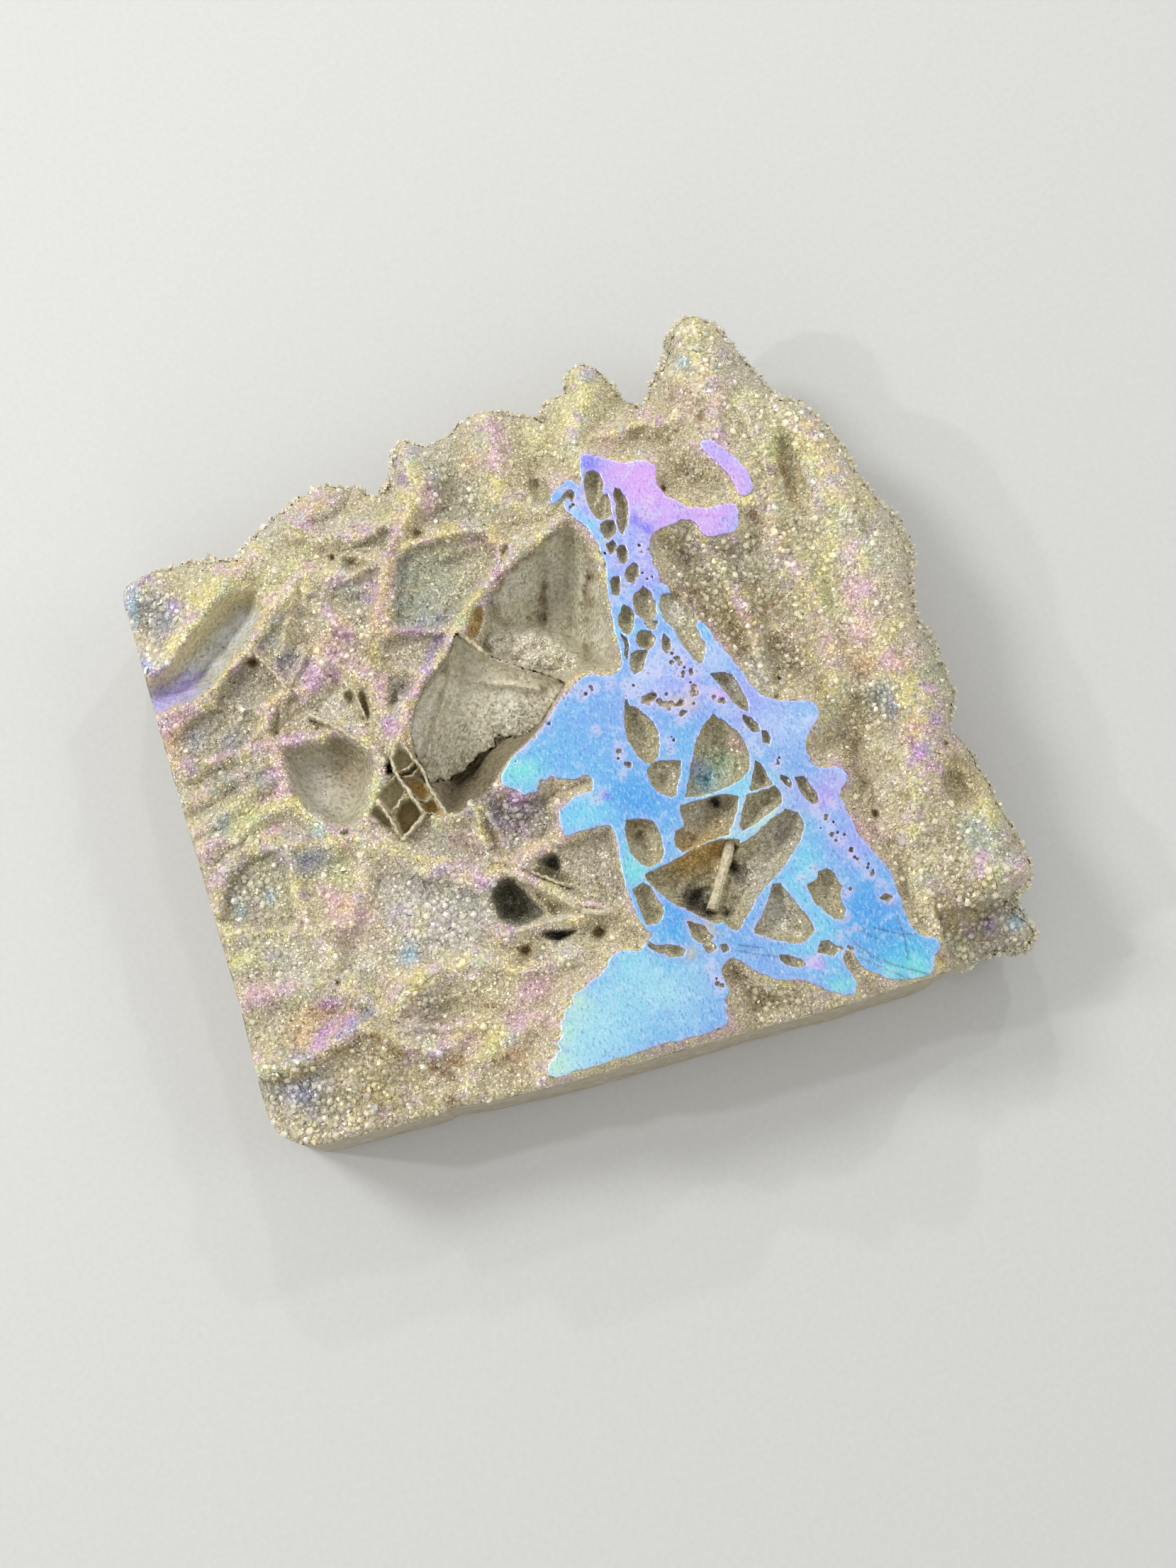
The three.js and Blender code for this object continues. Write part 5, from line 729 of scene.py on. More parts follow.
class BoxworkSurfaceSettings(bpy.types.PropertyGroup):
    """Sizes and colours of the slab's surface."""

    step: bpy.props.FloatProperty(
        name="Surface step", description="Spacing of the surface's points", default=0.3 * MM, unit="LENGTH")
    web_step: bpy.props.FloatProperty(
        name="Web step", description="Spacing of the sawn web's points", default=0.15 * MM, unit="LENGTH")
    druse_level: bpy.props.FloatProperty(
        name="Druse level", description="Middle height of the druse over the back",
        default=19.6 * MM, unit="LENGTH")
    rim_drop: bpy.props.FloatProperty(
        name="Rim drop", description="How far the natural rim rolls down", default=3.2 * MM, unit="LENGTH")
    rim_width: bpy.props.FloatProperty(
        name="Rim width", description="How much of the face rolls down with it",
        default=3.2 * MM, unit="LENGTH")
    web_fall: bpy.props.FloatProperty(
        name="Web fall", description="How steeply the druse falls away from the web", default=1.1)
    cell_wall: bpy.props.FloatProperty(
        name="Cell wall", description="Steepness of the cells' walls, drop for each unit across", default=4.0)
    fringe: bpy.props.FloatVectorProperty(
        name="Fringe", description="The coat's pale edge round each opening", subtype="COLOR",
        default=linear("#CDB6EC")[:3])
    amber: bpy.props.FloatVectorProperty(
        name="Amber", description="The iron-stained quartz deep in the cells", subtype="COLOR",
        default=linear("#C2963C")[:3])
    # The colour of the painted shadow in the deepest holes; it is no mineral of the slab.
    shadow: bpy.props.FloatVectorProperty(
        name="Shadow", description="The dark mineral in the deepest holes", subtype="COLOR",
        default=linear("#35312A")[:3])


class BoxworkDruseSettings(bpy.types.PropertyGroup):
    """Sizes of the quartz points."""

    width: bpy.props.FloatProperty(
        name="Point width", description="Width of the common points", default=0.4 * MM, unit="LENGTH")
    side_width: bpy.props.FloatProperty(
        name="Side point width", description="Width of the points on the natural sides",
        default=0.6 * MM, unit="LENGTH")
    crowding: bpy.props.FloatProperty(
        name="Crowding", description="Spacing of the points against their width",
        default=0.95, min=0.4, max=2)
    lean: bpy.props.FloatProperty(
        name="Lean", description="How far the points lean from the surface's outward direction",
        default=radians(24), subtype="ANGLE")
    glitter: bpy.props.FloatProperty(
        name="Glitter", description="How far a point's tint strays from its surroundings",
        default=0.22, min=0, max=1)


class BoxworkStageSettings(bpy.types.PropertyGroup):
    """The floor, lights and camera."""

    floor_size: bpy.props.FloatProperty(
        name="Floor size", description="Side of the pale floor", default=3.0, unit="LENGTH")
    floor_colour: bpy.props.FloatVectorProperty(
        name="Floor", description="Colour of the floor", subtype="COLOR", default=linear("#C6C6C4")[:3])
    key_power: bpy.props.FloatProperty(
        name="Key light", description="Power of the main light in watts", default=2.4)
    sky: bpy.props.FloatProperty(name="Sky", description="Strength of the soft light all round", default=0.68)
    lens: bpy.props.FloatProperty(name="Lens", description="Focal length in millimetres", default=50.0)


# Drawing on the face.

def rounded(outline, passes=1):
    """A closed outline with its corners cut, so that it runs smoothly through what was drawn."""
    points = np.array(outline, float)
    for _ in range(passes):
        ahead = np.roll(points, -1, axis=0)
        points = np.stack([0.75 * points + 0.25 * ahead, 0.25 * points + 0.75 * ahead], axis=1).reshape(-1, 2)
    return points


def resampled(line, spacing, closed=False):
    """A line with points at even spacing."""
    points = np.array(line, float)
    if closed:
        points = np.vstack([points, points[:1]])
    along = np.concatenate([[0], np.cumsum(np.linalg.norm(np.diff(points, axis=0), axis=1))])
    count = max(2, int(along[-1] / spacing)) + 1
    where = np.linspace(0, along[-1], count)[: -1 if closed else None]
    return np.stack([np.interp(where, along, points[:, k]) for k in range(points.shape[1])], axis=1)


def segment_distance(u, v, start, end):
    """Squared distance from each point to one stretch of a line."""
    du, dv = end[0] - start[0], end[1] - start[1]
    along = np.clip(((u - start[0]) * du + (v - start[1]) * dv) / (du * du + dv * dv + 1e-12), 0, 1)
    return (u - start[0] - along * du) ** 2 + (v - start[1] - along * dv) ** 2


def near_box(u, v, points, reach):
    """Which points are within reach of the box round a line."""
    low, high = points.min(axis=0) - reach, points.max(axis=0) + reach
    return (u > low[0]) & (u < high[0]) & (v > low[1]) & (v < high[1])


def line_distance(u, v, line, reach=9.0):
    """Distance in mm to an open line, no more than reach."""
    points = np.array(line, float)
    near = near_box(u, v, points, reach)
    a, b = u[near], v[near]
    nearest = np.full(a.shape, float(reach) ** 2)
    for start, end in zip(points[:-1], points[1:]):
        nearest = np.minimum(nearest, segment_distance(a, b, start, end))
    distance = np.full(u.shape, float(reach))
    distance[near] = np.sqrt(nearest)
    return distance


def depth_inside(u, v, outline, reach=6.0, passes=1):
    """Distance in mm to a closed outline, positive inside it, and -reach where it is far outside."""
    points = rounded(outline, passes)
    near = near_box(u, v, points, reach)
    a, b = u[near], v[near]
    nearest = np.full(a.shape, 40.0**2)
    inside = np.zeros(a.shape, bool)
    for start, end in zip(points, np.roll(points, -1, axis=0)):
        nearest = np.minimum(nearest, segment_distance(a, b, start, end))
        if start[1] != end[1]:
            crossed = (start[1] > b) != (end[1] > b)
            inside ^= crossed & (a < start[0] + (b - start[1]) * (end[0] - start[0]) / (end[1] - start[1]))
    distance = np.full(u.shape, -float(reach))
    distance[near] = np.where(inside, np.sqrt(nearest), np.maximum(-np.sqrt(nearest), -reach))
    return distance


@lru_cache(maxsize=None)
def noise_table(seed):
    """The random heights that bumps of this seed run through."""
    return np.random.default_rng(seed).uniform(-1, 1, (128, 128))


def bumps(u, v, size, seed):
    """Smooth bumps about size mm across, between -1 and 1."""
    table = noise_table(seed)
    a, b = u / size + 300, v / size + 300
    i, j = np.floor(a).astype(int), np.floor(b).astype(int)
    fa, fb = slope(a - i), slope(b - j)
    near = table[i % 128, j % 128] * (1 - fa) + table[(i + 1) % 128, j % 128] * fa
    far = table[i % 128, (j + 1) % 128] * (1 - fa) + table[(i + 1) % 128, (j + 1) % 128] * fa
    return near * (1 - fb) + far * fb


def slope(x):
    """A smooth step from 0 to 1."""
    x = np.clip(x, 0, 1)
    return x * x * (3 - 2 * x)


def bell(distance, radius):
    """A smooth bump of height 1 with the given radius."""
    return np.exp(-((distance / radius) ** 2))


def spot(u, v, middle, radius):
    """A smooth bump of height 1 round a place on the face."""
    return bell(np.hypot(u - middle[0], v - middle[1]), radius)


def strayed(u, v, amount, size, seed):
    """The places (u, v) moved about by bumps, so that what is drawn there loses its straight lines."""
    return u + amount * bumps(u, v, size, seed), v + amount * bumps(u, v, size, seed + 1)


def soft_max(a, b, blend):
    """The higher of two heights, joined by a fillet."""
    mix = np.clip(0.5 + 0.5 * (a - b) / blend, 0, 1)
    return b + (a - b) * mix + 0.5 * blend * mix * (1 - mix)


def soft_min(a, b, blend):
    """The lower of two heights, joined by a fillet."""
    return -soft_max(-a, -b, blend)


@lru_cache(maxsize=1)
def edge_line():
    """The slab's edge as closely spaced points, rough where it is natural, and which of them are natural."""
    u, v = resampled(rounded(NATURAL_SIDE + SAWN_SIDE), EDGE_STEP, closed=True).T
    natural = line_distance(u, v, NATURAL_SIDE, reach=3) < 0.8
    return np.stack(strayed(u, v, 0.28 * natural, 1.1, 31), axis=1), natural


def slab_depth(u, v):
    """Distance in from the slab's edge."""
    return depth_inside(u, v, edge_line()[0], passes=0)


def web_depth(u, v):
    """Distance into the sawn web's outline, its cells not yet taken out."""
    return np.maximum.reduce([depth_inside(u, v, outline) for outline in (WEB, TOUCHED_CREST, SIDE_STRAND)])


@lru_cache(maxsize=1)
def bubbles():
    """The small round openings scattered through the web's crusts."""
    rng = np.random.default_rng(9)
    found = []
    for radius, count, stray, *places in BUBBLES:
        for cu, cv in places:
            around = rng.normal(0, 0.6 * stray, (count, 2)) + (cu, cv)
            found += [(a, b, r) for (a, b), r in zip(around, radius * rng.uniform(0.5, 1.25, count))]
    return found


def polished_depth(u, v):
    """Distance into the polished web, negative in its cells and outside it."""
    ragged = 0.15 + sum(0.4 * spot(u, v, middle, radius) for radius, *middle in RAGGED)
    web = web_depth(*strayed(u, v, ragged, 0.9, 33))
    for _, *mouth in WEB_CELLS:
        web = np.minimum(web, -cell_depth(u, v, mouth))
    for cu, cv, radius in bubbles():
        near = (np.abs(u - cu) < BUBBLE_REACH) & (np.abs(v - cv) < BUBBLE_REACH)
        web[near] = np.minimum(web[near], np.hypot(u[near] - cu, v[near] - cv) - radius)
    for mouth in (UPPER_CHAMBER, GAP):
        web = np.minimum(web, -depth_inside(u, v, mouth, reach=3))
    return web


def cell_depth(u, v, mouth):
    """Distance into one of the web's cells, whose edge is slightly uneven."""
    return depth_inside(*strayed(u, v, 0.12, 0.8, 35), mouth, reach=3, passes=0) + CELL_GROWTH


def plate_height(u, v):
    """The top of the smooth plate that roofs the lower chamber: it rises up the face and to the left."""
    sheet = 12.6 + 0.43 * (v - 43) + 0.28 * np.maximum(0, 36 - u)
    sheet += 0.25 * bumps(u, v, 6, 14) + 0.06 * bumps(u, v, 0.7, 15)
    for crease in PLATE_CREASES:
        away = line_distance(u, v, crease, reach=4)
        sheet += 0.55 * bell(away, 0.55) - 0.35 * bell(away - 1.3, 0.8)
    return np.minimum(sheet, 23)


def placed(u, v, z):
    """Where the eye's sight line through (u, v) on the face meets height z, in mm in the slab's frame."""
    back = (FACE - z) / (EYE[2] - FACE)
    return np.stack([u + back * (u - EYE[0]) + CORNER[0], v + back * (v - EYE[1]) + CORNER[1], z], axis=-1)


class Relief:
    """The slab's surface at the points (u, v): its height z, and how far it is each kind of surface."""

    def __init__(self, u, v, druse_level, rim_drop, rim_width, web_fall, cell_wall):
        self.u, self.v, self.cell_wall = u, v, cell_wall
        self.bare, self.cell, self.ledge = np.zeros((3, *u.shape))
        self.hued = []  # where a hue is laid on, and the hue
        self.polished = polished_depth(u, v)
        self.z = self.druse(druse_level)
        self.z = soft_max(self.z, FACE - UNDER_WEB + web_fall * np.minimum(0, web_depth(u, v)), 0.5)
        self.z += 0.16 * bumps(u, v, 1.5, 8) + 0.1 * bumps(u, v, 0.8, 9)
        self.z = np.minimum(self.z, FACE - 0.25)
        self.facets()
        self.channel_and_bowl()
        self.ground = self.z.copy()
        self.z = np.where(self.polished > -LIP, np.minimum(self.z, FACE - UNDER_WEB), self.z)
        for cu, cv, radius in bubbles():
            near = (np.abs(u - cu) < BUBBLE_REACH) & (np.abs(v - cv) < BUBBLE_REACH)
            within = radius - np.hypot(u[near] - cu, v[near] - cv)
            self.z[near] -= np.clip(1.5 * (within + LIP), 0, 0.2)
            self.cell[near] = np.maximum(self.cell[near], 0.3 * slope(within / 0.15))
        for depth, *mouth in WEB_CELLS:
            self.pocket(np.maximum(cell_depth(u, v, mouth), -2), CELL_DEPTH * depth)
        for floor, hue, *mouth in SIDE_CELLS:
            inside = depth_inside(u, v, mouth, reach=2)
            self.pocket(inside, FACE - 3 - floor)
            self.hued.append((slope(inside / 0.3), CELL_HUES[hue]))
        self.vug()
        self.edges(rim_drop, rim_width)
        wavy = strayed(u, v, 0.5, 1, 38)
        for middle, radius in DARK_SPOTS:
            self.z -= 2 * spot(*wavy, middle, radius)
        self.z = np.maximum(self.z, 0.6)

    def druse(self, level):
        """The rolling druse before the saw and before any opening."""
        u, v = self.u, self.v
        z = level + 0.8 * bumps(u, v, 9, 1) + 0.55 * bumps(u, v, 4, 2)
        wavy = strayed(u, v, 0.5, 3, 3)
        for height, fall, *course in CRESTS:
            away = line_distance(*wavy, course)
            top = height + CREST_LIFT + 0.35 * bumps(u, v, 2.5, 5)
            z = soft_max(z, top - CREST_FALL * fall * (np.sqrt(away**2 + 0.1) - 0.3), 0.5)
        for cu, cv, ru, rv, turn, floor in HOLLOWS:
            a = radians(turn)
            p = ((u - cu) * cos(a) + (v - cv) * sin(a)) / ru
            q = ((v - cv) * cos(a) - (u - cu) * sin(a)) / rv
            z = soft_min(z, floor + (HOLLOW_RIM - floor) * (p * p + q * q), 0.8)
        return z

    def facets(self):
        """The druse's flat-floored facets."""
        u, v = self.u, self.v
        wavy = strayed(u, v, 0.2, 1.2, 25)
        for floor, hue, *outline in FACETS:
            inside = depth_inside(*wavy, outline, passes=0)
            self.sink(inside, floor + FACET_LIFT + 0.35 * bumps(u, v, 4, 27), 1.8)
            self.hued.append((0.7 * slope((inside + 0.2) / 0.8), DRUSE_HUES[hue]))

    def channel_and_bowl(self):
        """The smooth channel and the fine-grained bowl."""
        u, v = self.u, self.v
        wavy = strayed(u, v, 0.3, 2, 18)
        channel = depth_inside(*wavy, CHANNEL)
        self.sink(channel, CHANNEL_FLOOR + 0.3 * bumps(u, v, 3, 20), 1.3)
        bowl = depth_inside(*wavy, BOWL)
        away = np.hypot(u - BOWL_DEEPEST[0], v - BOWL_DEEPEST[1])
        floor = BOWL_FLOOR + 0.35 * away + 0.2 * bumps(u, v, 1.5, 28)
        self.sink(bowl, floor + 0.9 * bell(line_distance(u, v, BOWL_STEP, reach=3), 0.35), 1.6)
        self.bare = np.maximum(slope((channel + 0.3) / 1.2), 0.8 * slope((bowl + 0.2) / 1.2))

    def pocket(self, inside, depth):
        """A cell whose walls fall steeply from its mouth and ease into its floor."""
        inside = np.maximum(inside + LIP, 0)
        rough = 1 + 0.16 * bumps(self.u, self.v, 1.3, 7) + 0.1 * bumps(self.u, self.v, 0.6, 17)
        self.z = self.z - depth * rough * (1 - np.exp(-self.cell_wall * inside / depth))
        self.cell = np.maximum(self.cell, slope(inside / 0.3))

    def vug(self):
        """The deep vug: the upper chamber with its ledge and flutes, the boxes beside it and the gap."""
        u, v = self.u, self.v
        upper = depth_inside(u, v, UPPER_CHAMBER)
        wall = 22.6 - 1.15 * line_distance(u, v, BACK_RIM, reach=16)
        right = np.where(u > 54, 22 - 1.7 * upper, 0)
        on_ledge = depth_inside(u, v, LEDGE)
        ledge = LEDGE_HEIGHT + 0.7 * bumps(u, v, 1.4, 12) + 0.4 * bumps(u, v, 0.7, 29)
        ledge += 2.5 * np.minimum(0, on_ledge)
        sunk = np.maximum.reduce([wall, CHAMBER_FLOOR + 0.5 * bumps(u, v, 3, 11), ledge, right])
        wavy = u + 0.2 * bumps(u, v, 1.5, 24)
        for width, depth, *course in CHAMBER_SLOTS:
            sunk = sunk - 0.5 * depth * bell(line_distance(wavy, v, course, reach=4), width)
        self.sink(upper, sunk, 4)
        for floor, hue, *mouth in BOXES:
            inside = depth_inside(u, v, mouth, passes=0)
            self.sink(inside, floor + 0.3 * bumps(u, v, 1, 13), 5)
            self.hued.append((slope((inside + 0.1) / 0.3), CELL_HUES[hue]))
            self.bare = np.maximum(self.bare, 0.9 * slope((inside + 0.2) / 0.3))
        gap = depth_inside(u, v, GAP)
        dark = GAP_FLOOR + 0.5 * bumps(u, v, 2.5, 16)
        plate = depth_inside(u, v, PLATE, passes=0)
        roofed = np.minimum(plate_height(u, v) - 1.0, dark + 3 * np.maximum(0, -gap - 3))
        self.z = np.where(plate > 0, roofed, self.z)
        self.sink(gap, dark, 2.8)
        # Painted shade over the gap under the plate's free edge.
        self.hued.append((0.75 * slope((gap + 0.2) / 0.6), WALL_HUES["gap_shade"]))
        smooth = np.maximum.reduce([slope(upper / 0.5), slope(plate / 0.2 + 1), slope(gap / 0.3)])
        self.ledge = slope(on_ledge / 0.6) * (upper > 0) * (plate < 0)
        self.bare = np.maximum(self.bare, smooth * (1 - 0.6 * self.ledge) * 0.85)

    def sink(self, inside, floor, wall):
        """Lowers the surface inside a mouth to a floor, with walls of the given steepness."""
        self.z = np.where(inside > 0, np.minimum(self.z, np.maximum(floor, self.z - wall * inside)), self.z)

    def edges(self, rim_drop, rim_width):
        """The lower step, the rolled natural rim and the worn edge along the sawn sides."""
        u, v = self.u, self.v
        behind = v - np.interp(u, *np.array(LOWER_STEP).T)
        step = LOWER_STEP_HEIGHT + 0.8 * bumps(u, v, 3, 10) + 5 * np.maximum(0, behind + 0.6)
        self.z = np.where((u > LOWER_STEP[0][0]) & (behind < 0.8), np.minimum(self.z, step), self.z)
        away = line_distance(u, v, NATURAL_SIDE, reach=rim_width)
        self.z -= rim_drop * (1 - np.sqrt(1 - np.clip(1 - away / rim_width, 0, 1) ** 2))
        away = line_distance(u, v, SAWN_SIDE, reach=2)
        self.z -= 0.9 * np.clip(1 - away / 1.0, 0, 1) ** 1.5


def toward(colour, aim, share):
    """A colour moved by a share of the way to another, which is a hex code or linear values."""
    aim = np.array(linear(aim)[:3] if isinstance(aim, str) else aim)
    return colour + np.asarray(share)[..., None] * (aim - colour)


def washed(u, v, hues, washes, drift=1.6):
    """A colour that drifts from the first of the hues through soft washes of the others."""
    colour = np.tile(linear(next(iter(hues.values())))[:3], (*u.shape, 1))
    wavy = strayed(u, v, drift, 4, 21)
    for hue, radius, *places in washes:
        for middle in places:
            colour = toward(colour, hues[hue], 0.9 * spot(*wavy, middle, radius))
    return colour


def blurred(field, reach):
    """A field averaged over a square of this many grid steps to each side, twice."""
    for _ in range(2):
        for axis in (0, 1):
            padded = np.pad(field, [(reach + 1, reach) if k == axis else (0, 0) for k in (0, 1)], mode="edge")
            total = np.cumsum(padded, axis=axis)
            ahead = np.take(total, range(2 * reach + 1, total.shape[axis]), axis)
            field = (ahead - np.take(total, range(total.shape[axis] - 2 * reach - 1), axis)) / (2 * reach + 1)
    return field


def surface_tint(relief, amber, shadow):
    """The tint of the druse, the cells and the bare walls."""
    u, v, stands = relief.u, relief.v, relief.stands
    tint = 1.06 * washed(u, v, DRUSE_HUES, DRUSE_WASHES)
    for share, hue in relief.hued[: len(FACETS)]:
        tint = toward(tint, hue, 0.5 * share)
    # Crests are painted paler, in the coat's pink and gold: partly their colour, partly a painted highlight on
    # what stands up.
    pink = slope(0.28 + 1.1 * bumps(u, v, 6, 23))
    crest = toward(np.array(linear("#EAE0AE")[:3]), "#E6BCCC", pink)
    tint = toward(tint, crest, 0.5 * np.clip(stands, 0, 1))
    play = 0.8 * bumps(u, v, 1.8, 44) + 0.8 * bumps(u, v, 0.7, 45)
    on_crests = np.clip(0.4 + 0.8 * stands, 0.2, 1)
    for hue, share in (("#EADC80", play), ("#D2A6DC", -play), ("#A8D2C6", bumps(u, v, 2.2, 46) - 0.3)):
        tint = toward(tint, hue, 0.5 * np.clip(share, 0, 1) * on_crests)
    # Painted shade: what lies below its surroundings is darkened toward grey-tan.
    tint = toward(tint, "#B0A284", 0.3 * np.clip(-stands, 0, 1))
    wavy = strayed(u, v, 0.5, 1.6, 35)
    layers = [(washed(u, v, WALL_HUES, WALL_WASHES, 0.8), relief.bare),
              (washed(u, v, CELL_HUES, CELL_WASHES, 0.5), relief.cell),
              ("#E2DCC8", 0.6 * relief.ledge)]
    layers += [(hue, share) for share, hue in relief.hued[len(FACETS) :]]
    broken = np.clip(0.7 + 0.6 * bumps(u, v, 0.9, 43), 0, 1)
    for hue, width, *course in STREAKS:
        strength = (0.75 if hue in STAIN_AND_SHADE_HUES else 0.55) * broken
        layers.append((DRUSE_HUES[hue], strength * bell(line_distance(*wavy, course, reach=3), width)))
    # Amber stains, and the painted shadow in the deepest holes.
    for spots, colour in ((AMBER_SPOTS, amber), (DARK_SPOTS, shadow)):
        layers += [(colour, 0.75 * spot(*wavy, middle, radius)) for middle, radius in spots]
    for colour, share in layers:
        tint = toward(tint, colour, share)
    return tint


def snapped_grid(low, high, step, *fields):
    """A grid of points in which those beside a field's zero line are moved onto it."""
    u, v = np.meshgrid(np.arange(low[0], high[0] + step, step), np.arange(low[1], high[1] + step, step))
    du, dv = np.zeros((2, *u.shape))
    for field in fields:
        value = field(u, v)
        gv, gu = np.gradient(value, step)
        length = gu**2 + gv**2
        near = (np.abs(value) < 0.6 * step) & (length > 0.3)
        shift = -value / (length + 1e-9)
        du, dv = np.where(near, shift * gu, du), np.where(near, shift * gv, dv)
    return u + du, v + dv


@lru_cache(maxsize=2)
def face_relief(step, *sizes):
    """The whole face as a grid of relief, with its places in the frame and its outward directions."""
    u, v = snapped_grid(GRID_LOW, GRID_HIGH, step, slab_depth)
    relief = Relief(u, v, *sizes)
    relief.inside = slab_depth(u, v)
    relief.spots = placed(u, v, relief.z)
    outward = np.cross(np.gradient(relief.spots, axis=1), np.gradient(relief.spots, axis=0))
    relief.outward = outward / (np.linalg.norm(outward, axis=-1, keepdims=True) + 1e-12)
    relief.step = step
    relief.stands = (relief.ground - blurred(relief.ground, round(2.4 / step))) / 0.9
    return relief


def face_from(context):
    """The face at the sizes in the sidebar, and its tint."""
    s = context.scene.boxwork_surface
    lengths = [round(getattr(s, name) / MM, 4) for name in ("step", "druse_level", "rim_drop", "rim_width")]
    relief = face_relief(*lengths, round(s.web_fall, 4), round(s.cell_wall, 4))
    if not hasattr(relief, "tint"):
        relief.tint = surface_tint(relief, s.amber, s.shadow)
    return relief


# Pieces.

def add_piece(name, points, faces, material, tint=None, smooth=False, **amounts):
    """A mesh from points in millimetres and arrays of faces, which stands for the slab's CAD solid."""
    mesh = bpy.data.meshes.new(name)
    mesh.vertices.add(len(points))
    mesh.vertices.foreach_set("co", np.ravel(points) * MM)
    faces = [np.asarray(block, np.int32) for block in faces if len(block)]
    sizes = np.concatenate([np.full(len(block), block.shape[1]) for block in faces])
    mesh.loops.add(int(sizes.sum()))
    mesh.loops.foreach_set("vertex_index", np.concatenate([block.ravel() for block in faces]))
    mesh.polygons.add(len(sizes))
    mesh.polygons.foreach_set("loop_start", np.concatenate([[0], np.cumsum(sizes)[:-1]]).astype(np.int32))
    mesh.polygons.foreach_set("use_smooth", np.full(len(sizes), smooth))
    if tint is not None:
        colours = np.column_stack([np.reshape(tint, (-1, 3)), np.ones(len(points))])
        mesh.color_attributes.new("tint", "FLOAT_COLOR", "POINT").data.foreach_set("color", colours.ravel())
    for key, values in amounts.items():
        mesh.attributes.new(key, "FLOAT", "POINT").data.foreach_set("value", np.ravel(values))
    mesh.update(calc_edges=True)
    mesh.validate()
    mesh.materials.append(material)
    piece = bpy.data.objects.new(name, mesh)
    bpy.context.scene.collection.objects.link(piece)
    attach(piece, "root")
    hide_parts(NODE)
    return piece


def grid_quads(rows, columns):
    """The quads of a grid of points, row by row."""
    first = (np.arange(rows - 1)[:, None] * columns + np.arange(columns - 1)).ravel()
    return np.stack([first, first + 1, first + columns + 1, first + columns], axis=1)


def used_only(quads, *fields):
    """The quads renumbered to the points they use, and each field at those points."""
    used, again = np.unique(quads, return_inverse=True)
    return again.reshape(quads.shape), [field.reshape(-1, *field.shape[2:])[used] for field in fields]


def rim_of(quads):
    """The edges that belong to one quad only, in the quad's own direction."""
    edges = np.concatenate([quads[:, [k, (k + 1) % 4]] for k in range(4)])
    keys = edges[:, 0].astype(np.int64) * (edges.max() + 1) + edges[:, 1]
    back = edges[:, 1].astype(np.int64) * (edges.max() + 1) + edges[:, 0]
    return edges[~np.isin(keys, back)]


def quads_where(field):
    """The quads of a grid of points in whose middle a field of those points is positive."""
    middle = (field[:-1, :-1] + field[1:, :-1] + field[:-1, 1:] + field[1:, 1:]) / 4
    return grid_quads(*field.shape)[(middle > 0).ravel()]


def snapped(field, step):
    """A distance field with what the grid moved onto its zero line set to zero."""
    return np.where(np.abs(field) < 0.05 * step, 0, field)


def build_ground(context):
    """The crust of druse, cells and vug, left out where the sawn web hides it."""
    relief = face_from(context)
    hidden = np.where(relief.polished > 0.6, -1.0, 1.0)
    quads = quads_where(np.minimum(snapped(relief.inside, relief.step), hidden))
    quads, (spots, tint, bare, ledge) = used_only(quads, relief.spots, relief.tint, relief.bare, relief.ledge)
    add_piece("druse_ground", spots, [quads], druse_ground(), tint, smooth=True, bare=bare * (1 - ledge))


def skirted(quads, top, foot):
    """A sheet with a skirt down from its rim to the foot: its points, its quads and the skirt's points."""
    quads, (top, foot) = used_only(quads, top, foot)
    rim = rim_of(quads)
    used, again = np.unique(rim, return_inverse=True)
    below = again.reshape(rim.shape) + len(top)
    sides = np.stack([rim[:, 1], rim[:, 0], below[:, 0], below[:, 1]], axis=1)
    return np.vstack([top, foot[used]]), np.vstack([quads, sides]), used


def build_web(context):
    """The sawn web: flat, worn at its edges, scratched by the saw, and standing just proud of its cells."""
    settings = context.scene.boxwork_surface
    step = settings.web_step / MM
    field = lambda u, v: np.minimum(polished_depth(u, v), slab_depth(u, v) - 0.3)
    u, v = snapped_grid((35, -1), (93, 85), step, field)
    polished = snapped(field(u, v), step)
    z = FACE - 0.05 * (1 - np.clip(polished / 0.2, 0, 1)) ** 2
    for line in SAW_SCRATCHES:
        z -= 0.06 * np.clip(1 - line_distance(u, v, line, reach=2) / 0.16, 0, 1)
    crust = np.zeros(u.shape)
    for radius, *places in CRUSTS:
        for middle in places:
            crust = np.maximum(crust, spot(u, v, middle, 1.15 * radius))
    crust = slope((crust + 0.3 * bumps(u, v, 0.9, 37) + 0.25 * bumps(u, v, 0.4, 42) - 0.3) / 0.6)
    quads = quads_where(polished)
    fringe = (0.35 + 0.3 * bumps(u, v, 0.7, 40)) * np.exp(-np.maximum(polished, 0) / 0.45)
    coat = toward(washed(u, v, COAT_HUES, COAT_WASHES), settings.fringe, fringe)
    # Painted shade in the saw's scratches: the coat is darkened along each groove.
    for line in SAW_SCRATCHES:
        coat *= 1 - 0.6 * bell(line_distance(u, v, line, reach=2), 0.14)[..., None]
    top = placed(u, v, z)
    points, faces, skirt = skirted(quads, top, top - [0, 0, WEB_LIP])
    _, (tint, crust) = used_only(quads, coat, crust)
    tint = np.vstack([tint, np.full((len(skirt), 3), linear("#8C846C")[:3])])
    crust = np.concatenate([crust, np.ones(len(skirt))])
    add_piece("sawn_web", points, [faces], coated_web(), tint, crust=crust)


def closed_sheet(quads, top, bottom):
    """A sheet between two surfaces of the same quads, closed round its rim: its points and quads."""
    quads, (top, bottom) = used_only(quads, top, bottom)
    rim = rim_of(quads)
    count = len(top)
    sides = np.stack([rim[:, 1], rim[:, 0], rim[:, 0] + count, rim[:, 1] + count], axis=1)
    return np.vstack([top, bottom]), [np.vstack([quads, quads[:, ::-1] + count, sides])]


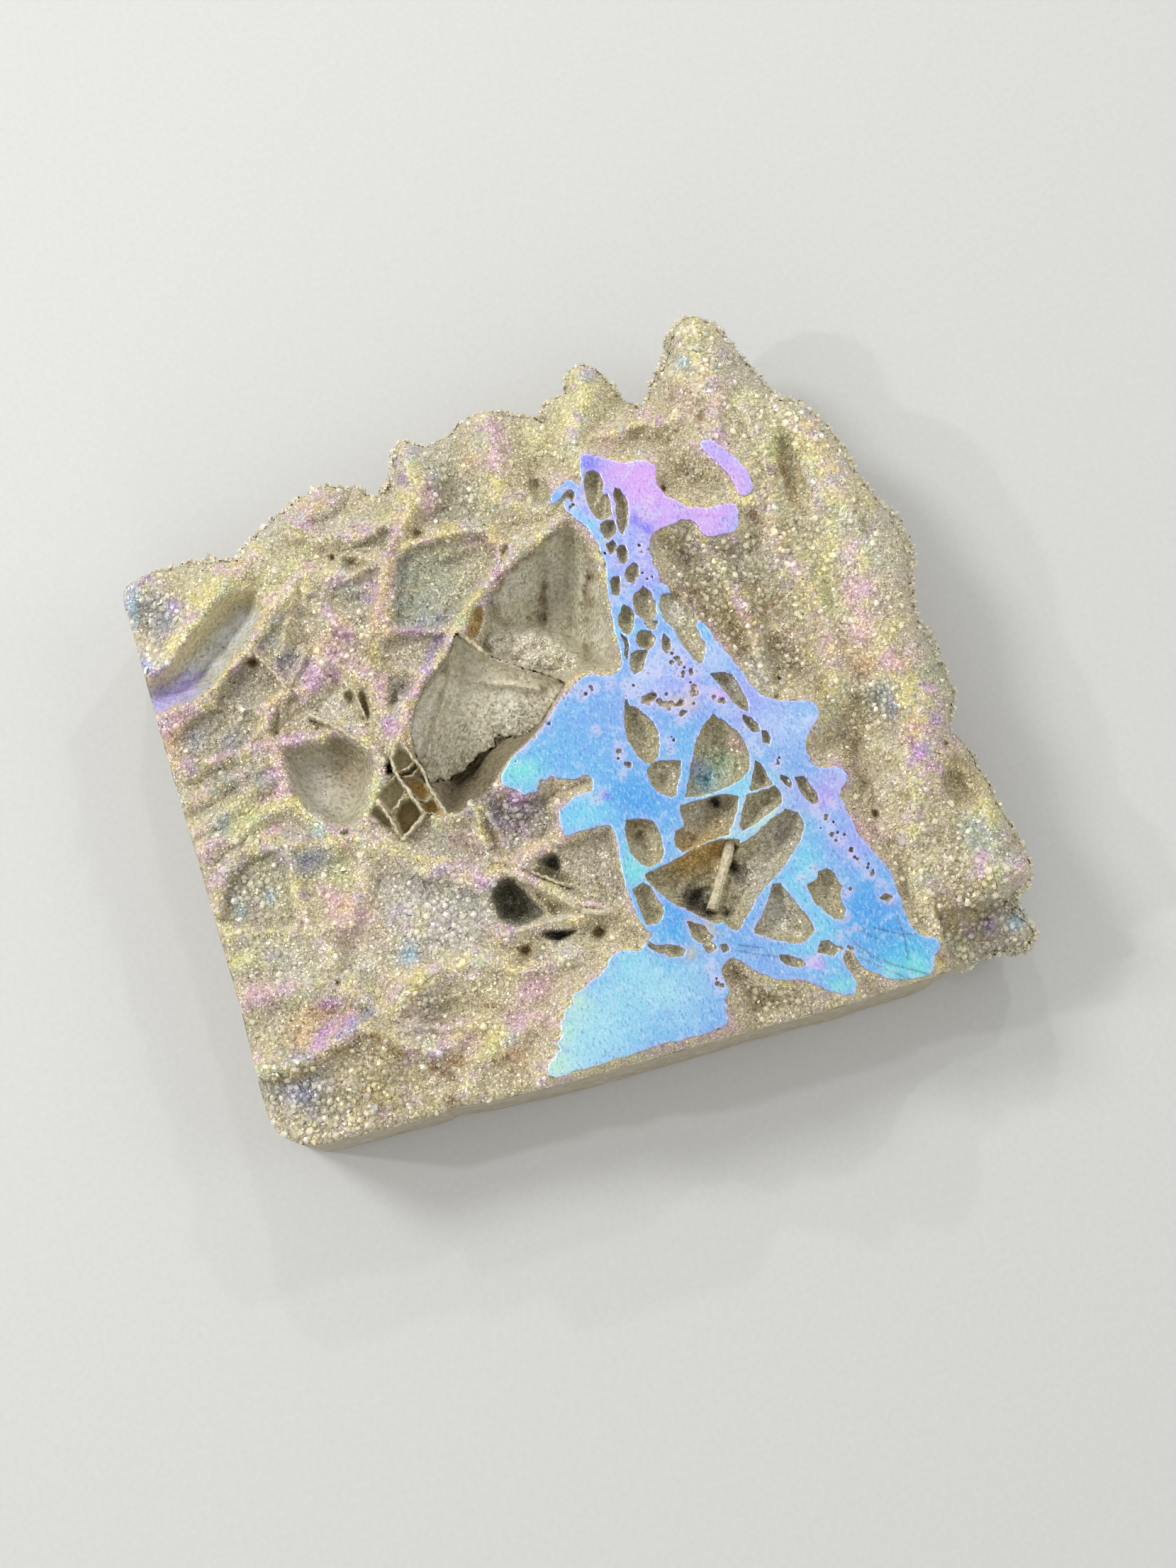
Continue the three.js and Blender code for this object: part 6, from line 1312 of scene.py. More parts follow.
def build_plate():
    """The thin smooth plate that roofs the vug's lower chamber, with its scalloped free edge."""
    field = lambda u, v: depth_inside(*strayed(u, v, 0.16, 0.7, 46), PLATE, passes=0)
    u, v = snapped_grid((29, 41), (53, 63), PLATE_STEP, field)
    top = placed(u, v, plate_height(u, v))
    thickness = 1.0 + 0.25 * bumps(u, v, 2, 41)
    bottom = top - thickness[..., None] * np.array([0, 0, 1])
    quads = quads_where(snapped(field(u, v), PLATE_STEP))
    tint = toward(washed(u, v, WALL_HUES, WALL_WASHES, 0.8), "#E2DCC4", PLATE_PALE)
    _, (tint,) = used_only(quads, tint)
    points, faces = closed_sheet(quads, top, bottom)
    # The underside gets half the tint: painted shade under the plate.
    add_piece("vug_plate", points, faces, bare_quartz(), np.vstack([tint, 0.5 * tint]), smooth=True)


# A thin wall's rounded section, in thicknesses: across from its middle, down from its crest. None is its foot.
BLADE_PROFILE = (
    (0.5, None), (0.5, 0.5), (0.42, 0.2), (0.16, 0), (-0.16, 0), (-0.42, 0.2), (-0.5, 0.5), (-0.5, None))


def wall_mesh(thickness, top, foot, course, seed):
    """A thin upright wall along a course: its points and quads."""
    rng = np.random.default_rng(seed)
    line = resampled(course, BLADE_STEP)
    u, v = line.T
    ends = np.minimum(np.arange(len(u)), np.arange(len(u))[::-1]) * BLADE_STEP
    rough = min(1, 0.4 / thickness)
    crest = top + 0.35 * bumps(u, v, 1.3, 51) + 0.2 * rough * bumps(u, v, 0.6, 52) - 0.5 * bell(ends, 0.5)
    along = np.gradient(line, axis=0)
    across = np.stack([-along[:, 1], along[:, 0]], axis=1) / (np.linalg.norm(along, axis=1)[:, None] + 1e-9)
    across = across * (1 + 0.3 * rough * rng.uniform(-1, 1, len(u)))[:, None]
    middle = placed(u, v, crest)
    middle[:, :2] += 0.12 * rough * across * rng.uniform(-1, 1, (len(u), 1))
    rows = []
    for side, down in BLADE_PROFILE:
        row = middle.copy()
        row[:, :2] += side * thickness * across
        row[:, 2] = foot if down is None else crest - down * thickness
        rows.append(row)
    points = np.stack(rows, axis=1).reshape(-1, 3)
    wide = len(BLADE_PROFILE)
    ring = np.arange(len(u) - 1) * wide
    bottom = np.stack([ring + wide - 1, ring, ring + wide, ring + 2 * wide - 1], axis=1)
    caps = np.array([[7, 6, 1, 0], [6, 5, 2, 1], [5, 4, 3, 2]])  # three quads close each end
    last = wide * (len(u) - 1)
    return points, np.vstack([grid_quads(len(u), wide), bottom, caps, caps[:, ::-1] + last])


def build_blades():
    """The thin standing walls of the boxwork."""
    points, quads, tints, count = [], [], [], 0
    for seed, (thickness, top, foot, *course) in enumerate(BLADES):
        top = top + BLADE_LIFT
        flat, faces = wall_mesh(thickness, top, foot, course, seed)
        colour = washed(*apparent(flat), {"cream": "#C6BB9C", **DRUSE_HUES}, DRUSE_WASHES, 0.8)
        # Painted shade: each wall is darkened toward its foot, down in the hollows.
        deep = slope((top - flat[:, 2] - 0.5) / 5)[:, None]
        points.append(flat)
        quads.append(faces + count)
        tints.append(colour * (1 - 0.35 * deep))
        count += len(flat)
    add_piece("boxwork_blades", np.vstack(points), [np.vstack(quads)], bare_quartz(), np.vstack(tints))


def apparent(spots):
    """Where points in the frame, in mm, look to be on the face."""
    share = (FACE - spots[..., 2]) / (EYE[2] - FACE)
    u = (spots[..., 0] - CORNER[0] + share * EYE[0]) / (1 + share)
    v = (spots[..., 1] - CORNER[1] + share * EYE[1]) / (1 + share)
    return u, v


# Quartz points.

def quartz_points(middles, outwards, width, stand, shaft, rng):
    """Six-sided points, on a short shaft or none: their corners and faces. stand is height against width."""
    count = len(middles)
    helper = np.where(np.abs(outwards[:, :1]) < 0.8, [[1.0, 0, 0]], [[0, 1.0, 0]])
    side = np.cross(outwards, helper)
    side /= np.linalg.norm(side, axis=1, keepdims=True)
    other = np.cross(outwards, side)
    angles = rng.uniform(0, pi / 3, (count, 1)) + np.arange(6) * pi / 3
    uneven = 1 + 0.3 * rng.uniform(-1, 1, (count, 6))
    ring = (np.cos(angles) * uneven)[..., None] * side[:, None]
    ring += (np.sin(angles) * uneven)[..., None] * other[:, None]
    radius = (width / 2)[:, None, None]
    middles, outwards = middles[:, None], outwards[:, None]
    rise = (width * stand)[:, None, None]
    foot = middles + radius * ring * 1.05 - 0.45 * radius * outwards
    shoulder = middles + radius * ring * 0.98 + 0.42 * rise * outwards
    rings = [foot, shoulder] if shaft else [foot]
    corners = 6 * len(rings)
    drift = rng.uniform(-0.22, 0.22, (count, 1, 2))
    drift = drift[..., :1] * side[:, None] + drift[..., 1:] * other[:, None]
    tip = middles + rise * outwards + radius * drift
    points = np.concatenate([*rings, tip], axis=1).reshape(-1, 3)
    k = np.arange(6)
    ahead = (k + 1) % 6
    cap = np.stack([k, ahead, np.full(6, 6)], axis=1) + 6 * shaft
    first = (corners + 1) * np.arange(count)[:, None, None]
    walls = (first + np.stack([k, ahead, ahead + 6, k + 6], axis=1)).reshape(-1, 4) if shaft else []
    return points, [walls, (first + cap).reshape(-1, 3)]


def leaning(outwards, lean, rng):
    """Outward directions, each leaning by a random amount."""
    leaned = outwards + np.tan(lean) * rng.normal(0, 0.7, outwards.shape)
    return leaned / np.linalg.norm(leaned, axis=1, keepdims=True)


def glittering(tint, glitter, rng):
    """Each point's own tint, which strays from its surroundings towards one of the druse's hues."""
    hues = np.array([linear(hexcode)[:3] for hexcode in GLITTER])[rng.integers(0, len(GLITTER), len(tint))]
    stray = (glitter * rng.uniform(0, 1, len(tint)) ** 1.6)[:, None]
    shade = rng.uniform(0.68, 1.28, (len(tint), 1))
    return np.clip((tint + stray * (hues - tint)) * shade, 0, 1)


def add_points(name, middles, outwards, width, stand, tint, glitter, lean, shaft, rng):
    """One piece of quartz points at the given places."""
    outwards = leaning(outwards, lean, rng)
    points, faces = quartz_points(middles, outwards, width, stand, shaft, rng)
    colours = np.repeat(glittering(tint, glitter, rng), len(points) // len(middles), axis=0)
    add_piece(name, points, faces, coated_druse(), colours)


def lattice(low, high, spacing, rng):
    """Scattered places at even crowding."""
    rows = np.arange(low[1], high[1], spacing * 0.866)
    u, v = np.meshgrid(np.arange(low[0], high[0], spacing), rows)
    u = u + 0.5 * spacing * (np.arange(len(rows))[:, None] % 2)
    jitter = 0.42 * spacing * rng.uniform(-1, 1, (2, *u.shape))
    return (u + jitter[0]).ravel(), (v + jitter[1]).ravel()


def sampled(relief, u, v, *fields):
    """Each field of the face grid at the places (u, v)."""
    step = relief.step
    i, j = (u - GRID_LOW[0]) / step, (v - GRID_LOW[1]) / step
    a, b = np.clip(i.astype(int), 0, relief.u.shape[1] - 2), np.clip(j.astype(int), 0, relief.u.shape[0] - 2)
    fa, fb = i - a, j - b
    results = []
    for field in fields:
        ga, gb = (fa[:, None], fb[:, None]) if field.ndim == 3 else (fa, fb)
        near = field[b, a] * (1 - ga) + field[b, a + 1] * ga
        far = field[b + 1, a] * (1 - ga) + field[b + 1, a + 1] * ga
        results.append(near * (1 - gb) + far * gb)
    return results


def grain_at(u, v):
    """How wide a point grows here against the common one."""
    grain = np.ones(u.shape)
    for size, radius, *places in GRAIN_ZONES:
        for middle in places:
            grain += spot(u, v, middle, radius) * (size - grain)
    return grain


def build_druse(context):
    """The quartz points over the druse, the cells and the vug's ledge."""
    settings = context.scene.boxwork_druse
    relief = face_from(context)
    common = settings.width / MM
    kinds = (("druse_coarse", COARSE_SIZE, True, COARSE_COUNT), ("druse_common", 1.0, False, COMMON_COUNT))
    for seed, (name, size, shaft, most) in enumerate(kinds):
        rng = np.random.default_rng(100 + seed)
        u, v = lattice(GRID_LOW, DRUSE_HIGH, common * size * settings.crowding, rng)
        inside, polished, bare, cell, ledge, steep, z = sampled(
            relief, u, v, relief.inside, relief.polished, relief.bare, relief.cell, relief.ledge,
            relief.outward[..., 2], relief.z)
        grain = grain_at(u, v) * (1 + 0.2 * rng.normal(0, 1, u.shape))
        beside_web = np.clip((-polished - 0.1) / 0.8, 0, 1)
        grain = np.clip(np.minimum(grain, 0.55 + 1.2 * beside_web), 0.5, 1.8)
        share = np.clip(0.9 * grain - 1.0, 0.015, 0.55) if shaft else 1 / np.maximum(grain, 1) ** 2
        share = share * (1 - np.minimum(1, bare * (1 - ledge) * 1.25))
        grain = np.where(cell > 0.02, 0.6, grain)
        free = (cell < 0.02) | ((steep > 0.3) & (z < FACE - 1) & (not shaft))
        chosen = (inside > 0.15) & (polished < -0.1 - 0.5 * shaft) & free
        chosen &= rng.uniform(0, 1, u.shape) < share
        u, v, grain = u[chosen], v[chosen], grain[chosen]
        middles, outwards, tint, stands = sampled(
            relief, u, v, relief.spots, relief.outward, relief.tint, relief.stands)
        outwards = outwards + 0.15 * np.array([0, 0, 1])
        outwards /= np.linalg.norm(outwards, axis=1, keepdims=True)
        width = common * size * rng.uniform(0.75, 1.25, len(u)) * (1 if shaft else grain)
        stand = rng.uniform(0.35, 0.65, len(u))
        glitter = settings.glitter * np.clip(1 + 0.6 * stands, 0.5, 1.5) * (1.4 if shaft else 1)
        tint = toward(tint, "#F4EFDC", 0.25 if shaft else 0)
        for part in range(0, len(u), most):
            some = slice(part, part + most)
            number = f"_{part // most + 1}" if len(u) > most else ""
            add_points(name + number, middles[some], outwards[some], width[some], stand[some], tint[some],
                       glitter[some], settings.lean * (1.4 if shaft else 1), shaft, rng)


# Sides and back.

@lru_cache(maxsize=1)
def side_rows(rim_heights):
    """The rows of points down the slab's sides, from just under the face to the sawn back."""
    line, natural = edge_line()
    heights = np.array(rim_heights)
    top = placed(line[:, 0], line[:, 1], heights)
    along = np.roll(top, -TURN_SPAN, axis=0)[:, :2] - np.roll(top, TURN_SPAN, axis=0)[:, :2]
    outward = np.stack([along[:, 1], -along[:, 0]], axis=1)
    outward /= np.linalg.norm(outward, axis=1, keepdims=True)
    around = np.concatenate([natural[-6:], natural, natural[:6]])
    smooth_natural = np.convolve(around, np.full(13, 1 / 13), "valid")
    s = np.arange(len(line)) * EDGE_STEP
    rows = []
    for share in np.linspace(0, 1, SIDE_ROWS):
        z = heights * (1 - share)
        lump = 1.1 * bumps(s, z, 5, 61) + 0.6 * bumps(s, z, 2.2, 62) + 0.3 * bumps(s, z, 1, 63)
        bulge = 1.2 * np.sin(pi * min(1, 1.6 * share)) + lump * min(1, 5 * share) - 3.2 * share**2
        ground = -0.7 * np.clip(1 - z / 0.7, 0, 1) + 0.03 * bumps(s, z, 1, 64)
        offset = smooth_natural * bulge + (1 - smooth_natural) * ground
        rows.append(np.column_stack([top[:, :2] + offset[:, None] * outward, z]))
    return np.array(rows), natural, smooth_natural


def rim_heights(context):
    """The surface's height along the slab's edge."""
    relief = face_from(context)
    line, _ = edge_line()
    (z,) = sampled(relief, *line.T, relief.z)
    return tuple(np.round(z - 0.02, 3))


def build_sides(context):
    """The sawn and the natural sides."""
    rows, natural, share = side_rows(rim_heights(context))
    count, around = rows.shape[:2]
    k = np.arange(around)
    quads = []
    for row in range(count - 1):
        a, b = row * around, (row + 1) * around
        quads.append(np.stack([a + k, b + k, b + (k + 1) % around, a + (k + 1) % around], axis=1))
    quads = np.array(quads)
    u, v = apparent(rows)
    tint = washed(u, v, DRUSE_HUES, DRUSE_WASHES)
    sawn_tint = np.array(linear("#A69B84")[:3]) * (1 + 0.1 * bumps(u * 2, rows[..., 2], 2, 65))[..., None]
    tint = toward(sawn_tint, tint, share)
    flat = rows.reshape(-1, 3)
    is_natural = natural & np.roll(natural, -1)
    kinds = (("natural_sides", is_natural, druse_ground()), ("sawn_sides", ~is_natural, sawn_quartz()))
    for name, chosen, material in kinds:
        some = quads[:, chosen].reshape(-1, 4)
        used, again = np.unique(some, return_inverse=True)
        extra = {"bare": np.zeros(len(used))} if name == "natural_sides" else {}
        add_piece(name, flat[used], [again.reshape(some.shape)], material, tint.reshape(-1, 3)[used],
                  smooth=name == "natural_sides", **extra)
    build_side_points(context, rows, is_natural)


def build_side_points(context, rows, is_natural):
    """The coarser points on the natural sides."""
    settings = context.scene.boxwork_druse
    rng = np.random.default_rng(200)
    count, around = rows.shape[:2]
    outward = np.cross(np.roll(rows, -1, axis=1) - rows, np.gradient(rows, axis=0))
    outward /= np.linalg.norm(outward, axis=-1, keepdims=True) + 1e-9
    if np.mean(outward[count // 2, :, :2] * (rows[count // 2, :, :2] - rows[..., :2].mean(axis=(0, 1)))) < 0:
        outward = -outward
    width = settings.side_width / MM
    number = int(len(is_natural) * EDGE_STEP * SIDE_REACH / (width * settings.crowding) ** 2 * 1.1)
    i, j = rng.integers(0, around, number), rng.integers(1, count - 3, number)
    keep = is_natural[i]
    i, j = i[keep], j[keep]
    middles = rows[j, i] + rng.uniform(-0.3, 0.3, (len(i), 3))
    keep = middles[:, 2] > 1.2
    middles, outwards = middles[keep], outward[j[keep], i[keep]]
    u, v = apparent(middles)
    tint = toward(washed(u, v, DRUSE_HUES, DRUSE_WASHES), "#E6E0CC", 0.35)
    size = width * rng.uniform(0.5, 1.25, len(u))
    glitter = np.full(len(u), 0.8 * settings.glitter)
    add_points("druse_on_sides", middles, outwards, size, rng.uniform(0.5, 0.9, len(u)), tint, glitter,
               settings.lean, False, rng)


def build_back(context):
    """The sawn back with its open cells."""
    rows, _, _ = side_rows(rim_heights(context))
    foot = rows[-1, :, :2] - CORNER
    inside_foot = lambda x, y: depth_inside(x, y, foot, passes=0)
    x, y = snapped_grid(GRID_LOW, GRID_HIGH, BACK_STEP, inside_foot)
    z, walls = np.zeros((2, *x.shape))
    for depth, *mouth in BACK_CELLS:
        within = depth_inside(x, y, mouth, reach=2, passes=2)
        z = np.where(within > 0, np.minimum(depth + 0.3 * bumps(x, y, 1.5, 71), 3.5 * within), z)
        walls = np.maximum(walls, slope(within / 0.5))
    spots = np.stack([x + CORNER[0], y + CORNER[1], z], axis=-1)
    shade = 1 + 0.14 * bumps(x, y, 7, 72) + 0.08 * bumps(x, y, 2, 73)
    tint = toward(np.array(linear("#A3977F")[:3]) * shade[..., None], "#7F6E4C", walls)
    quads = quads_where(snapped(inside_foot(x, y), BACK_STEP))
    quads, (spots, tint) = used_only(quads, spots, tint)
    add_piece("sawn_back", spots, [quads[:, ::-1]], sawn_quartz(), tint)


# Materials. A pattern's scale is worked out from its size in millimetres.

QUARTZ_IOR = 1.54
COLOURS = {"output": 2, "data_type": "RGBA"}  # makes a Mix node mix colours: share in 0, colours in 6 and 7


def add_node(tree, kind, inputs=(), output=0, **settings):
    """Adds a node with its settings, sets or links its inputs by name or number, and gives one output."""
    made = tree.nodes.new("ShaderNode" + kind)
    for name, value in settings.items():
        setattr(made, name, value)
    for name, value in inputs.items() if isinstance(inputs, dict) else enumerate(inputs):
        if isinstance(value, bpy.types.NodeSocket):
            tree.links.new(value, made.inputs[name])
        else:
            made.inputs[name].default_value = value
    return made.outputs[output] if made.outputs else None


def per_mm(size):
    """A texture scale that gives features of this size in mm."""
    return 1 / (size * MM)


def start_material(name):
    """A new material, what adds its nodes, the tint of the mesh and the object's own coordinates."""
    material = bpy.data.materials.new(name)
    material.use_nodes = True
    material.node_tree.nodes.clear()
    add = partial(add_node, material.node_tree)
    tint = add("Attribute", output="Color", attribute_name="tint")
    return material, add, tint, add("TexCoord", output="Object")


def finish_material(add, inputs):
    """Gives a material its shader and output."""
    add("OutputMaterial", {"Surface": add("BsdfPrincipled", inputs)})


def grain_normals(add, place, size, lean):
    """Grains of this size in mm: outward directions that each lean their own way, and their cell texture."""
    grains = add("TexVoronoi", {"Vector": place, "Scale": per_mm(size), "Randomness": 1.0})
    stray = add("VectorMath", (grains.node.outputs["Color"], (0.5, 0.5, 0.5)), operation="SUBTRACT")
    stray = add("VectorMath", {0: stray, "Scale": lean}, operation="SCALE")
    leaned = add("VectorMath", (add("NewGeometry", output="Normal"), stray), operation="ADD")
    return add("VectorMath", (leaned,), operation="NORMALIZE"), grains


@lru_cache(maxsize=None)
def coated_web():
    """Quartz left from the saw and vapour-coated with metal: a satin blue, crusted with tiny bubbles."""
    material, add, tint, place = start_material("aura_coated_sawn_quartz")
    crust = add("Attribute", output="Fac", attribute_name="crust")
    # The coat's thickness drifts in clouds of 1.6 mm, and its surface has the fine tooth that the saw left.
    cloud = add("TexNoise", {"Vector": place, "Scale": per_mm(1.6), "Detail": 5.0, "Roughness": 0.65})
    fine = add("TexNoise", {"Vector": place, "Scale": per_mm(0.3), "Detail": 3.0})
    # The saw's strokes are finer than the render shows, so they are drawn 0.32 mm wide, pale or as sunk pits
    # darkened by painted shade.
    drawn = add("Mapping", {"Vector": place, "Rotation": (0.0, 0.0, radians(50)), "Scale": (1.0, 0.45, 1.0)})
    strokes = add("TexNoise", {"Vector": drawn, "Scale": per_mm(0.32), "Detail": 4.0, "Roughness": 0.6})
    pitted = add("MapRange", (strokes, 0.55, 0.68, 0.0, 0.7))
    rubbed = add("MapRange", (strokes, 0.34, 0.45, 0.5, 0.0))
    froth = add("TexVoronoi", {"Vector": place, "Scale": per_mm(0.6), "Randomness": 1.0})
    hollow = add("MapRange", (froth, 0.2, 0.4, 0.8, 0.0))
    colour = tint
    for hue, share in (("#C2D8F6", add("MapRange", (cloud, 0.34, 0.48, 0.42, 0.0))),
                       ("#8E9AE6", add("MapRange", (cloud, 0.54, 0.68, 0.0, 0.4))),
                       ("#D2E4F6", rubbed), ("#3D6FAE", pitted)):
        colour = add("Mix", {0: share, 6: colour, 7: linear(hue)}, **COLOURS)
    crusty = add("Mix", {0: 0.5, 6: linear("#CDC3D6"), 7: tint}, **COLOURS)
    # Painted shade in the froth's hollows: they darken toward grey-lilac.
    crusty = add("Mix", {0: hollow, 6: crusty, 7: linear("#8C88AC")}, **COLOURS)
    colour = add("Mix", {0: add("MapRange", (crust, 0.0, 1.0, 0.0, 0.85)), 6: colour, 7: crusty}, **COLOURS)
    shade = add("CombineColor", (add("MapRange", (fine, 0.3, 0.7, 0.9, 1.08)),) * 3)
    colour = add("Mix", {0: 1.0, 6: colour, 7: shade}, blend_type="MULTIPLY", **COLOURS)
    sunk = add("Math", (hollow, crust), operation="MULTIPLY")
    sunk = add("Math", (pitted, 0.5, sunk), operation="MULTIPLY_ADD")
    height = add("Math", (fine, 0.4, sunk), operation="MULTIPLY_ADD")
    bump = add("Bump", {"Height": height, "Strength": 0.5, "Distance": 0.08 * MM}, invert=True)
    finish_material(add, {"Base Color": colour, "Metallic": add("MapRange", (crust, 0.0, 1.0, 0.35, 0.05)),
                          "Roughness": add("MapRange", (fine, 0.3, 0.7, 0.3, 0.46)), "IOR": QUARTZ_IOR,
                          "Normal": bump})
    return material


@lru_cache(maxsize=None)
def coated_druse():
    """Grown quartz points, vapour-coated: glassy faces under a thin metallic film, so they glitter."""
    material, add, tint, place = start_material("aura_coated_druse")
    mottle = add("TexNoise", {"Vector": place, "Scale": per_mm(0.5), "Detail": 2.0})
    pale = add("MapRange", (mottle, 0.55, 0.75, 0.0, 0.3))
    finish_material(add, {"Base Color": add("Mix", {0: pale, 6: tint, 7: linear("#F1ECDD")}, **COLOURS),
                          "Metallic": 0.2, "Roughness": add("MapRange", (mottle, 0.3, 0.7, 0.26, 0.44)),
                          "IOR": QUARTZ_IOR})
    return material


@lru_cache(maxsize=None)
def druse_ground():
    """The crust under the quartz points, of grains too fine to model: sugary where rough, waxy where bare."""
    material, add, tint, place = start_material("druse_crust")
    bare = add("Attribute", output="Fac", attribute_name="bare")
    # The crust's own grains are finer than the render shows, so they are drawn 0.34 mm wide.
    leaned, grains = grain_normals(add, place, 0.34, add("MapRange", (bare, 0.0, 1.0, 1.2, 0.9)))
    fine = add("TexNoise", {"Vector": place, "Scale": per_mm(0.3), "Detail": 4.0})
    bright = add("TexVoronoi", {"Vector": place, "Scale": per_mm(0.9), "Randomness": 1.0})
    specks = add("CombineColor", (add("RGBToBW", (grains.node.outputs["Color"],)),) * 3)
    share = add("MapRange", (bare, 0.0, 1.0, 0.6, 0.55))
    colour = add("Mix", {0: share, 6: tint, 7: specks}, blend_type="SOFT_LIGHT", **COLOURS)
    # Painted shade between the grains: each grain darkens toward its edge, less where the crust is bare.
    edge = add("Mix", {0: bare, 2: add("MapRange", (grains, 0.3, 0.8, 1.0, 0.7)), 3: 0.97})
    edge = add("CombineColor", (edge,) * 3)
    colour = add("Mix", {0: 1.0, 6: colour, 7: edge}, blend_type="MULTIPLY", **COLOURS)
    # Painted glints: a pale speck at the middle of each 0.9 mm cell, fading out where the crust is bare.
    painted_glint = add("Mix", {0: bare, 2: add("MapRange", (bright, 0.12, 0.22, 0.45, 0.0)), 3: 0.0})
    colour = add("Mix", {0: painted_glint, 6: colour, 7: linear("#F3EFE0")}, **COLOURS)
    lumps = add("Mix", {0: bare, 2: grains, 3: fine})
    bump = add("Bump", {"Height": lumps, "Strength": 0.5, "Distance": 0.08 * MM, "Normal": leaned},
               invert=True)
    finish_material(add, {"Base Color": colour, "Metallic": add("MapRange", (bare, 0.0, 1.0, 0.2, 0.03)),
                          "Roughness": add("MapRange", (bare, 0.0, 1.0, 0.36, 0.6)), "IOR": QUARTZ_IOR,
                          "Normal": bump})
    return material


@lru_cache(maxsize=None)
def bare_quartz():
    """Smooth quartz walls, grown against mineral that has gone: waxy, pale and faintly rippled."""
    material, add, tint, place = start_material("smooth_quartz_wall")
    ripple = add("TexNoise", {"Vector": place, "Scale": per_mm(0.9), "Detail": 5.0})
    fine = add("TexNoise", {"Vector": place, "Scale": per_mm(0.25), "Detail": 2.0})
    leaned, grains = grain_normals(add, place, 0.3, 0.8)
    shade = add("CombineColor", (add("MapRange", (ripple, 0.3, 0.7, 0.85, 1.12)),) * 3)
    colour = add("Mix", {0: 1.0, 6: tint, 7: shade}, blend_type="MULTIPLY", **COLOURS)
    specks = add("CombineColor", (add("RGBToBW", (grains.node.outputs["Color"],)),) * 3)
    colour = add("Mix", {0: 0.5, 6: colour, 7: specks}, blend_type="SOFT_LIGHT", **COLOURS)
    height = add("Math", (ripple, 0.4, fine), operation="MULTIPLY_ADD")
    bump = add("Bump", {"Height": height, "Strength": 0.5, "Distance": 0.1 * MM, "Normal": leaned})
    finish_material(add, {"Base Color": colour, "Metallic": 0.06, "IOR": QUARTZ_IOR, "Normal": bump,
                          "Roughness": add("MapRange", (fine, 0.3, 0.7, 0.42, 0.6))})
    return material


@lru_cache(maxsize=None)
def sawn_quartz():
    """Quartz boxwork as the saw left it, uncoated: dull, with paler walls where cells were cut through."""
    material, add, tint, place = start_material("sawn_quartz")
    # Cut walls round cells of 4.5 mm, moved by up to 3 mm so that they don't run straight.
    warp = add("TexNoise", {"Vector": place, "Scale": per_mm(3), "Detail": 3.0}, "Color")
    moved = add("VectorMath", (warp, (3.0 * MM,) * 3), operation="MULTIPLY")
    moved = add("VectorMath", (place, moved), operation="ADD")
    walls = add("TexVoronoi", {"Vector": moved, "Scale": per_mm(4.5)}, feature="DISTANCE_TO_EDGE")
    fine = add("TexNoise", {"Vector": place, "Scale": per_mm(0.4), "Detail": 5.0})
    shade = add("CombineColor", (add("MapRange", (fine, 0.3, 0.7, 0.78, 1.15)),) * 3)
    colour = add("Mix", {0: 1.0, 6: tint, 7: shade}, blend_type="MULTIPLY", **COLOURS)
    wall = add("MapRange", (walls, 0.01, 0.07, 0.4, 0.0))
    colour = add("Mix", {0: wall, 6: colour, 7: linear("#D2C9B4")}, **COLOURS)
    marks = add("TexWave", {"Vector": place, "Scale": per_mm(20), "Distortion": 2.0, "Detail": 1.0}, "Fac")
    height = add("Math", (marks, 0.3, fine), operation="MULTIPLY_ADD")
    bump = add("Bump", {"Height": height, "Strength": 0.4, "Distance": 0.08 * MM})
    finish_material(add, {"Base Color": colour, "Roughness": add("MapRange", (fine, 0.3, 0.7, 0.5, 0.7)),
                          "IOR": QUARTZ_IOR, "Normal": bump})
    return material


def floor_paint(colour):
    """Matte painted board: an even pale ground with the faintest tooth."""
    material, add, _, place = start_material("matte_painted_board")
    tooth = add("TexNoise", {"Vector": place, "Scale": per_mm(0.8), "Detail": 3.0})
    shade = add("MapRange", (tooth, 0.3, 0.7, 0.0, 0.06))
    bump = add("Bump", {"Height": tooth, "Strength": 0.15, "Distance": 0.05 * MM})
    paint = add("Mix", {0: shade, 6: (*colour, 1), 7: linear("#FFFFFF")}, **COLOURS)
    finish_material(add, {"Base Color": paint, "Roughness": 0.75, "Normal": bump})
    return material


# Stage.

LIGHTS = [  # name, place in m, size in m, share of the key's power
    ("key", (-0.42, 0.34, 0.55), 0.2, 1.0), ("fill", (0.5, -0.1, 0.5), 0.4, 0.25),
    ("low", (-0.1, -0.6, 0.35), 0.3, 0.15),
    ("glint_left", (-0.3, 0.05, 0.3), 0.02, 0.12), ("glint_right", (0.25, 0.3, 0.4), 0.02, 0.12),
    ("glint_back", (0.05, 0.4, 0.35), 0.02, 0.12),
]
VIEW_ELEVATION, VIEW_AZIMUTH = radians(78), radians(-14.55)


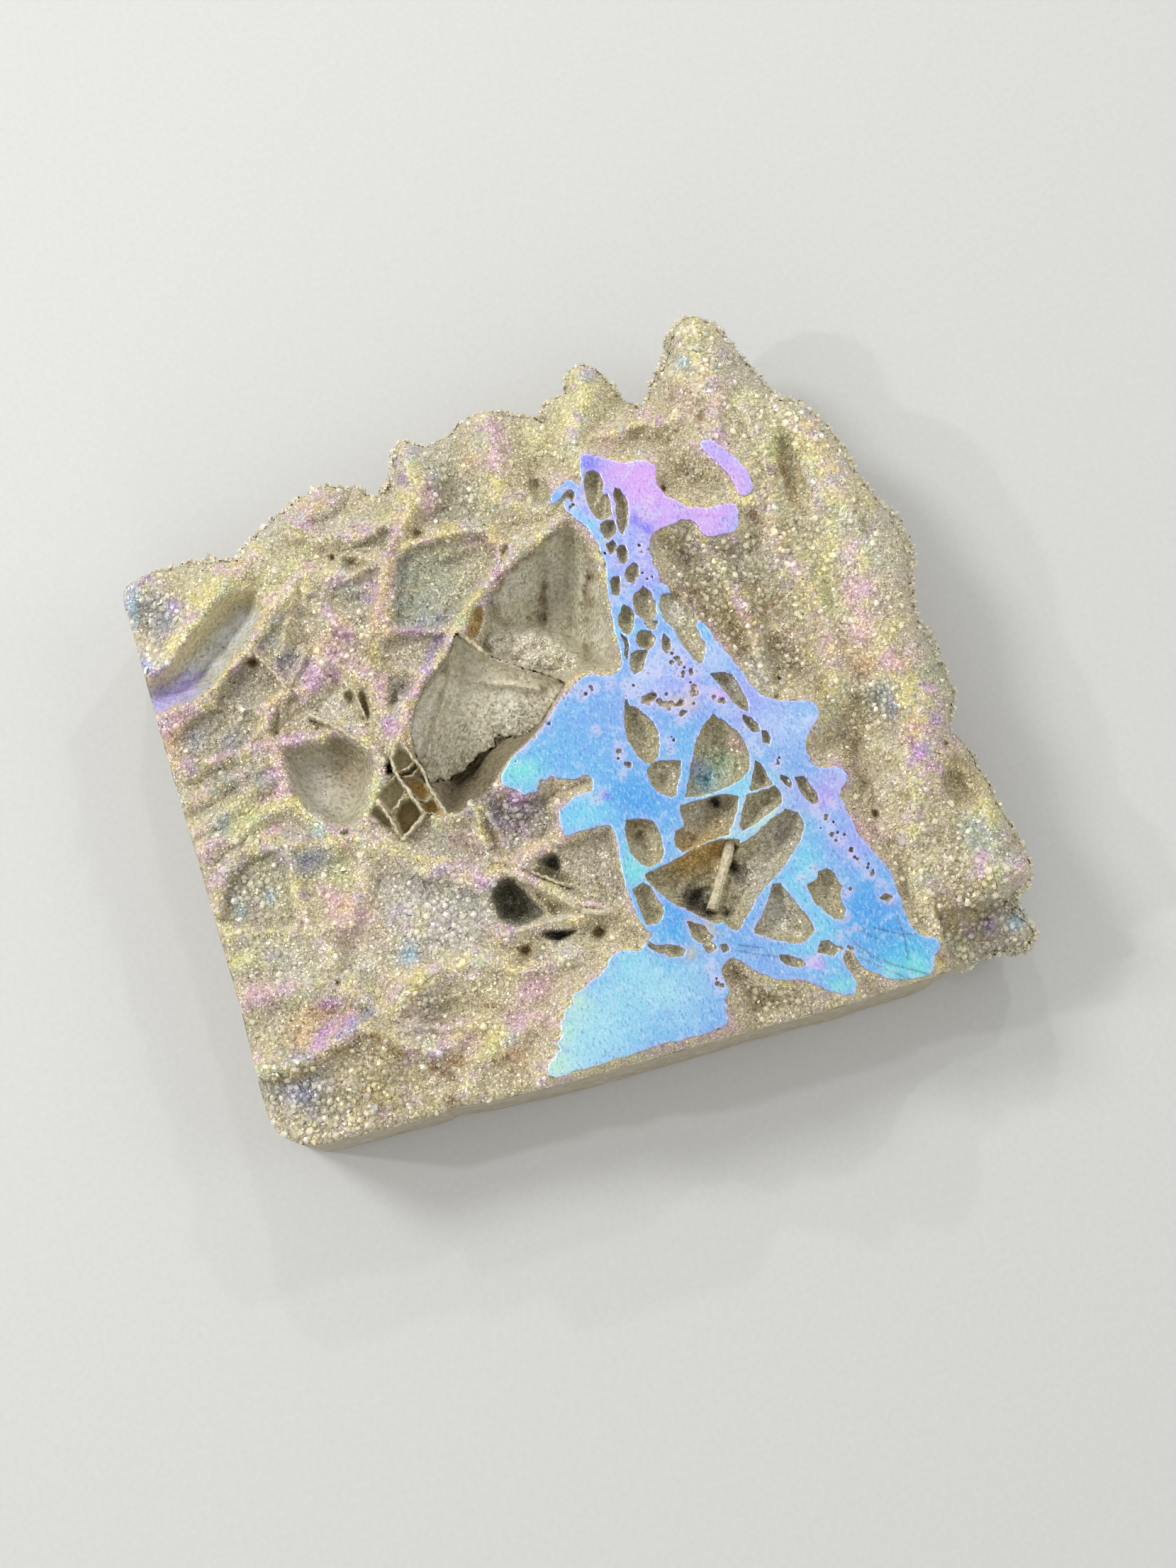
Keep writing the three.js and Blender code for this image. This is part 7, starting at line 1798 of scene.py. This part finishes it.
def build_stage(context):
    """The camera, the floor and the lights."""
    settings = context.scene.boxwork_stage
    level = cos(VIEW_ELEVATION)
    back = Vector((sin(VIEW_AZIMUTH) * level, -cos(VIEW_AZIMUTH) * level, sin(VIEW_ELEVATION)))
    right = Vector((cos(VIEW_AZIMUTH), sin(VIEW_AZIMUTH), 0))
    lens = bpy.data.cameras.new("camera")
    lens.lens, lens.sensor_fit, lens.sensor_height, lens.clip_start = settings.lens, "VERTICAL", 36, 0.01
    camera = bpy.data.objects.new("camera", lens)
    turn = Matrix((right, back.cross(right), back)).transposed().to_4x4()
    eye = Vector(((EYE[0] + CORNER[0]) * MM, (EYE[1] + CORNER[1]) * MM, EYE[2] * MM))
    camera.matrix_world = Matrix.Translation(eye) @ turn
    context.scene.collection.objects.link(camera)
    context.scene.camera = camera

    half = settings.floor_size / 2
    mesh = bpy.data.meshes.new("floor")
    corners = [(-half, -half, 0), (half, -half, 0), (half, half, 0), (-half, half, 0)]
    mesh.from_pydata(corners, [], [(0, 1, 2, 3)])
    mesh.materials.append(floor_paint(settings.floor_colour))
    floor = bpy.data.objects.new("floor", mesh)
    context.scene.collection.objects.link(floor)

    for name, place, size, share in LIGHTS:
        light = bpy.data.lights.new(name, "AREA")
        light.shape, light.size, light.energy = "DISK", size, settings.key_power * share
        lamp = bpy.data.objects.new(name, light)
        lamp.location = place
        lamp.rotation_euler = Vector(place).to_track_quat("Z", "Y").to_euler()
        context.scene.collection.objects.link(lamp)

    context.scene.view_settings.view_transform = "Standard"
    world = bpy.data.worlds.new("studio")
    context.scene.world = world
    world.use_nodes = True
    world.node_tree.nodes.clear()
    sky = add_node(world.node_tree, "Background", {"Color": linear("#F4F4F2"), "Strength": settings.sky})
    add_node(world.node_tree, "OutputWorld", {"Surface": sky})


# The add-on.

class BOXWORK_OT_stage(bpy.types.Operator):
    """Add the camera, the pale floor and the soft lights"""

    bl_idname = "boxwork.stage"
    bl_label = "Stage"

    def execute(self, context):
        build_stage(context)
        return {"FINISHED"}


class BOXWORK_OT_face(bpy.types.Operator):
    """Add the sawn web and the crust of the face"""

    bl_idname = "boxwork.face"
    bl_label = "Face"

    def execute(self, context):
        build_ground(context)
        build_web(context)
        return {"FINISHED"}


class BOXWORK_OT_walls(bpy.types.Operator):
    """Add the vug's plate and the thin standing walls"""

    bl_idname = "boxwork.walls"
    bl_label = "Plate and thin walls"

    def execute(self, context):
        build_plate()
        build_blades()
        return {"FINISHED"}


class BOXWORK_OT_druse(bpy.types.Operator):
    """Add the quartz points of the face"""

    bl_idname = "boxwork.druse"
    bl_label = "Druse"

    def execute(self, context):
        build_druse(context)
        return {"FINISHED"}


class BOXWORK_OT_sides(bpy.types.Operator):
    """Add the natural and sawn sides and the sawn back"""

    bl_idname = "boxwork.sides"
    bl_label = "Sides and back"

    def execute(self, context):
        build_sides(context)
        build_back(context)
        return {"FINISHED"}


OPERATORS = (BOXWORK_OT_stage, BOXWORK_OT_face, BOXWORK_OT_walls, BOXWORK_OT_druse, BOXWORK_OT_sides)
GROUPS = {"boxwork_surface": BoxworkSurfaceSettings, "boxwork_druse": BoxworkDruseSettings,
          "boxwork_stage": BoxworkStageSettings}


class BOXWORK_PT_sidebar(bpy.types.Panel):
    """The slab's sizes and colours, and a button for each group of pieces"""

    bl_idname = "BOXWORK_PT_sidebar"
    bl_label = "Boxwork slab"
    bl_space_type = "VIEW_3D"
    bl_region_type = "UI"
    bl_category = "Boxwork"

    def draw(self, context):
        for group, kind in GROUPS.items():
            box = self.layout.box()
            for name in kind.__annotations__:
                box.prop(getattr(context.scene, group), name)
        for operator in OPERATORS:
            self.layout.operator(operator.bl_idname)


def register():
    for kind in (*GROUPS.values(), *OPERATORS, BOXWORK_PT_sidebar):
        bpy.utils.register_class(kind)
    for group, kind in GROUPS.items():
        setattr(bpy.types.Scene, group, bpy.props.PointerProperty(type=kind))


def unregister():
    for group in GROUPS:
        delattr(bpy.types.Scene, group)
    for kind in (BOXWORK_PT_sidebar, *reversed(OPERATORS), *reversed(GROUPS.values())):
        bpy.utils.unregister_class(kind)


def main():
    register()
    for operator in OPERATORS:
        getattr(bpy.ops.boxwork, operator.bl_idname.split(".")[1])()


if __name__ == "__main__":
    main()
